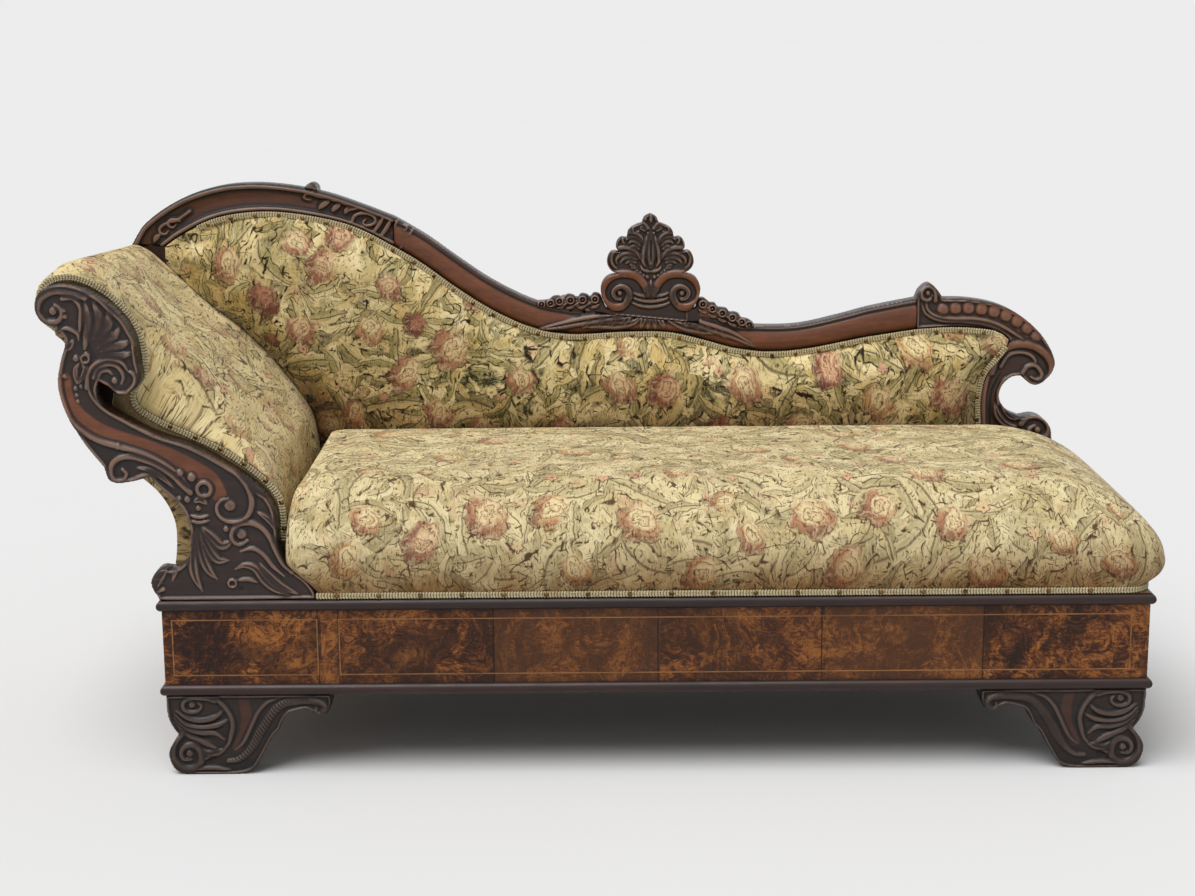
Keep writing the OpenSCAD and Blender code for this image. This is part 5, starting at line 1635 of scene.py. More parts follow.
FACING_CUTS = [
    (WARM, 30, 0, [(62, 380), (64, 394), (70, 407), (82, 420), (98, 431), (118, 439), (140, 446),
                   (165, 455), (190, 467), (210, 480), (218, 494)]),
    (RIDGE, 9, 6.2, [(38, 292), (59, 286), (73, 287), (84, 292), (97, 299), (111, 312), (121, 321),
                     (128.5, 334), (135, 347), (136, 360)]),
    (SWIRL, 11, 6.2, [(84, 298), (68, 294), (54, 292), (44, 296), (38.6, 302), (36.7, 311), (40.5, 318),
                      (47, 323), (56, 322), (61, 316), (59, 309), (54, 306)]),
    (DOME, 15, 6.4, [(52.5, 311.5)]),
    (SWIRL, 7, 5.4, [(61.5, 299), (72, 299), (79.7, 308), (80, 318), (79, 334)]),
    (RIDGE, 5, 4.6, [(58.7, 308.7), (65.4, 312.5)]),
    (DOME, 9, 5.6, [(64, 317)]),
    (RIDGE, 15, 5.8, [(84, 303), (87.5, 318), (87, 333), (84, 349)]),
    (RIDGE, 16, 5.6, [(93, 303), (98.5, 318), (97, 331), (90.5, 345)]),
    (RIDGE, 16, 5.6, [(107, 312), (107.5, 325), (102, 336), (93, 347)]),
    (RIDGE, 15, 5.6, [(118.5, 330), (112.5, 337.5), (104, 343.5), (94, 350)]),
    (RIDGE, 14, 5.4, [(129, 342), (120, 346), (108, 348.5), (96, 353)]),
    (RIDGE, 12, 5.0, [(132, 354), (120, 356), (107, 356), (97, 357)]),
    (DOME, 11, 5.6, [(56.3, 333.6)]),
    (RIDGE, 5, 5.0, [(59, 330), (66, 329), (77, 334.5), (78, 341)]),
    (LEAF, 9, 5.0, [(73, 340), (69, 347), (64, 352)]),
    (DOME, 12, 5.6, [(75.5, 359)]),
    (RING, 12, 5.2, [(84.5, 359.4)]),
    (RIDGE, 5, 5.0, [(83.5, 353), (89.3, 356.5)]),
    (LEAF, 7, 5.4, [(79.7, 363), (75, 370), (77, 386)]),
    (LEAF, 7, 5.4, [(79.7, 363), (84.5, 370), (77, 386)]),
    (DOME, 7, 5.0, [(75, 389)]), (DOME, 7, 5.0, [(80.5, 387)]), (DOME, 6, 4.6, [(76, 396)]),
    (DOME, 6, 4.6, [(77.4, 402)]),
    (RIDGE, 5, 4.6, [(59.7, 375.7), (66.4, 377.6)]),
    (SWIRL, 8, 6.0, [(86.4, 388), (87.5, 375), (93, 366), (102.7, 360.4), (112, 360), (121, 363),
                     (127, 371)]),
    (SWIRL, 7, 5.4, [(93, 378), (97, 369.5), (104, 366), (112, 365), (119, 369), (122.8, 377), (121, 384)]),
    (SWIRL, 6, 5.0, [(97, 381), (100, 373), (107, 371), (112, 375)]),
    (DOME, 11, 5.6, [(114, 381)]),
    (RIDGE, 7, 5.8, [(126.6, 371), (134, 376), (134, 384), (127.6, 392), (120, 397)]),
    (HOLLOW, 34, 3.5, [(108, 394)]),
    (RIDGE, 6, 5.0, [(100, 391), (106, 400), (116, 404), (126, 401)]),
    (RIDGE, 10, 6.2, [(87.4, 380.5), (89.3, 393), (97, 404), (108.4, 413), (121, 419.5), (136, 427),
                      (158, 434.5), (179, 440.6), (200.6, 450), (221, 462.4), (237, 474.5), (247.5, 488),
                      (251.5, 502), (248.5, 514.5), (240.6, 521.5), (228.4, 522), (218.7, 516),
                      (216.3, 507), (221, 501), (228.4, 499.4)]),
    (DOME, 21, 6.6, [(229.6, 506)]),
    (RIDGE, 9, 6.0, [(65.4, 337), (63.5, 355), (59.7, 366), (57.7, 378.5), (58.2, 390), (60.6, 402.5),
                     (64.4, 412), (73, 424), (85, 434), (100, 442), (117, 447), (135, 452), (152, 458),
                     (167, 466), (180, 476), (190, 488)]),
    (DOME, 13, 6.4, [(117.6, 447)]),
    (SWIRL, 10, 6.2, [(190, 493), (182, 486), (173, 477), (158, 467), (142, 460), (127, 457), (115, 461),
                      (110, 470), (113, 479), (121, 481), (126, 475), (122, 470)]),
    (RIDGE, 6, 5.2, [(131, 479), (146, 476), (154.5, 482), (165, 492), (177.5, 502.6)]),
    (LEAF, 9, 5.0, [(135, 468), (150, 471), (163, 479), (174, 489)]),
    (DOME, 15, 6.2, [(179, 474)]), (DOME, 16, 6.2, [(191, 478)]), (RING, 22, 6.2, [(203.6, 489.7)]),
    (DOME, 8, 5.2, [(179, 499)]), (DOME, 12, 5.8, [(187, 500)]),
    (LEAF, 12, 5.6, [(193, 503), (200, 500), (207, 505)]), (DOME, 9, 5.6, [(198, 509)]),
    (RIDGE, 5, 6.0, [(190, 516), (199, 518), (208, 516)]),
    (RIDGE, 5, 6.0, [(190, 521), (199, 523), (209, 521)]),
    (LEAF, 19, 6.0, [(201, 527), (212, 538), (222, 546), (233, 541)]),
    (LEAF, 19, 6.0, [(200, 530), (207, 546), (217, 560), (229, 561)]),
    (LEAF, 18, 6.0, [(198, 532), (201, 552), (208, 570), (217, 580)]),
    (LEAF, 17, 6.0, [(196, 530), (193, 552), (194, 574), (202, 592)]),
    (LEAF, 14, 5.4, [(192, 530), (184, 548), (177, 566), (172, 582)]),
    (DOME, 11, 5.8, [(226, 529.7)]), (DOME, 20, 6.4, [(241, 534.5)]),
    (SWIRL, 10, 6.2, [(292, 572), (283, 564), (275.7, 551), (269.6, 538), (261, 528), (250, 523.5),
                      (239, 525), (232, 532), (232, 540), (239, 545), (247, 541)]),
    (LEAF, 11, 5.4, [(245, 481), (256, 491.5), (267, 499), (273, 512)]),
    (LEAF, 10, 5.4, [(256, 512), (267, 519), (274, 527), (277, 538)]),
    (RIDGE, 7, 5.4, [(240, 552), (252, 549), (263, 555), (272, 566), (284, 577)]),
    (LEAF, 15, 5.8, [(234.5, 570), (244, 566), (255, 569), (263.6, 580), (274, 589), (292, 597)]),
    (LEAF, 12, 5.4, [(258, 562), (268, 574), (281, 586), (300, 596)]),
    (RING, 12, 5.6, [(232, 584)]), (RIDGE, 6, 5.0, [(237, 581), (248, 580), (258, 583)]),
    (HOLLOW, 14, 2.5, [(241, 590)]),
    (LEAF, 12, 5.6, [(153, 600), (156, 586), (163, 574), (170, 565)]),
    (SWIRL, 6, 5.4, [(163, 590), (156, 592), (151, 586), (153, 580), (159, 580), (162, 584)]),
    (RIDGE, 8, 5.4, [(150, 600), (190, 601), (240, 601), (300, 602)]),
]

FOOT_CLOSE = CloseUp(155, 680, 8.711)
FOOT_CUTS = [
    (WARM, 20, 0, [(760, 150), (790, 300), (780, 450), (720, 590)]),
    (SWIRL, 8, 6.0, [(440, 160), (510, 165), (570, 205), (620, 260), (660, 330), (675, 400), (665, 470),
                     (640, 560), (600, 610)]),
    (SWIRL, 7, 6.0, [(520, 190), (450, 170), (370, 165), (300, 170), (245, 205), (250, 260), (300, 285),
                     (370, 275), (400, 235), (370, 205)]),
    (DOME, 14, 6.4, [(318, 222)]),
    (RIDGE, 9, 5.4, [(180, 275), (280, 340), (400, 360), (520, 330), (590, 270)]),
    (RIDGE, 9, 5.6, [(170, 310), (280, 400), (420, 420), (540, 400), (640, 350)]),
    (RIDGE, 9, 5.6, [(160, 340), (270, 430), (400, 465), (520, 470), (610, 530)]),
    (RIDGE, 10, 5.6, [(165, 375), (290, 485), (400, 540), (500, 585), (565, 625)]),
    (GROOVE, 3, 2.0, [(180, 292), (280, 368), (400, 392), (530, 365), (610, 312)]),
    (GROOVE, 3, 2.0, [(165, 326), (275, 415), (400, 442), (520, 436), (625, 420)]),
    (GROOVE, 3, 2.0, [(165, 357), (280, 458), (400, 503), (510, 528), (590, 590)]),
    (SWIRL, 12, 6.2, [(240, 465), (170, 550), (150, 650), (180, 720), (260, 775), (345, 770), (400, 715),
                      (395, 635), (340, 580), (265, 585), (225, 640), (250, 695), (310, 695)]),
    (DOME, 14, 6.4, [(300, 645)]),
    (LEAF, 12, 5.6, [(400, 600), (450, 640), (510, 640), (600, 610)]),
    (RIDGE, 6, 5.2, [(370, 668), (420, 692), (500, 664), (560, 642), (620, 604)]),
    (HOLLOW, 22, 2.5, [(500, 705)]),
    (RIDGE, 6, 5.8, [(300, 790), (400, 775), (520, 772), (660, 788)]),
    (ROPE, 17, 6.4, [(640, 712), (720, 700), (800, 640), (860, 560), (900, 480), (960, 380), (1040, 270),
                     (1120, 215), (1230, 195), (1350, 190), (1440, 205), (1475, 240), (1460, 285)]),
    (SWIRL, 7, 6.0, [(1350, 175), (1440, 195), (1485, 240), (1462, 295), (1410, 290), (1402, 252)]),
    (RIDGE, 6, 4.8, [(690, 620), (760, 560), (810, 470), (850, 380), (900, 280), (980, 200), (1090, 165)]),
    (RIDGE, 5, 5.4, [(120, 148), (500, 140), (900, 140), (1500, 145)]),
]

TOP_CLOSE = CloseUp(590, 205, 11.2)
TOP_MIDDLE = 683
TOP_HALF_CUTS = [
    (DOME, 9, 5.4, [(618, 158)]),
    (SWIRL, 7, 5.8, [(650, 262), (600, 205), (540, 195), (490, 230), (475, 280), (505, 318), (548, 300)]),
    (LEAF, 9, 5.4, [(640, 300), (590, 262), (548, 262)]),
    (SWIRL, 7, 5.8, [(608, 432), (560, 350), (480, 315), (400, 330), (365, 390), (392, 452)]),
    (RIDGE, 6, 5.0, [(596, 448), (545, 385), (470, 360), (415, 385), (402, 425)]),
    (RIDGE, 6, 5.0, [(580, 474), (525, 425), (462, 410), (425, 445)]),
    (RIDGE, 6, 4.8, [(565, 508), (505, 468), (450, 470)]),
    (SWIRL, 8, 6.0, [(566, 595), (500, 520), (400, 480), (300, 500), (240, 570), (250, 660), (312, 732)]),
    (RIDGE, 7, 5.2, [(550, 592), (460, 550), (370, 555), (295, 612), (300, 668)]),
    (RIDGE, 7, 5.2, [(545, 622), (450, 592), (372, 610), (335, 655)]),
    (RIDGE, 6, 5.0, [(530, 652), (450, 632), (395, 660)]),
    (RIDGE, 5, 4.8, [(440, 668), (512, 692)]), (RIDGE, 5, 4.8, [(452, 706), (524, 712)]),
    (RIDGE, 5, 5.0, [(498, 750), (548, 736)]), (RIDGE, 6, 5.0, [(542, 780), (582, 756)]),
    (RIDGE, 6, 5.0, [(588, 808), (614, 780)]), (RIDGE, 6, 5.0, [(634, 828), (648, 792)]),
    (DOME, 4, 6.4, [(648, 315)]),
    (RIDGE, 5, 5.8, [(568, 688), (600, 730), (683, 752)]),
    (SWIRL, 15, 7.4, [(655, 1000), (600, 880), (520, 800), (400, 772), (270, 790), (170, 870), (130, 980),
                      (160, 1080), (250, 1140), (350, 1140), (420, 1070), (440, 1000), (410, 940),
                      (350, 915), (290, 940), (262, 990), (292, 1045), (340, 1058)]),
    (DOME, 11, 6.6, [(334, 990)]),
    (WARM, 17, 0, [(600, 880), (520, 800), (400, 772), (270, 790), (170, 870), (130, 980), (160, 1080),
                   (250, 1140), (350, 1140)]),
]
TOP_MIDDLE_CUTS = [
    (RIDGE, 7, 6.2, [(683, 92), (683, 200)]),
    (RIDGE, 19, 5.8, [(683, 290), (683, 420), (683, 560), (683, 700)]),
    (RIDGE, 8, 6.6, [(645, 330), (618, 440), (598, 540), (592, 630), (620, 690)]),
    (RIDGE, 8, 6.6, [(721, 330), (748, 440), (768, 540), (774, 630), (746, 690)]),
    (GROOVE, 5, 2.6, [(683, 400), (683, 610)]),
    (DOME, 6, 6.8, [(683, 655)]),
    (RIDGE, 7, 5.8, [(683, 850), (683, 980)]),
    (RIDGE, 6, 5.6, [(450, 970), (560, 1015), (683, 1030), (806, 1015), (910, 975)]),
    (RIDGE, 6, 5.6, [(462, 1035), (560, 1070), (683, 1085), (806, 1068), (904, 1032)]),
    (RIDGE, 6, 5.6, [(452, 1090), (560, 1130), (683, 1145), (806, 1128), (910, 1088)]),
]
CREST_CLOSE_CUTS = [
    (LEAF, 12, 10.6, [(618, 1190), (596, 1290), (560, 1385)]),
    (LEAF, 10, 10.2, [(655, 1180), (655, 1290), (645, 1400)]),
    (LEAF, 10, 10.2, [(706, 1180), (718, 1290), (738, 1400)]),
    (LEAF, 12, 10.6, [(748, 1190), (790, 1290), (845, 1385)]),
    (LEAF, 22, 11.0, [(560, 1212), (430, 1250), (200, 1262), (-60, 1300), (-330, 1350), (-600, 1400)]),
    (LEAF, 18, 10.6, [(600, 1215), (500, 1310), (350, 1345), (120, 1345), (-120, 1365)]),
    (LEAF, 22, 11.0, [(880, 1180), (1000, 1250), (1160, 1310), (1360, 1380), (1600, 1460), (1880, 1600)]),
    (LEAF, 18, 10.6, [(800, 1210), (900, 1290), (1040, 1360), (1200, 1400), (1420, 1450)]),
    (LEAF, 15, 10.9, [(470, 1225), (410, 1290), (330, 1385)]),
    (LEAF, 15, 10.9, [(330, 1235), (265, 1300), (190, 1385)]),
    (LEAF, 14, 10.7, [(180, 1250), (115, 1310), (50, 1385)]),
    (LEAF, 12, 10.4, [(20, 1280), (-40, 1335), (-100, 1385)]),
    (LEAF, 15, 10.9, [(960, 1215), (1030, 1300), (1110, 1380)]),
    (LEAF, 15, 10.9, [(1100, 1265), (1170, 1345), (1250, 1425)]),
    (LEAF, 14, 10.7, [(1250, 1320), (1320, 1395), (1400, 1460)]),
    (LEAF, 12, 10.4, [(1400, 1370), (1470, 1435), (1550, 1500)]),
    (SWIRL, 6, 6.2, [(-20, 1180), (-90, 1160), (-170, 1110), (-210, 1085)]),
    (DOME, 12, 6.4, [(-275, 1095)]), (DOME, 12, 6.4, [(-135, 1098)]), (DOME, 13, 6.4, [(20, 1085)]),
    (DOME, 13, 6.4, [(1268, 1098)]), (DOME, 12, 6.4, [(1380, 1205)]), (DOME, 12, 6.4, [(1525, 1235)]),
    (DOME, 11, 6.2, [(1648, 1288)]),
    (LEAF, 9, 9.0, [(3170, 1150), (3300, 1100), (3480, 1060), (3660, 1042)]),
]
STRIPS = {
    "left": ([(535, 305), (538, 302), (544, 301.5), (549, 300.5), (553, 297.5), (559, 297), (563, 299),
              (567, 295.5), (573, 296), (577, 298.5), (581, 294.7), (587, 295.5), (590, 297.5),
              (594, 293.8), (600, 295.5), (603.5, 303), (607, 308.5), (618, 309.5), (618, 317),
              (602, 314), (580, 311.5), (563, 310), (545, 307)],
             [(541.5, 304.5), (550.5, 303.5), (559.5, 301.5), (570.5, 300.5), (582.5, 300), (595, 299.5)]),
    "right": ([(684, 309.5), (695, 308), (697.5, 300), (703, 298.5), (707, 301), (710, 303.5),
               (715, 304), (718, 308), (722, 308.5), (727, 309.5), (730, 313), (735, 313), (739, 315.5),
               (741, 318.5), (746, 319.5), (751, 321.6), (754, 325.6), (744, 329), (724, 326),
               (710, 324), (699, 323), (684, 321)],
              [(703, 304.5), (712.5, 309), (722.5, 313.5), (732.5, 317.8), (742, 322.3), (749.5, 325)]),
}
"""The pierced strips of curls beside the ornament: their outlines and the middles of their curls."""
CURL_CUTS = [(RING, 12, 6.8, [(0, 0)]), (DOME, 5, 6.6, [(0, 0)]),
             (RIDGE, 3, 5.6, [(3.2, 2.2), (6.0, 4.4), (9.0, 5.4)]),
             (LEAF, 4, 5.8, [(-5.0, 4.6), (0, 7.4), (5.0, 8.6)])]
"""One curl with its leaf, from the curl's middle towards the strip's inner end."""


HUMP_CLOSE = CloseUp(120, 175, 5.058)
HUMP_CUTS = [
    (DOME, 13, 7.0, [(985, 72)]),
    (SWIRL, 5, 5.6, [(1310, 200), (1230, 176), (1150, 152), (1070, 126), (1000, 108), (945, 98),
                     (930, 116), (960, 128)]),
    (LEAF, 8, 5.8, [(1065, 130), (1030, 150), (1002, 176)]),
    (LEAF, 8, 5.8, [(1120, 146), (1090, 165), (1068, 190)]),
    (LEAF, 8, 5.8, [(1180, 160), (1150, 176), (1132, 200)]),
    (SWIRL, 5, 5.6, [(1165, 175), (1215, 170), (1262, 182), (1300, 208)]),
    (SWIRL, 5, 5.8, [(1172, 236), (1188, 206), (1228, 194), (1276, 206), (1292, 234), (1262, 256),
                     (1228, 246), (1240, 226)]),
    (RIDGE, 7, 6.6, [(1336, 208), (1302, 262), (1268, 308)]),
    (RIDGE, 7, 6.6, [(1376, 218), (1340, 280), (1304, 330)]),
    (SWIRL, 4, 5.4, [(350, 185), (322, 206), (290, 226), (258, 226), (240, 248), (262, 268), (282, 250)]),
    (SWIRL, 4, 5.4, [(300, 232), (250, 240), (212, 258), (198, 284), (224, 302), (244, 282)]),
    (LEAF, 7, 5.2, [(205, 300), (180, 322), (168, 345)]),
]
COLLAR_CUTS = [
    (RIDGE, 4, 6.4, [(1408, 222), (1370, 290), (1330, 352)]),
    (RIDGE, 4, 6.4, [(1488, 262), (1448, 330), (1404, 388)]),
    (RIDGE, 3, 5.6, [(1424, 250), (1450, 262), (1440, 282), (1416, 272)]),
    (RIDGE, 3, 5.6, [(1444, 288), (1424, 280), (1412, 300), (1430, 312)]),
    (RIDGE, 3, 5.6, [(1392, 304), (1418, 318), (1406, 338), (1382, 326)]),
    (RIDGE, 3, 5.6, [(1404, 346), (1380, 334), (1366, 352), (1384, 366)]),
]

SIDE_CLOSE = CloseUp(900, 280, 9.225)
UPRIGHT_CUTS = [
    (WARM, 30, 0, [(500, 330), (700, 330), (900, 380), (1060, 480), (1200, 620)]),
    (DOME, 24, 6.4, [(400, 276)]), (DOME, 25, 6.6, [(515, 264)]), (DOME, 25, 6.8, [(635, 262)]),
    (DOME, 25, 6.8, [(755, 272)]), (DOME, 25, 6.8, [(872, 294)]), (DOME, 25, 6.8, [(982, 330)]),
    (DOME, 25, 6.8, [(1085, 382)]), (DOME, 24, 6.6, [(1178, 448)]), (DOME, 22, 6.4, [(1258, 524)]),
    (WARM, 26, 0, [(400, 270), (560, 265), (740, 270), (900, 300), (1040, 352), (1160, 430), (1270, 530)]),
    (RIDGE, 8, 6.4, [(240, 190), (260, 280), (350, 340), (500, 360), (700, 362), (850, 392), (980, 450),
                     (1090, 520), (1165, 570)]),
    (RIDGE, 7, 6.0, [(200, 220), (250, 322), (400, 380), (600, 392), (800, 418), (930, 470), (1060, 560)]),
    (SWIRL, 8, 6.4, [(330, 190), (322, 100), (262, 60), (205, 100), (210, 168), (268, 188), (300, 150)]),
    (DOME, 10, 6.6, [(262, 125)]),
    (SWIRL, 17, 7.2, [(840, 850), (895, 710), (980, 630), (1100, 598), (1230, 612), (1340, 682),
                      (1400, 770), (1405, 870), (1340, 960), (1230, 975), (1150, 920)]),
    (SWIRL, 7, 5.8, [(930, 800), (1000, 700), (1100, 670), (1200, 692), (1250, 750), (1240, 810)]),
    (SWIRL, 8, 6.4, [(1130, 860), (1180, 800), (1245, 792), (1292, 835), (1308, 885), (1268, 922),
                     (1212, 900)]),
    (RIDGE, 15, 7.0, [(760, 1500), (758, 1350), (757, 1150), (774, 1000), (830, 850)]),
    (WARM, 15, 0, [(760, 1500), (758, 1350), (757, 1150), (774, 1000), (830, 850), (895, 710), (980, 630),
                   (1100, 598), (1230, 612), (1340, 682), (1400, 770), (1405, 870), (1340, 960)]),
    (GROOVE, 7, 2.8, [(830, 1450), (830, 1150), (860, 1000), (930, 870)]),
    (RIDGE, 9, 6.4, [(905, 1180), (918, 1060), (958, 940), (1040, 880)]),
    (LEAF, 14, 6.2, [(875, 1130), (905, 1250), (985, 1335), (1090, 1355)]),
    (LEAF, 11, 5.8, [(935, 1150), (1000, 1250), (1100, 1300)]),
    (SWIRL, 11, 6.4, [(1120, 1330), (1180, 1270), (1280, 1262), (1360, 1320), (1372, 1400), (1310, 1470),
                      (1220, 1460), (1190, 1390), (1250, 1345)]),
    (DOME, 13, 6.6, [(1270, 1385)]),
]


def mirrored(cuts: list[tuple], middle: float) -> list[tuple]:
    """Give cuts and their mirror image.

    Args:
        cuts: The cuts.
        middle: Pixel across of the mirror.

    Returns:
        Both halves.
    """
    return cuts + [(cut, w, h, [(2 * middle - x, y) for x, y in line]) for cut, w, h, line in cuts]


# Outlines, as the model's source has them

HUMP_TOP = [(0, 0.82, 1), (0.057, 0.885), (0.19, 0.954), (0.33, 0.99), (0.46, 1), (0.6, 0.992), (0.75, 0.968),
            (0.89, 0.93), (1, 0.896)]
HUMP_UNDER = [(0.13, 0.817), (0.19, 0.849), (0.32, 0.897), (0.46, 0.916), (0.6, 0.914), (0.78, 0.889),
              (0.88, 0.862), (1, 0.812)]
RAIL_TOP = [(0, 0.896), (0.06, 0.84), (0.116, 0.777), (0.182, 0.707), (0.258, 0.647), (0.324, 0.619),
            (0.42, 0.602), (0.53, 0.584), (0.62, 0.57), (0.7, 0.562), (0.776, 0.565), (0.862, 0.594),
            (0.91, 0.614), (1, 0.641)]
RAIL_UNDER = [(0, 0.812), (0.05, 0.765), (0.125, 0.68), (0.2, 0.608), (0.276, 0.559), (0.343, 0.545),
              (0.43, 0.551), (0.52, 0.55), (0.585, 0.528), (0.65, 0.5), (0.72, 0.488), (0.796, 0.498),
              (0.892, 0.527), (1, 0.553)]
SCROLL_UNDER = [(0, 0.553), (0.243, 0.558), (0.463, 0.553), (0.6, 0.541), (0.665, 0.52)]
SCROLL_INNER = [(0.478, 0.0), (0.478, 0.243), (0.467, 0.335), (0.5, 0.412), (0.574, 0.452), (0.647, 0.492),
                (0.665, 0.52)]
PAD_MIDDLE = [(0.848, 0.065), (0.85, 0.17), (0.85, 0.27), (0.826, 0.378), (0.776, 0.448), (0.708, 0.525),
              (0.625, 0.61), (0.522, 0.712), (0.417, 0.796), (0.314, 0.89), (0.24, 0.962), (0.17, 1.016),
              (0.09, 1.042), (0.02, 1.024), (-0.025, 0.983), (-0.04, 0.933), (-0.018, 0.878), (0.04, 0.84),
              (0.088, 0.8), (0.114, 0.72), (0.128, 0.627), (0.19, 0.515), (0.298, 0.413), (0.406, 0.33),
              (0.458, 0.247), (0.464, 0.163), (0.448, 0.065)]
PAD_FRONT = [(0.86, 0.065), (0.885, 0.17), (0.88, 0.3), (0.835, 0.362), (0.765, 0.415), (0.66, 0.475),
             (0.54, 0.525), (0.42, 0.572), (0.34, 0.63), (0.385, 0.71), (0.39, 0.79), (0.35, 0.885),
             (0.26, 0.972), (0.13, 1.024), (0.02, 1.005), (-0.018, 0.94), (-0.005, 0.885), (0.045, 0.845),
             (0.088, 0.8), (0.114, 0.72), (0.128, 0.627), (0.19, 0.515), (0.298, 0.413), (0.406, 0.33),
             (0.458, 0.247), (0.464, 0.163), (0.448, 0.065)]
PAD_TURN = 17
"""Number of the point at which the inside cover ends."""
ROLL_POINTS = 10
"""Number of the point up to which the roll meets the back."""


@dataclass
class Lines:
    """The couch's own lines, which wood, cloth and trim share."""

    fine: int = 8

    def __post_init__(self) -> None:
        """Draw them."""
        s = SIZE
        hump = (s.hump_x, s.top, s.hump_l, s.back_h)
        rail = (s.hump_end, s.top, s.scroll_x - s.hump_end, s.back_h)
        scroll = (s.scroll_x, s.top, s.scroll_w, s.back_h)
        facing = (s.facing_x, s.top, s.facing_w, s.facing_h)
        self.hump_top = curve(placed(HUMP_TOP, *hump), self.fine)
        self.hump_under = curve(placed(HUMP_UNDER, *hump), self.fine)
        self.rail_top = curve(placed(RAIL_TOP, *rail), self.fine)
        self.rail_under = curve(placed(RAIL_UNDER, *rail), self.fine)
        under = curve(placed(SCROLL_UNDER, *scroll), self.fine)
        self.inner = curve(placed(SCROLL_INNER, *scroll), self.fine)
        self.crest = aside(np.vstack([self.hump_under, self.rail_under[1:], under[1:]]), -s.gap)
        self.pad_middle = curve(placed(PAD_MIDDLE, *facing), self.fine)
        self.pad_front = curve(placed(PAD_FRONT, *facing), self.fine)
        self.turn = PAD_TURN * self.fine
        self.foot_z = s.top + s.rail_foot + s.gap
        post_top = self.hump_under[0][1]
        roll = aside(self.pad_middle[: ROLL_POINTS * self.fine], -s.gap)
        keep = (roll[:, 1] > self.foot_z + s.cover_t) & (roll[:, 1] < post_top - s.cover_t)
        self.left = np.vstack([[s.rail_left, self.foot_z], roll[keep], self.crest[0]])
        side = aside(self.inner, s.gap)
        keep = (side[:, 1] > self.foot_z + s.cover_t) & (side[:, 1] < self.crest[-1][1] - s.cover_t)
        rail_right = s.scroll_x + SCROLL_INNER[1][0] * s.scroll_w - s.gap
        self.upright = np.vstack([[rail_right, self.foot_z], side[keep], self.crest[-1]])


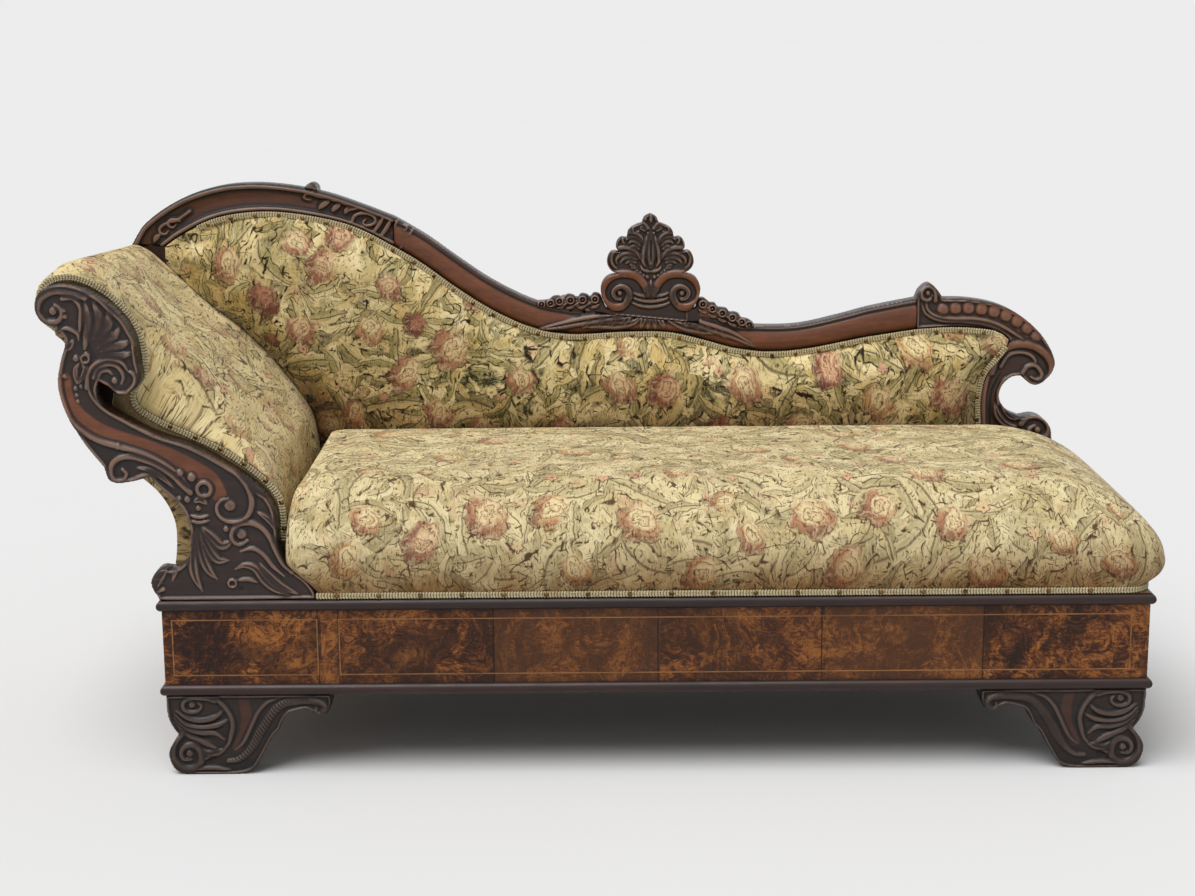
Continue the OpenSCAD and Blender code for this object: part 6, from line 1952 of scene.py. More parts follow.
@dataclass
class CarvedFrame:
    """The show wood: crest, ornament, upright, facing and feet."""

    lines: Lines
    materials: dict[str, bpy.types.Material]
    ground: float = 6 * MM

    def carved(self, node: str, slot: str, cell: float, strokes: list[tuple], carver: Carver,
               rim: float = 0.0, warm: float = 0.0, swell: float = 0.0, wood: str = "carved_wood") -> None:
        """Carve a node's face and let the result stand for it.

        Args:
            node: The node.
            slot: The slot of its wood.
            cell: Grid width.
            strokes: The cuts.
            carver: Where they lie.
            rim: Width of a bead along the outline.
            warm: How reddish the ground is.
            swell: How far the ground rises from the edge.
            wood: Its finish.
        """
        face = self.blank(node, cell)
        face.warm[:] = warm
        if swell:
            face.swell(swell, 12 * MM)
        if rim:
            half = rim / 2
            out = np.clip(1 - ((face.edge - half) / half) ** 2, 0, 1)
            bead = -face.ground + 5.0 * MM * np.sqrt(out)
            face.height = np.maximum(face.height, np.where(out > 0, bead, -np.inf))
        face.carve(strokes, carver)
        self.done(face, node, slot, wood)

    def blank(self, node: str, cell: float) -> Relief:
        """Lay a grid over a node's front face."""
        low, high = box_of(node)
        return Relief(face_outline(node), low[1], high[1], cell=cell, ground=self.ground)

    def done(self, face: Relief, node: str, slot: str, wood: str = "carved_wood") -> None:
        """Mesh a carved face and hand it over."""
        piece = face.mesh(f"carved_{node}")
        Finish.dress(piece, self.materials[wood])
        settle(piece, slot, node)

    def build(self) -> None:
        """Carve everything."""
        front, crest, top = SIZE.facing_front, SIZE.back_y, SIZE.back_y - 4 * MM
        self.carved("arm_facing", "dark_wood", 1.35 * MM, FACING_CUTS, Carver(front), rim=7 * MM,
                    swell=1.2 * MM)
        for side, mirror in (("left", False), ("right", True)):
            self.carved(f"foot_front_{side}", "dark_wood", 1.3 * MM, FOOT_CUTS,
                        Carver(front, FOOT_CLOSE, mirror), rim=5 * MM, warm=0.04, swell=1.5 * MM,
                        wood="foot_wood")
        cuts = mirrored(TOP_HALF_CUTS, TOP_MIDDLE) + TOP_MIDDLE_CUTS
        self.carved("palmette", "dark_wood", 1.1 * MM, cuts, Carver(top, TOP_CLOSE), rim=4 * MM,
                    swell=1.5 * MM)
        self.carved("scroll_upright", "show_wood", 1.5 * MM, UPRIGHT_CUTS, Carver(crest, SIDE_CLOSE),
                    rim=6 * MM, warm=0.15, swell=1.5 * MM)
        self.hump(crest)
        self.long_rail(crest)
        for side, (outline, curls) in STRIPS.items():
            self.strip(side, outline, curls)

    def strip(self, side: str, outline: list[Point], curls: list[Point]) -> None:
        """Carve the strip of curls on one side of the ornament.

        Args:
            side: Left or right.
            outline: Its outline.
            curls: Middles of its curls.
        """
        plane = SIZE.back_y - 4 * MM
        at = Carver(plane)
        edge = at.places(outline)
        if side == "left":
            edge = edge[::-1]
        face = Relief(curve([tuple(p) for p in edge], 6, closed=True), plane, SIZE.back_y + 24 * MM,
                      cell=1.0 * MM, ground=self.ground)
        lean = -1 if side == "left" else 1
        cuts = []
        for x, y in curls:
            cuts += [(cut, width, height, [(x + dx * lean, y + dy) for dx, dy in line])
                     for cut, width, height, line in CURL_CUTS]
        face.carve(cuts, at)
        piece = face.mesh(f"carved_strip_{side}")
        Finish.dress(piece, self.materials["carved_wood"])
        settle(piece, "dark_wood")

    def hump(self, plane: float) -> None:
        """Mould and carve the hump over the head end."""
        face = self.blank("crest_left", 1.6 * MM)
        lines = self.lines
        face.moulded(lines.hump_top, lines.hump_under, [
            (0, -5, 0), (0.2, -5, 0), (0.235, -6, 0.3), (0.3, -7.2, 0.6), (0.5, -7.8, 0.6),
            (0.68, -6.8, 0.6), (0.755, -5, 0.4), (0.79, -6.5, 0), (1, -5, 0)],
            [(0.1, 0.09, 6.5), (0.9, 0.1, 7.5)])
        face.carve(HUMP_CUTS, Carver(plane, HUMP_CLOSE))
        self.done(face, "crest_left", "show_wood")

    def long_rail(self, plane: float) -> None:
        """Mould and carve the long rail."""
        face = self.blank("crest_middle", 1.7 * MM)
        lines = self.lines
        face.moulded(lines.rail_top, lines.rail_under, [
            (0, -5, 0.5), (0.06, -2.6, 1), (0.2, -0.4, 1), (0.42, 0.9, 1), (0.62, 0.5, 1), (0.76, -1.2, 1),
            (0.83, -3.4, 0.6), (0.86, -4.6, 0), (0.9, -2.4, 0.3), (0.96, -2.2, 0.3), (1, -4.5, 0)], [])
        face.carve(CREST_CLOSE_CUTS, Carver(plane, TOP_CLOSE))
        face.carve(COLLAR_CUTS, Carver(plane, HUMP_CLOSE))
        self.done(face, "crest_middle", "show_wood")


# Cloth over stuffing

SEAT_ROSES = [(750, 535), (1065, 540), (575, 570), (640, 520), (550, 508), (485, 515), (810, 515), (955, 520),
              (880, 505), (425, 540), (700, 575), (845, 570), (985, 572), (345, 560), (1120, 560)]
BACK_ROSES = [(322, 265), (389, 286), (370, 330), (228, 265), (355, 412), (440, 412), (665, 390), (620, 388),
              (915, 345), (300, 330), (265, 300), (450, 350), (520, 380), (560, 430), (745, 385),
              (830, 370), (480, 430), (720, 430), (880, 400), (800, 425), (950, 395), (405, 375),
              (340, 235)]
HEAD_ROSES = [(150, 300), (215, 325), (130, 270), (205, 375), (240, 425), (285, 420), (175, 345), (262, 465)]
"""Where the photograph shows roses on the seat, the back and the head end."""

CLOTH_RULES = {"quality": 5, "mass": 0.35, "tension_stiffness": 12, "compression_stiffness": 12,
               "shear_stiffness": 4, "bending_stiffness": 0.6, "air_damping": 4, "use_pressure": True,
               "uniform_pressure_force": 4, "shrink_min": -0.02}
"""How the covering cloth behaves while air presses it outwards."""


@dataclass
class Skin:
    """A sheet of covering cloth as a grid of points."""

    points: np.ndarray
    spread: np.ndarray
    quads: np.ndarray

    @classmethod
    def of_rows(cls, rows: np.ndarray, spread: np.ndarray, closed: bool = False) -> "Skin":
        """Join rows of points with quads.

        Args:
            rows: Rows, columns and three numbers.
            spread: For each point its place on the flat cloth.
            closed: Whether each row's ends meet.

        Returns:
            The skin.
        """
        n, m = rows.shape[:2]
        index = np.arange(n * m).reshape(n, m)
        if closed:
            index = np.hstack([index, index[:, :1]])
        quads = np.stack([index[:-1, :-1], index[:-1, 1:], index[1:, 1:], index[1:, :-1]], axis=-1)
        return cls(rows.reshape(-1, 3), spread.reshape(-1, 2), quads.reshape(-1, 4))


@dataclass
class Cushion:
    """One upholstered part: its cloth is puffed by a simulation and nailed at its edge."""

    name: str
    node: str
    stuffing: str
    skin: Skin
    material: bpy.types.Material
    fibre: bpy.types.Material
    roses: list[Point]
    rose_size: float
    leafy: float
    seed: int
    swell: float = 8 * MM
    fill: float = 0.85
    wall: float = 1.8 * MM
    frames: int = 14
    pitch: float = 0.095
    kinds: tuple[float, float] = (0.05, 0.7)

    def build(self) -> bpy.types.Object:
        """Make the cover and the stuffing under it.

        Returns:
            The cover.
        """
        piece = new_piece(self.name, self.skin.points, self.skin.quads.tolist())
        cloth_layer(piece.data, self.skin.spread)
        with editing(piece.data) as weld:
            bmesh.ops.remove_doubles(weld, verts=weld.verts, dist=0.2 * MM)
            bmesh.ops.dissolve_degenerate(weld, dist=1e-6, edges=weld.edges)
        self.puff(piece)
        keep_modified(piece, "SUBSURF", levels=1, render_levels=1, boundary_smooth="PRESERVE_CORNERS")
        self.paint(piece)
        keep_modified(piece, "SOLIDIFY", thickness=self.wall, offset=-1.0, use_even_offset=False)
        piece.data.shade_smooth()
        Finish.dress(piece, self.material)
        settle(piece, "tapestry", self.node)
        self.pack_fibre()
        return piece

    def puff(self, piece: bpy.types.Object) -> None:
        """Let air press the nailed cloth outwards, and keep the move within bounds.

        Args:
            piece: The cover's mesh, changed in place.
        """
        mesh = piece.data
        before, normals = read(mesh.vertices, "co", 3), read(mesh.vertices, "normal", 3)
        shape = bmesh.new()
        shape.from_mesh(mesh)
        border = [v.index for v in shape.verts if v.is_boundary]
        shape.free()
        group = piece.vertex_groups.new(name="nailed")
        group.add(border, 1.0, "REPLACE")
        cloth = piece.modifiers.new("cloth", "CLOTH")
        for name, value in CLOTH_RULES.items():
            setattr(cloth.settings, name, value)
        cloth.settings.vertex_group_mass = group.name
        cloth.settings.effector_weights.gravity = 0
        cloth.point_cache.frame_start = 1
        cloth.point_cache.frame_end = self.frames
        scene = bpy.context.scene
        for frame_number in range(1, self.frames + 1):
            scene.frame_set(frame_number)
        evaluated = piece.evaluated_get(bpy.context.evaluated_depsgraph_get())
        after = read(evaluated.data.vertices, "co", 3)
        piece.modifiers.remove(cloth)
        piece.vertex_groups.clear()
        scene.frame_set(1)
        move = after - before
        out = np.sum(move * normals, axis=1)
        held = np.clip(out, -0.2 * MM, None)
        held = self.swell * np.tanh(held / self.swell)
        slide = move - out[:, None] * normals
        length = np.linalg.norm(slide, axis=1, keepdims=True)
        slide *= np.minimum(1, 3 * MM / np.maximum(length, 1e-9))
        mesh.vertices.foreach_set("co", (before + slide + held[:, None] * normals).ravel())
        LOG.info("%s: puffed by up to %.1f mm", self.name, float(held.max()) / MM)

    def paint(self, piece: bpy.types.Object) -> None:
        """Tell the cloth where its roses are, how leafy it is and how far it is darkened.

        Args:
            piece: The cover.
        """
        mesh = piece.data
        flat = read(mesh.uv_layers["cloth"].data, "uv", 2)
        points = read(mesh.vertices, "co", 3) - ORIGIN
        pixels = VIEW.pixels(points)
        place = np.zeros((len(points), 2))
        place[read(mesh.loops, "vertex_index", kind=np.int32)] = flat
        spots, sizes, kinds, turns = self.scattered(flat, points, pixels, place)
        totals = read(mesh.polygons, "loop_total", kind=np.int32)
        starts = read(mesh.polygons, "loop_start", kind=np.int32)
        middles = np.add.reduceat(flat, starts, axis=0) / totals[:, None]
        chosen = np.empty(len(middles), dtype=int)
        for k in range(0, len(middles), 4096):
            gap = middles[k : k + 4096, None, :] - spots[None]
            chosen[k : k + 4096] = np.argmin(np.hypot(gap[..., 0], gap[..., 1]) / sizes, axis=1)
        of_corner = np.repeat(chosen, totals)
        x, y = ((flat - spots[of_corner]) / sizes[of_corner][:, None]).T
        turn = turns[of_corner]
        c, s = np.cos(turn), np.sin(turn)
        squash = 1 + 0.35 * np.abs(np.sin(7 * turn))
        flower = np.column_stack([(c * x + s * y) * squash, c * y - s * x, kinds[of_corner]])
        vector_layer(mesh, "flower", flower, "CORNER")
        float_layer(mesh, "leafy", self.leafiness(points, pixels))
        float_layer(mesh, "soil_and_shade", self.soiled_and_shaded(points))

    def scattered(self, flat: np.ndarray, points: np.ndarray, pixels: np.ndarray,
                  place: np.ndarray) -> tuple[np.ndarray, ...]:
        """Choose where the roses go: first those that the photograph shows, then others between them.

        Args:
            flat: Every corner's place on the flat cloth.
            points: The cover's points.
            pixels: Where they show in the photograph.
            place: Their places on the flat cloth.

        Returns:
            The roses' places, sizes, kinds and turns.
        """
        spots, sizes, kinds, turns = [], [], [], []
        rng = np.random.default_rng(self.seed)
        for px, py in self.roses:
            far = np.hypot(pixels[:, 0] - px, pixels[:, 1] - py)
            deep = points[:, 1] + 40 * far * MM
            nearest = int(np.argmin(np.where(far < 6, deep, 1e3 + far)))
            if far[nearest] < 12:
                spots.append(place[nearest])
                sizes.append(self.rose_size * rng.uniform(0.9, 1.35))
                kinds.append(rng.uniform(*self.kinds))
                turns.append(rng.uniform(-0.9, 0.9))
        low, high = flat.min(axis=0), flat.max(axis=0)
        for u in np.arange(low[0], high[0], self.pitch):
            for v in np.arange(low[1], high[1], self.pitch):
                spot = np.array([u, v]) + rng.uniform(-0.45, 0.45, 2) * self.pitch
                if all(np.hypot(*(spot - s)) > self.pitch * 0.62 for s in spots) and rng.random() < 0.55:
                    spots.append(spot)
                    sizes.append(self.rose_size * rng.uniform(0.5, 1.2))
                    kinds.append(rng.uniform(*self.kinds) ** 1.6)
                    turns.append(rng.uniform(-1.2, 1.2))
        return tuple(np.array(told) for told in (spots, sizes, kinds, turns))

    def leafiness(self, points: np.ndarray, pixels: np.ndarray) -> np.ndarray:
        """Say how green and dense the pattern is at each point of the cover."""
        return np.full(len(points), self.leafy)

    def soiled_and_shaded(self, points: np.ndarray) -> np.ndarray:
        """Say how much darker brown the cloth is at each point: most at the seat's lower edge."""
        return 1 - eased(points[:, 2], 0.318, 0.43)

    def pack_fibre(self) -> None:
        """Make lumpy stuffing over the CAD node's own form."""
        points, faces = merged_points(self.stuffing)
        piece = new_piece(f"{self.stuffing}_fibre", points, faces.tolist())
        rng = np.random.default_rng(self.seed + 5)
        with editing(piece.data) as shape:
            bmesh.ops.subdivide_edges(shape, edges=shape.edges, cuts=1, use_grid_fill=True)
            bmesh.ops.triangulate(shape, faces=shape.faces)
            shape.normal_update()
            for vertex in shape.verts:
                vertex.co -= vertex.normal * float(rng.uniform(0, 0.5)) * MM
        piece.data.shade_smooth()
        Finish.dress(piece, self.fibre)
        settle(piece, "stuffing", self.stuffing)


@dataclass
class BackCushion(Cushion):
    """The back's cloth, darker and greener towards the seat."""

    def leafiness(self, points: np.ndarray, pixels: np.ndarray) -> np.ndarray:
        """Say how green, dense and dark the pattern is at each point: more towards the seat, most at the
        lower left.
        """
        low = eased(pixels[:, 1], 300, 440)
        left = eased(-pixels[:, 0], -640, -470)
        return np.clip(self.leafy + 0.35 * low + 0.3 * low * left, 0, 1)

    def soiled_and_shaded(self, points: np.ndarray) -> np.ndarray:
        """Say how much painted shade darkens the cloth: most in the crease over the seat and near the roll, a
        little all over.
        """
        crease = 1 - eased(points[:, 2], 0.47, 0.60)
        corner = (1 - eased(points[:, 0], -0.66, -0.40)) * (1 - eased(points[:, 2], 0.50, 0.72))
        return np.clip(0.06 + 0.7 * crease + 0.7 * corner, 0, 1)


def smoothed(values: list[float], steps: int) -> np.ndarray:
    """Run a smooth line through numbers that are evenly spaced.

    Args:
        values: The numbers.
        steps: Steps between two of them.

    Returns:
        The finer numbers.
    """
    p = np.array([2 * values[0] - values[1], *values, 2 * values[-1] - values[-2]])
    out = []
    for i in range(1, len(p) - 2):
        for k in range(steps):
            t = k / steps
            a, b, c, d = p[i - 1 : i + 3]
            out.append(0.5 * (2 * b + (c - a) * t + (2 * a - 5 * b + 4 * c - d) * t**2
                              + (3 * b - a - 3 * c + d) * t**3))
    return np.array([*out, values[-1]])


@dataclass
class SeatShape:
    """The seat's outside: drawn in at its foot, swelling, and rounding over to its crown."""

    corner: float = 46 * MM
    toe: float = 12 * MM
    heights: tuple[float, ...] = (0, 0.07, 0.14, 0.24, 0.34)
    left: tuple[float, ...] = (1.004, 1.001, 0.983, 0.939, 0.899)
    front: tuple[float, ...] = (0.1, 0.3, 0.7, 0.95, 1)
    end: tuple[float, ...] = (0.1, 0.3, 0.8, 1, 0.9)
    rounds: tuple[float, ...] = (20 * MM, 205 * MM, 130 * MM, 36 * MM)
    last_angle: float = 84.0
    arcs: int = 7
    across: int = 72
    deep: int = 24

    def ring(self, x0: float, x1: float, y0: float, y1: float, r: float, toe: float,
             z: float) -> np.ndarray:
        """Walk round a rounded rectangle, against the clock from its right rear corner.

        Args:
            x0: Left end.
            x1: Right end.
            y0: Front.
            y1: Rear.
            r: Radius of its corners.
            toe: Radius of the corners beside the head end.
            z: Its height.

        Returns:
            The points.
        """
        points = []
        corners = [(x1 - r, y1 - r, 0, self.across, r), (x0 + toe, y1 - toe, 90, self.deep, toe),
                   (x0 + toe, y0 + toe, 180, self.across, toe), (x1 - r, y0 + r, 270, self.deep, r)]
        for k, (cx, cy, start, straight, own) in enumerate(corners):
            turn = np.radians(start + 90 * np.arange(self.arcs + 1) / self.arcs)
            points.extend(np.stack([cx + own * np.cos(turn), cy + own * np.sin(turn)], axis=1))
            nx, ny, after, _, other = corners[(k + 1) % 4]
            after = math.radians(after)
            goal = np.array([nx + other * math.cos(after), ny + other * math.sin(after)])
            begin = np.array(points[-1])
            points.extend(begin + (goal - begin) * t for t in np.arange(1, straight) / straight)
        flat = np.array(points)
        return np.hstack([flat, np.full((len(flat), 1), z)])

    def skin(self) -> Skin:
        """Lay all rings.

        Returns:
            The seat's cloth.
        """
        s = SIZE
        right = s.base_l / 2
        h, left, front, end = (smoothed(list(v), 3) for v in (self.heights, self.left, self.front, self.end))
        proud = s.seat_proud + 0.002
        rings = []
        for k in range(len(h)):
            rings.append(self.ring(
                s.facing_x + left[k] * s.facing_w + s.gap,
                right + end[k] * s.seat_over - (1 - end[k]) * s.bead_proud,
                0.002 - front[k] * proud, s.seat_rear, self.corner, self.toe,
                s.top + s.gap + h[k] * s.seat_h))
        x0 = s.facing_x + left[-1] * s.facing_w + s.gap
        x1 = right + end[-1] * s.seat_over
        y0, z0 = 0.002 - front[-1] * proud, s.top + h[-1] * s.seat_h
        rise = s.top + s.seat_h - z0
        for angle in np.radians(np.linspace(0, self.last_angle, 17)[1:]):
            f = 1 - math.cos(angle)
            rings.append(self.ring(
                x0 + self.rounds[0] * f, x1 - self.rounds[1] * f**0.75, y0 + self.rounds[2] * f,
                s.seat_rear - self.rounds[3] * f, self.corner + 56 * MM * f, self.toe + 12 * MM * f,
                z0 + rise * math.sin(angle)))
        last = rings[-1]
        middle = (last[:, 1].min() + last[:, 1].max()) / 2
        half = (last[:, 1].max() - last[:, 1].min()) / 2
        goal = last.copy()
        goal[:, 0] = np.clip(last[:, 0], last[:, 0].min() + half, last[:, 0].max() - half)
        goal[:, 1] = middle
        goal[:, 2] = s.top + s.seat_h
        for t in np.linspace(0, 1, 13)[1:]:
            ring = last + (goal - last) * t
            ring[:, 2] = last[:, 2] + (goal[:, 2] - last[:, 2]) * math.sin(t * math.pi / 2)
            rings.append(ring)
        rows = np.array(rings)
        return Skin.of_rows(rows, self.spread(rows), closed=True)

    @staticmethod
    def spread(rows: np.ndarray) -> np.ndarray:
        """Lay the cloth flat: plain on top, and down its sides by the way the cloth goes."""
        top = 16 + 12
        flat = rows[..., :2].copy()
        for k in range(top, -1, -1):
            step = rows[k] - rows[k + 1]
            out = SeatShape.outward(rows[k])
            side = np.stack([-out[:, 1], out[:, 0]], axis=1)
            beside = np.sum(step[:, :2] * side, axis=1, keepdims=True)
            away = np.hypot(np.sum(step[:, :2] * out, axis=1), step[:, 2])[:, None]
            flat[k] = flat[k + 1] + beside * side + away * out
        return flat

    @staticmethod
    def outward(ring: np.ndarray) -> np.ndarray:
        """Give the level direction outwards at each point of a ring."""
        along_ring = np.roll(ring, -1, axis=0) - np.roll(ring, 1, axis=0)
        way = np.stack([along_ring[:, 1], -along_ring[:, 0]], axis=1)
        return way / np.maximum(np.linalg.norm(way, axis=1, keepdims=True), 1e-9)


@dataclass
class BackShape:
    """The back's cloth between roll, crest, upright and bottom rail."""

    lines: Lines
    columns: int = 120
    rows: int = 30
    flange: float = 16.2 * MM
    side: float = 60 * MM
    foot: float = 30 * MM

    def border(self) -> np.ndarray:
        """Follow the head end's cloth at the back, where the back's cloth disappears behind it."""
        l = self.lines
        rear = HeadShape(l).section(SIZE.pad_rear)[: ROLL_POINTS * l.fine]
        keep = (rear[:, 1] > l.foot_z + SIZE.cover_t) & (rear[:, 1] < l.crest[0][1] - 8 * MM)
        first = np.array([rear[keep][0][0], l.foot_z])
        return np.vstack([first, rear[keep], l.crest[0]])

    def skin(self) -> Skin:
        """Lay the grid.

        Returns:
            The back's cloth.
        """
        l = self.lines
        u = np.concatenate([[0, 0.006], np.linspace(0.012, 0.988, self.columns - 3), [0.994, 1]])
        v = np.concatenate([[0], np.linspace(0.03, 0.9, self.rows - 5), [0.925, 0.95, 0.975, 1]])
        top, left, right = along(l.crest, u), along(l.left, v), along(l.upright, v)
        foot = l.left[0] + (l.upright[0] - l.left[0]) * u[:, None]
        uu, vv = u[None, :, None], v[:, None, None]
        corner = l.crest[0] + (l.crest[-1] - l.crest[0]) * u[:, None]
        p = (foot[None] + (top - foot)[None] * vv + left[:, None] + (right - left)[:, None] * uu
             - foot[None] - (corner - foot)[None] * vv)
        p = p + (along(self.border(), v) - left)[:, None] * (1 - eased(uu, 0.0, 0.13))
        wide = np.linalg.norm(right - left, axis=1)[:, None]
        run = foot - top
        run = run / np.linalg.norm(run, axis=1, keepdims=True)
        way = np.gradient(top, axis=0)
        way = way / np.linalg.norm(way, axis=1, keepdims=True)
        square = np.maximum(0.4, np.abs(run[:, 0] * way[:, 1] - run[:, 1] * way[:, 0]))
        high = (np.linalg.norm(top - foot, axis=1) * square)[None]
        u2, v2 = u[None, :], v[:, None]

        def rise(far: np.ndarray, width: float) -> np.ndarray:
            """Rise like a stuffed edge."""
            return np.sin(math.pi / 2 * np.clip(far / width, 0, 1))

        swell = (rise(u2 * wide - self.flange, self.side) * rise((1 - u2) * wide - self.flange, self.side)
                 * rise((1 - v2) * high - self.flange, self.side) * rise(v2 * high, self.foot))
        tucked = (1 - eased(u2, 0.02, 0.10)) * (1 - eased(v2, 0.86, 0.97))
        y = SIZE.back_y - SIZE.back_bulge * swell - 2.0 * MM * tucked
        rows = np.stack([p[..., 0], y, p[..., 1]], axis=-1)
        return Skin.of_rows(rows, p)


@dataclass
class HeadShape:
    """The head end's cloth, from the seat over the roll and in under it."""

    lines: Lines
    ease: float = 130 * MM
    sink: float = 26 * MM
    sink_from: float = 0.35
    rows: int = 40

    def section(self, y: float) -> np.ndarray:
        """Give the pad's section at a depth."""
        l, s = self.lines, SIZE
        t = np.clip((y - s.pad_front) / self.ease, 0, 1)
        share = math.sqrt(max(0.0, 1 - (1 - t) ** 2))
        line = l.pad_front + (l.pad_middle - l.pad_front) * share
        rear = max(0.0, y - s.pad_front - self.ease) / (s.pad_rear - s.pad_front - self.ease)
        i = np.arange(len(line)) / l.turn
        turn = np.maximum(0, (i - self.sink_from) / (1 - self.sink_from))
        return aside(line, rear * self.sink * np.sin(math.pi * turn))

    def skin(self) -> Skin:
        """Lay the grid.

        Returns:
            The head end's cloth.
        """
        s = SIZE
        share = np.linspace(0, 1, self.rows) ** 1.35
        depths = s.pad_front + (s.pad_rear - s.pad_front) * share
        sections = [self.section(float(y))[: self.lines.turn + 1] for y in depths]
        rows = np.array([upright(p, y) for p, y in zip(sections, depths)])
        skin = Skin.of_rows(rows, grid_of(arc(sections[len(sections) // 2]), depths))
        skin.quads = skin.quads[:, ::-1]
        return skin


@dataclass
class Cloths:
    """The sheets that are only stretched over the frame."""

    lines: Lines
    materials: dict[str, bpy.types.Material]

    def build(self) -> None:
        """Make the five sheets."""
        for make in (self.rear, self.outside, self.waist, self.crease, self.dust):
            make()

    def sheet(self, name: str, skin: Skin, slot: str, node: str, material: str, wall: float) -> None:
        """Turn a skin into a sheet.

        Args:
            name: Its name.
            skin: Its shape.
            slot: Its slot.
            node: The node that it replaces.
            material: Its material.
            wall: Its thickness.
        """
        piece = new_piece(name, skin.points, skin.quads.tolist())
        cloth_layer(piece.data, skin.spread)
        float_layer(piece.data, "leafy", np.full(len(skin.points), 0.35))
        # The sheets get half of the darkening, painted shade included, that the cushions' attribute gives.
        float_layer(piece.data, "soil_and_shade", np.full(len(skin.points), 0.5))
        no_rose = np.full((len(piece.data.loops), 3), 9.0)
        vector_layer(piece.data, "flower", no_rose, "CORNER")
        keep_modified(piece, "SOLIDIFY", thickness=wall, offset=-1.0)
        piece.data.shade_smooth()
        piece.data.set_sharp_from_angle(angle=math.radians(50))
        Finish.dress(piece, self.materials[material])
        settle(piece, slot, *([node] if node else []))

    def waist(self) -> None:
        """Turn the head end's cloth round the scroll board's edge, where it shows beside the facing."""
        s, l = SIZE, self.lines
        outer = l.pad_front[l.turn + 1 :]
        outer = outer[(outer[:, 1] > s.top + 0.03)]
        shares = np.linspace(0, 1, 9)
        inner = aside(outer, 30 * MM)
        rows = outer[None] + (inner - outer)[None] * shares[:, None, None]
        y = s.pad_front - 0.6 * MM - 0.9 * MM * np.sin(math.pi * shares)[:, None]
        rows = np.stack([rows[..., 0], np.broadcast_to(y, rows.shape[:2]), rows[..., 1]], axis=-1)
        run = arc(outer)
        skin = Skin.of_rows(rows, grid_of(run, 30 * MM * shares))
        self.sheet("waist_cloth", skin, "tapestry", "", "tapestry_head", 0.5 * MM)

    def crease(self) -> None:
        """Tuck cloth down between the seat and the head end, where both covers are nailed."""
        x0 = box_of("arm_cover")[1][0] - 30 * MM
        x1 = box_of("seat_cover")[0][0] + 62 * MM
        x, y = np.meshgrid(np.linspace(x0, x1, 25), np.linspace(44 * MM, SIZE.seat_rear - 2 * MM, 60),
                           indexing="ij")
        pull = np.sin(y * 160) * 0.6 * MM
        sag = 2 * MM * np.sin(math.pi * (x - x0) / (x1 - x0))
        rows = np.stack([x, y, SIZE.top + 2 * MM + pull - sag], axis=-1)
        skin = Skin.of_rows(rows, rows[..., :2].copy())
        skin.quads = skin.quads[:, ::-1]
        self.sheet("crease_cloth", skin, "tapestry", "", "tapestry_head", 0.8 * MM)

    def rear(self) -> None:
        """Stretch plain cloth over the back."""
        face = Relief(face_outline("outside_back_cover", rear=True), 0, 0, cell=9 * MM, ground=0)
        pull = np.sin(face.x * 70) * np.exp(-face.edge / (7 * MM)) * 0.3 * MM
        face.height[:] = pull
        points, quads = face.skin()
        low, high = box_of("outside_back_cover")
        points[:, 1] = high[1] - np.abs(points[:, 1])
        skin = Skin(points, points[:, [0, 2]], quads[:, ::-1])
        self.sheet("outside_back_cloth", skin, "lining_cloth", "outside_back_cover", "lining", 1.2 * MM)

    def outside(self) -> None:
        """Stretch the covering cloth under the roll, on the head end's outside."""
        s, l = SIZE, self.lines
        line = np.vstack([l.pad_middle[l.turn + 1 :], [s.facing_x + 0.435 * s.facing_w, s.top + 3 * s.gap]])
        depths = np.linspace(s.pad_front, s.pad_rear, 30)
        run = arc(line)
        skin = Skin.of_rows(np.array([upright(line, y) for y in depths]), grid_of(run, depths))
        skin.quads = skin.quads[:, ::-1]
        self.sheet("arm_outside_cloth", skin, "tapestry", "arm_outside_cover", "tapestry_head", 1.8 * MM)

    def dust(self) -> None:
        """Stretch the dust cover under the seat."""
        low, high = box_of("dust_cover")
        x, y = np.meshgrid(np.linspace(low[0], high[0], 90), np.linspace(low[1], high[1], 34), indexing="ij")
        sag = (np.sin(math.pi * (x - low[0]) / (high[0] - low[0]))
               * np.sin(math.pi * (y - low[1]) / (high[1] - low[1])))
        rows = np.stack([x, y, low[2] - 2.5 * MM * sag], axis=-1)
        skin = Skin.of_rows(rows, rows[..., :2].copy())
        self.sheet("dust_cloth", skin, "lining_cloth", "dust_cover", "dust", 1.0 * MM)


# Trim


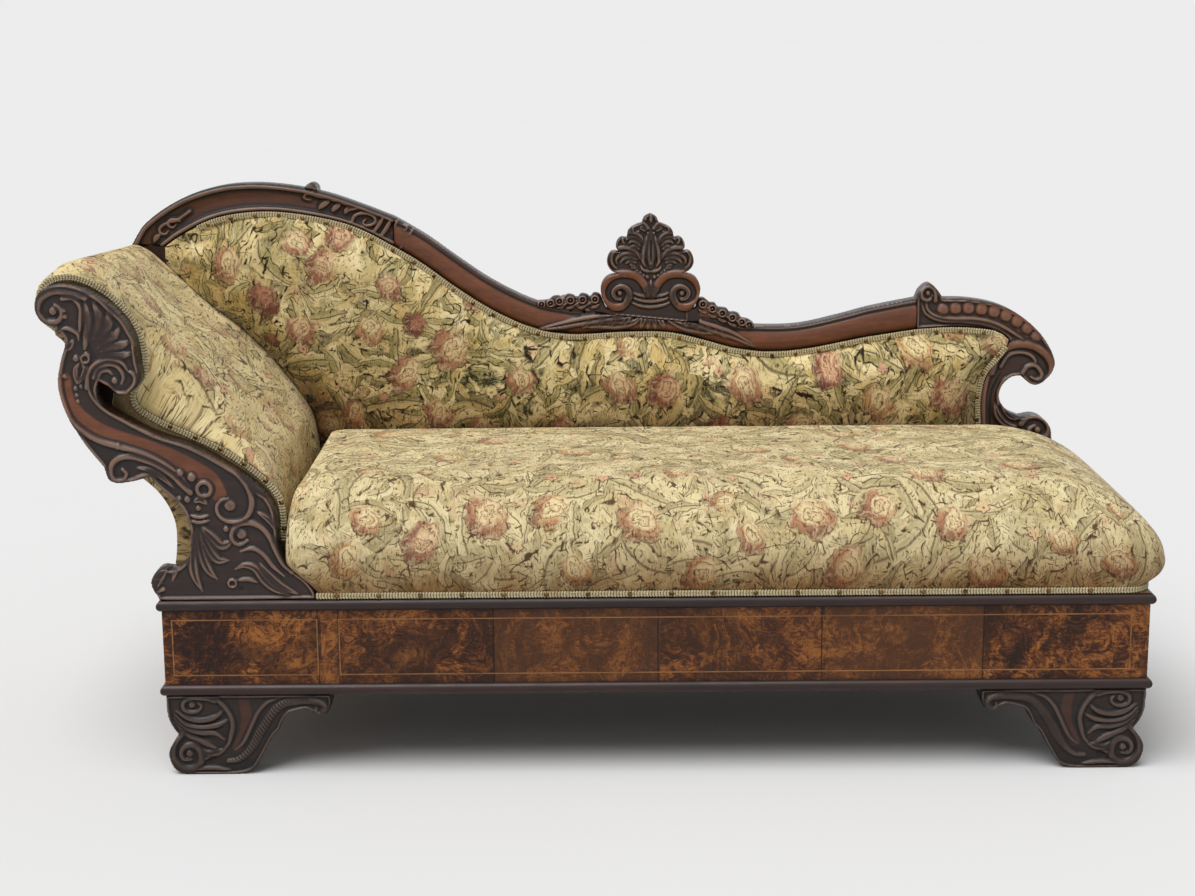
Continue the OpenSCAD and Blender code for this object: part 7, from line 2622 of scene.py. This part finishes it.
class Repeat:
    """A Geometry Nodes tree that sets one small form on many points."""

    def __init__(self, name: str, sizes: dict[str, float]) -> None:
        """Open the tree.

        Args:
            name: Its name.
            sizes: Its named sizes with their values.
        """
        self.tree = bpy.data.node_groups.new(name, "GeometryNodeTree")
        face = self.tree.interface
        face.new_socket("Geometry", in_out="INPUT", socket_type="NodeSocketGeometry")
        self.keys = {}
        for label, value in sizes.items():
            socket = face.new_socket(label, in_out="INPUT", socket_type="NodeSocketFloat")
            socket.default_value = value
            self.keys[socket.identifier] = value
        face.new_socket("Geometry", in_out="OUTPUT", socket_type="NodeSocketGeometry")
        self.wires = Wires(self.tree)
        self.ins = self.wires.add("NodeGroupInput")
        self.outs = self.wires.node("NodeGroupOutput").inputs

    def blob(self, size: tuple, turn: float = 0.0, off: Value = 0.0,
             fine: tuple[int, int] = (8, 6)) -> Reading:
        """Add one small rounded form.

        Args:
            size: Sockets or numbers of its half sizes.
            turn: Its turn in the trim's plane, in radians.
            off: How far it stands from the path.
            fine: Its segments and rings.

        Returns:
            Its geometry.
        """
        w = self.wires
        ball = w.add("GeometryNodeMeshUVSphere", {"Segments": fine[0], "Rings": fine[1], "Radius": 1.0})
        return w.add("GeometryNodeTransform", {
            "Geometry": ball[0], "Translation": w.join(0.0, off), "Rotation": (0.0, 0.0, turn),
            "Scale": w.join(*size)})[0]

    def told(self, name: str) -> Reading:
        """Read a direction that each point carries."""
        return self.wires.add("GeometryNodeInputNamedAttribute", {"Name": name}, data_type="FLOAT_VECTOR")[0]

    def spread(self, form: Reading, tangent: bool, material: bpy.types.Material) -> None:
        """Set the form on the points, its top outwards.

        Args:
            form: The form.
            tangent: Whether it follows the line's direction.
            material: Its material.
        """
        w, align = self.wires, "FunctionNodeAlignRotationToVector"
        if tangent:
            turn = w.add(align, {"Vector": self.told("way")}, axis="X")[0]
            turn = w.add(align, {"Rotation": turn, "Vector": self.told("out")}, axis="Z", pivot_axis="X")[0]
        else:
            turn = w.add(align, {"Vector": self.told("out")}, axis="Z")[0]
        form = w.add("GeometryNodeInstanceOnPoints", {
            "Points": self.ins["Geometry"], "Instance": form, "Rotation": turn})[0]
        for step in ("RealizeInstances", "SetShadeSmooth"):
            form = w.add(f"GeometryNode{step}", {"Geometry": form})[0]
        w.put(self.outs[0], w.add("GeometryNodeSetMaterial", {"Geometry": form, "Material": material})[0])

    def run(self, points: np.ndarray, outs: np.ndarray, ways: np.ndarray) -> tuple[np.ndarray, list]:
        """Run the tree on points.

        Args:
            points: Where the forms go, told from the apron's middle.
            outs: Which way is outwards at each.
            ways: Which way the line runs at each.

        Returns:
            The points and faces of the result.
        """
        holder = new_piece("holder", points, [], smooth=False)
        vector_layer(holder.data, "out", outs)
        vector_layer(holder.data, "way", ways)
        keep_modified(holder, "NODES", self.keys, node_group=self.tree)
        where = read(holder.data.vertices, "co", 3) - ORIGIN
        faces = [list(face.vertices) for face in holder.data.polygons]
        bpy.data.meshes.remove(holder.data)
        return where, faces


@dataclass
class Trim:
    """Gimp braid and domed nails."""

    lines: Lines
    materials: dict[str, bpy.types.Material]
    pitch: float = 5.0 * MM
    nail: float = 4.4 * MM
    shoulder: float = 6.5 * MM

    def braid(self) -> Repeat:
        """Build one stitch of the braid: two slanting lobes over a middle cord."""
        tree = Repeat("gimp_stitch", {"Width": SIZE.gimp_w, "Rise": SIZE.gimp_t, "Pitch": self.pitch})
        w, i = tree.wires, tree.ins
        lobe, off = (i["Pitch"] * 0.42, i["Width"] * 0.27, i["Rise"] * 0.62), i["Width"] * 0.24
        upper, lower = tree.blob(lobe, -0.55, off), tree.blob(lobe, 0.55, off * -1.0)
        bead = tree.blob((i["Pitch"] * 0.5, i["Width"] * 0.1, i["Rise"] * 0.85), fine=(6, 4))
        both = w.node("GeometryNodeJoinGeometry")
        for form in (bead, lower, upper):
            w.put(both.inputs[0], form)
        tree.spread(Reading(w, both.outputs[0]), True, self.materials["gimp"])
        return tree

    def build(self) -> None:
        """Lay the braids and drive the nails."""
        s, l = SIZE, self.lines
        braid = self.braid()
        crest = l.crest[(l.crest[:, 0] > s.hump_x + 0.25 * s.hump_l)
                        & (l.crest[:, 0] < l.crest[-1][0] - 2 * s.gimp_w)]
        side = l.upright[(l.upright[:, 1] > l.foot_z) & (l.upright[:, 1] < l.crest[-1][1] - s.gimp_w)][::-1]
        back_y = s.back_y - self.shoulder
        paths = [self.on_wall(aside(line, -s.gimp_w * 0.3 - s.gap), back_y) for line in (crest, side)]
        self.lay("back_braid", "back_gimp", braid, paths)
        pad = aside(l.pad_front[l.fine : l.turn + 1], s.gimp_w / 2)
        self.lay("arm_braid", "arm_gimp", braid, [self.on_wall(pad, s.facing_back + 0.0022)])
        self.lay("seat_braid", "seat_gimp", braid, [self.round_seat()])
        for node in ("seat_nails", "back_nails", "arm_nails"):
            self.drive(node)

    @staticmethod
    def on_wall(line: np.ndarray, y: float) -> tuple[np.ndarray, np.ndarray]:
        """Put a flat line on an upright plane that faces the front."""
        return upright(line, y), np.tile([0.0, -1.0, 0.0], (len(line), 1))

    @staticmethod
    def round_seat() -> tuple[np.ndarray, np.ndarray]:
        """Follow the seat's foot along the front and round the right end."""
        s = SIZE
        r = 46 * MM
        x1 = s.base_l / 2 + 0.3 * s.seat_over - 0.7 * s.bead_proud + 0.0002
        y0 = 0.002 - 0.3 * (s.seat_proud + 0.002) - 0.0002
        turn = np.radians(np.linspace(-90, 0, 13))
        cosine, sine = np.cos(turn), np.sin(turn)
        bend = np.stack([x1 - r + r * cosine, y0 + r + r * sine], axis=1)
        flat = np.vstack([[[s.toe_x + 0.0002, y0]], bend, [[x1, s.seat_rear]]])
        outs = np.vstack([[[0, -1, 0]], np.stack([cosine, sine, 0 * turn], axis=1), [[1, 0, 0]]])
        points = np.hstack([flat, np.full((len(flat), 1), s.top + s.gap + s.gimp_w / 2)])
        return points, outs

    def lay(self, name: str, node: str, braid: Repeat, paths: list) -> None:
        """Lay a braid along paths.

        Args:
            name: The piece's name.
            node: The node that it replaces.
            braid: The stitch.
            paths: Lines with their outward directions.
        """
        points, faces, over, count = [], [], [], 0
        for line, outs in paths:
            run = arc(line)
            steps = max(2, round(run[-1] / self.pitch))
            shares = (np.arange(steps) + 0.5) / steps
            spots = along(line, shares)
            out = np.stack([np.interp(shares * run[-1], run, outs[:, k]) for k in range(3)], axis=1)
            out /= np.linalg.norm(out, axis=1, keepdims=True)
            way = np.gradient(spots, axis=0)
            way /= np.linalg.norm(way, axis=1, keepdims=True)
            stitches = braid.run(spots + out * SIZE.gimp_t * 0.55, out, way)
            # The tape is told 0, and the gimp finish paints it dark as shade between the stitches.
            for lift, (where, made) in ((1.0, stitches), (0.0, self.tape(spots, out, way))):
                faces.extend([[k + count for k in face] for face in made])
                points.append(where)
                over.append(np.full(len(where), lift))
                count += len(where)
        piece = new_piece(name, np.vstack(points), faces)
        float_layer(piece.data, "lift", np.concatenate(over))
        Finish.dress(piece, self.materials["gimp"])
        settle(piece, "gimp", node)

    @staticmethod
    def tape(spots: np.ndarray, out: np.ndarray, way: np.ndarray) -> tuple[np.ndarray, list]:
        """Make the flat woven tape under the stitches."""
        across = np.cross(out, way) * (SIZE.gimp_w * 0.42)
        thick = out * SIZE.gimp_t * 0.6
        corners = (spots - across, spots + across, spots + across + thick, spots - across + thick)
        rings = np.stack(corners, axis=1)
        n = len(rings)
        faces = [[4 * k + j, 4 * (k + 1) + j, 4 * (k + 1) + (j + 1) % 4, 4 * k + (j + 1) % 4]
                 for k in range(n - 1) for j in range(4)]
        faces += [[0, 1, 2, 3], [4 * n - 1, 4 * n - 2, 4 * n - 3, 4 * n - 4]]
        return rings.reshape(-1, 3), faces

    def drive(self, node: str) -> None:
        """Set domed nails where the node has them.

        Args:
            node: The node.
        """
        centres, outs = self.heads(node)
        if node == "back_nails":
            centres = centres + outs * (self.shoulder - 1 * MM)
        tree = Repeat(f"{node}_head", {"Radius": self.nail})
        radius = tree.ins["Radius"]
        form = tree.blob((radius, radius, radius * 0.6), fine=(14, 8))
        tree.spread(form, False, self.materials["nail_brass"])
        where, faces = tree.run(centres, outs, outs)
        piece = new_piece(f"domed_{node}", where, faces)
        Finish.dress(piece, self.materials["nail_brass"])
        settle(piece, "nail_brass", node)

    @staticmethod
    def heads(node: str) -> tuple[np.ndarray, np.ndarray]:
        """Find the nails of a node: middle of the foot and direction of each."""
        points, faces = merged_points(node)
        owner = np.arange(len(points))
        for _ in range(64):
            low = owner[faces].min(axis=1)
            before = owner.copy()
            for k in range(3):
                np.minimum.at(owner, faces[:, k], low)
            if np.array_equal(before, owner):
                break
        centres, outs = [], []
        for name in np.unique(owner):
            island = points[owner == name]
            if len(island) < 8:
                continue
            low, high = island.min(axis=0), island.max(axis=0)
            thin = int(np.argmin(high - low))
            out = np.zeros(3)
            out[thin] = 1.0 if thin == 0 else -1.0
            middle = (low + high) / 2
            middle[thin] = low[thin] if thin == 0 else high[thin]
            centres.append(middle)
            outs.append(out)
        return np.array(centres), np.array(outs)


# Base, carcass and studio


@dataclass
class Carcass:
    """The nodes whose own shape is right: they only get their finish."""

    materials: dict[str, bpy.types.Material]
    finishes: dict[str, tuple[str, ...]] = field(default_factory=lambda: {
        "rail_wood": ("front_rail", "rear_rail", "end_rail_left", "end_rail_right", "cross_rail",
                      "seat_rear_rail", "corner_blocks", "webbing_battens", "back_bottom_rail",
                      "arm_rails"),
        # Painted shade: the arm boards are dark so that the facing's hollow and gaps look shaded.
        "stained_board": ("arm_board_front", "arm_board_rear"),
        "dowel_wood": ("foot_dowels", "crest_dowels", "facing_dowels"),
        "post_wood": ("back_post_left",),
        "bead_wood": ("top_bead_front", "bottom_bead_front", "foot_rear_left", "foot_rear_right"),
        "side_bead_wood": ("top_bead_left", "top_bead_right", "bottom_bead_left", "bottom_bead_right"),
        "burl_front": ("front_veneer",),
        "burl_end": ("end_veneer_left", "end_veneer_right"),
        "inlay": ("stringing",),
        "screw_steel": ("block_screws",),
        "spring_steel": ("seat_springs",),
        "webbing": ("webbing_crosswise", "webbing_lengthwise", "back_webbing", "arm_webbing"),
        "hessian": ("seat_hessian", "back_hessian", "arm_hessian"),
        "twine": ("spring_twine",),
    })

    def build(self) -> None:
        """Dress the nodes."""
        for finish, nodes in self.finishes.items():
            for node in nodes:
                Finish.dress(bpy.data.objects[node], self.materials[finish])
                LOG.info("%s: dressed in %s", node, finish)


@dataclass
class Studio:
    """A plain pale floor and plain soft light."""

    materials: dict[str, bpy.types.Material]
    half: float = 60.0
    world_level: float = 0.36
    back_level: float = 0.84
    sun_level: float = 2.7
    sun_width: float = 50.0

    def build(self) -> None:
        """Lay the floor and set the lamps."""
        floor = new_piece("floor", [(-self.half, -self.half, 0), (self.half, -self.half, 0),
                                    (self.half, self.half, 0), (-self.half, self.half, 0)], [[0, 1, 2, 3]])
        Finish.dress(floor, self.materials["pale_floor"])
        world = bpy.data.worlds.new("studio")
        world.use_nodes = True
        bpy.context.scene.world = world
        w = Wires(world.node_tree)
        back = world.node_tree.nodes["Background"]
        path = w.add("ShaderNodeLightPath")
        seen = w.sum("MAXIMUM", w.sum("MAXIMUM", path["Is Camera Ray"], path["Is Glossy Ray"]),
                     path["Is Transmission Ray"])
        w.put(back.inputs["Strength"], w.add(
            "ShaderNodeMapRange", {0: seen, 3: self.world_level, 4: self.back_level})[0])
        back.inputs["Color"].default_value = (1.0, 1.0, 1.0, 1.0)
        lamp = bpy.data.lights.new("window", "SUN")
        lamp.energy = self.sun_level
        lamp.angle = math.radians(self.sun_width)
        shown = bpy.data.objects.new("window", lamp)
        shown.rotation_euler = Vector((0.30, 0.36, -1.0)).to_track_quat("-Z", "Y").to_euler()
        bpy.context.scene.collection.objects.link(shown)
        bpy.context.scene.view_settings.view_transform = "Standard"


def all_materials(effects: Effects) -> dict[str, bpy.types.Material]:
    """Make every finish once.

    Args:
        effects: The shared effects.

    Returns:
        The materials by name.
    """
    flitches = (0.0, 0.157, 0.178, 0.335, 0.502, 0.668, 0.832)
    finishes = [
        Wood("carved_wood", "180b06", "351d12", rub_and_highlight="9c7b68", relief=True, gloss=0.32, coat=0.09,
             shine=0.4),
        Wood("foot_wood", "110a07", "2a1a12", rub_and_highlight="6b5648", warm="4a291b", relief=True, gloss=0.36,
             shine=0.36),
        Wood("bead_wood", "190b07", "38201a", gloss=0.36, coat=0.1),
        Wood("side_bead_wood", "190b07", "38201a", stretch=(45.0, 3.0, 45.0), gloss=0.36, coat=0.1),
        Wood("post_wood", "1d0f0a", "382218", stretch=(40.0, 40.0, 4.0), gloss=0.45, shine=0.28),
        # Painted shade: a near-black board, standing for the shade in the facing's hollow.
        Wood("stained_board", "130a07", "26150e", stretch=(20.0, 20.0, 4.0), gloss=0.7, shine=0.15),
        Wood("rail_wood", "7a5a38", "a98557", gloss=0.7),
        Wood("dowel_wood", "b3905f", "d2b687", stretch=(30.0, 30.0, 6.0), gloss=0.65),
        Wood("inlay", "6e4524", "a3713f", stretch=(8.0, 60.0, 60.0), gloss=0.45),
        Burl("burl_front", leaves=flitches),
        Burl("burl_end"),
        Weave("webbing", "b9a47b", "8d774f", threads=420.0, stripe="5d4a2c"),
        Weave("hessian", "a98f62", "6c5636", threads=330.0, uneven=0.9),
        Weave("lining", "958a6d", "766b50", threads=560.0),
        Weave("dust", "2f2c2b", "1d1b1b", threads=480.0),
        Fibre("stuffing", "9a8357", "5f4c2e"),
        Fibre("twine", "d0bf94", "9a8558", twist=(300.0, 300.0, 900.0)),
        Fibre("gimp", "e3d7b0", "9a8860", twist=(700.0, 700.0, 700.0), speck="33261a", tape_in_shade=True),
        Metal("screw_steel", "8b8983", "5f5a52"),
        Metal("spring_steel", "77716a", "4b3f35", gloss=0.4),
        Metal("nail_brass", "7d6238", "35261a", gloss=0.26),
        Tapestry("tapestry_seat", line=0.92, marks=0.85),
        Tapestry("tapestry_back", pale="f0dda8", olive="cdb270", leaf="8f8544", deep="3c3f1e", ink="26160b",
                 leaf_share=0.84, line=1.0, marks=0.7),
        Tapestry("tapestry_head", pale="f2dfa8", olive="dcc287", leaf="b69a60", ink="3a2412", leaf_share=0.62,
                 line=0.9, marks=0.85, rose=0.8, lean=(1.0, 0.5, 1.0)),
        FloorPaint(),
    ]
    return {finish.name: finish.make(effects) for finish in finishes}


def main() -> None:
    """Build the scene, piece by piece."""
    logging.basicConfig(level=logging.INFO, format="%(message)s")
    VIEW.camera()
    materials = all_materials(Effects())
    lines = Lines()
    Studio(materials).build()
    Carcass(materials).build()
    CarvedFrame(lines, materials).build()
    fibre = materials["stuffing"]
    Cushion("seat_cushion", "seat_cover", "seat_stuffing", SeatShape().skin(), materials["tapestry_seat"],
            fibre, SEAT_ROSES, 0.036, 0.22, 11, swell=6 * MM, pitch=0.115).build()
    BackCushion("back_cushion", "back_cover", "back_stuffing", BackShape(lines).skin(),
                materials["tapestry_back"], fibre, BACK_ROSES, 0.034, 0.35, 23, swell=9 * MM, pitch=0.10,
                kinds=(0.0, 1.0)).build()
    Cushion("head_cushion", "arm_cover", "arm_stuffing", HeadShape(lines).skin(), materials["tapestry_head"],
            fibre, HEAD_ROSES, 0.034, 0.12, 37, swell=4 * MM, pitch=0.11).build()
    Cloths(lines, materials).build()
    Trim(lines, materials).build()


if __name__ == "__main__":
    main()
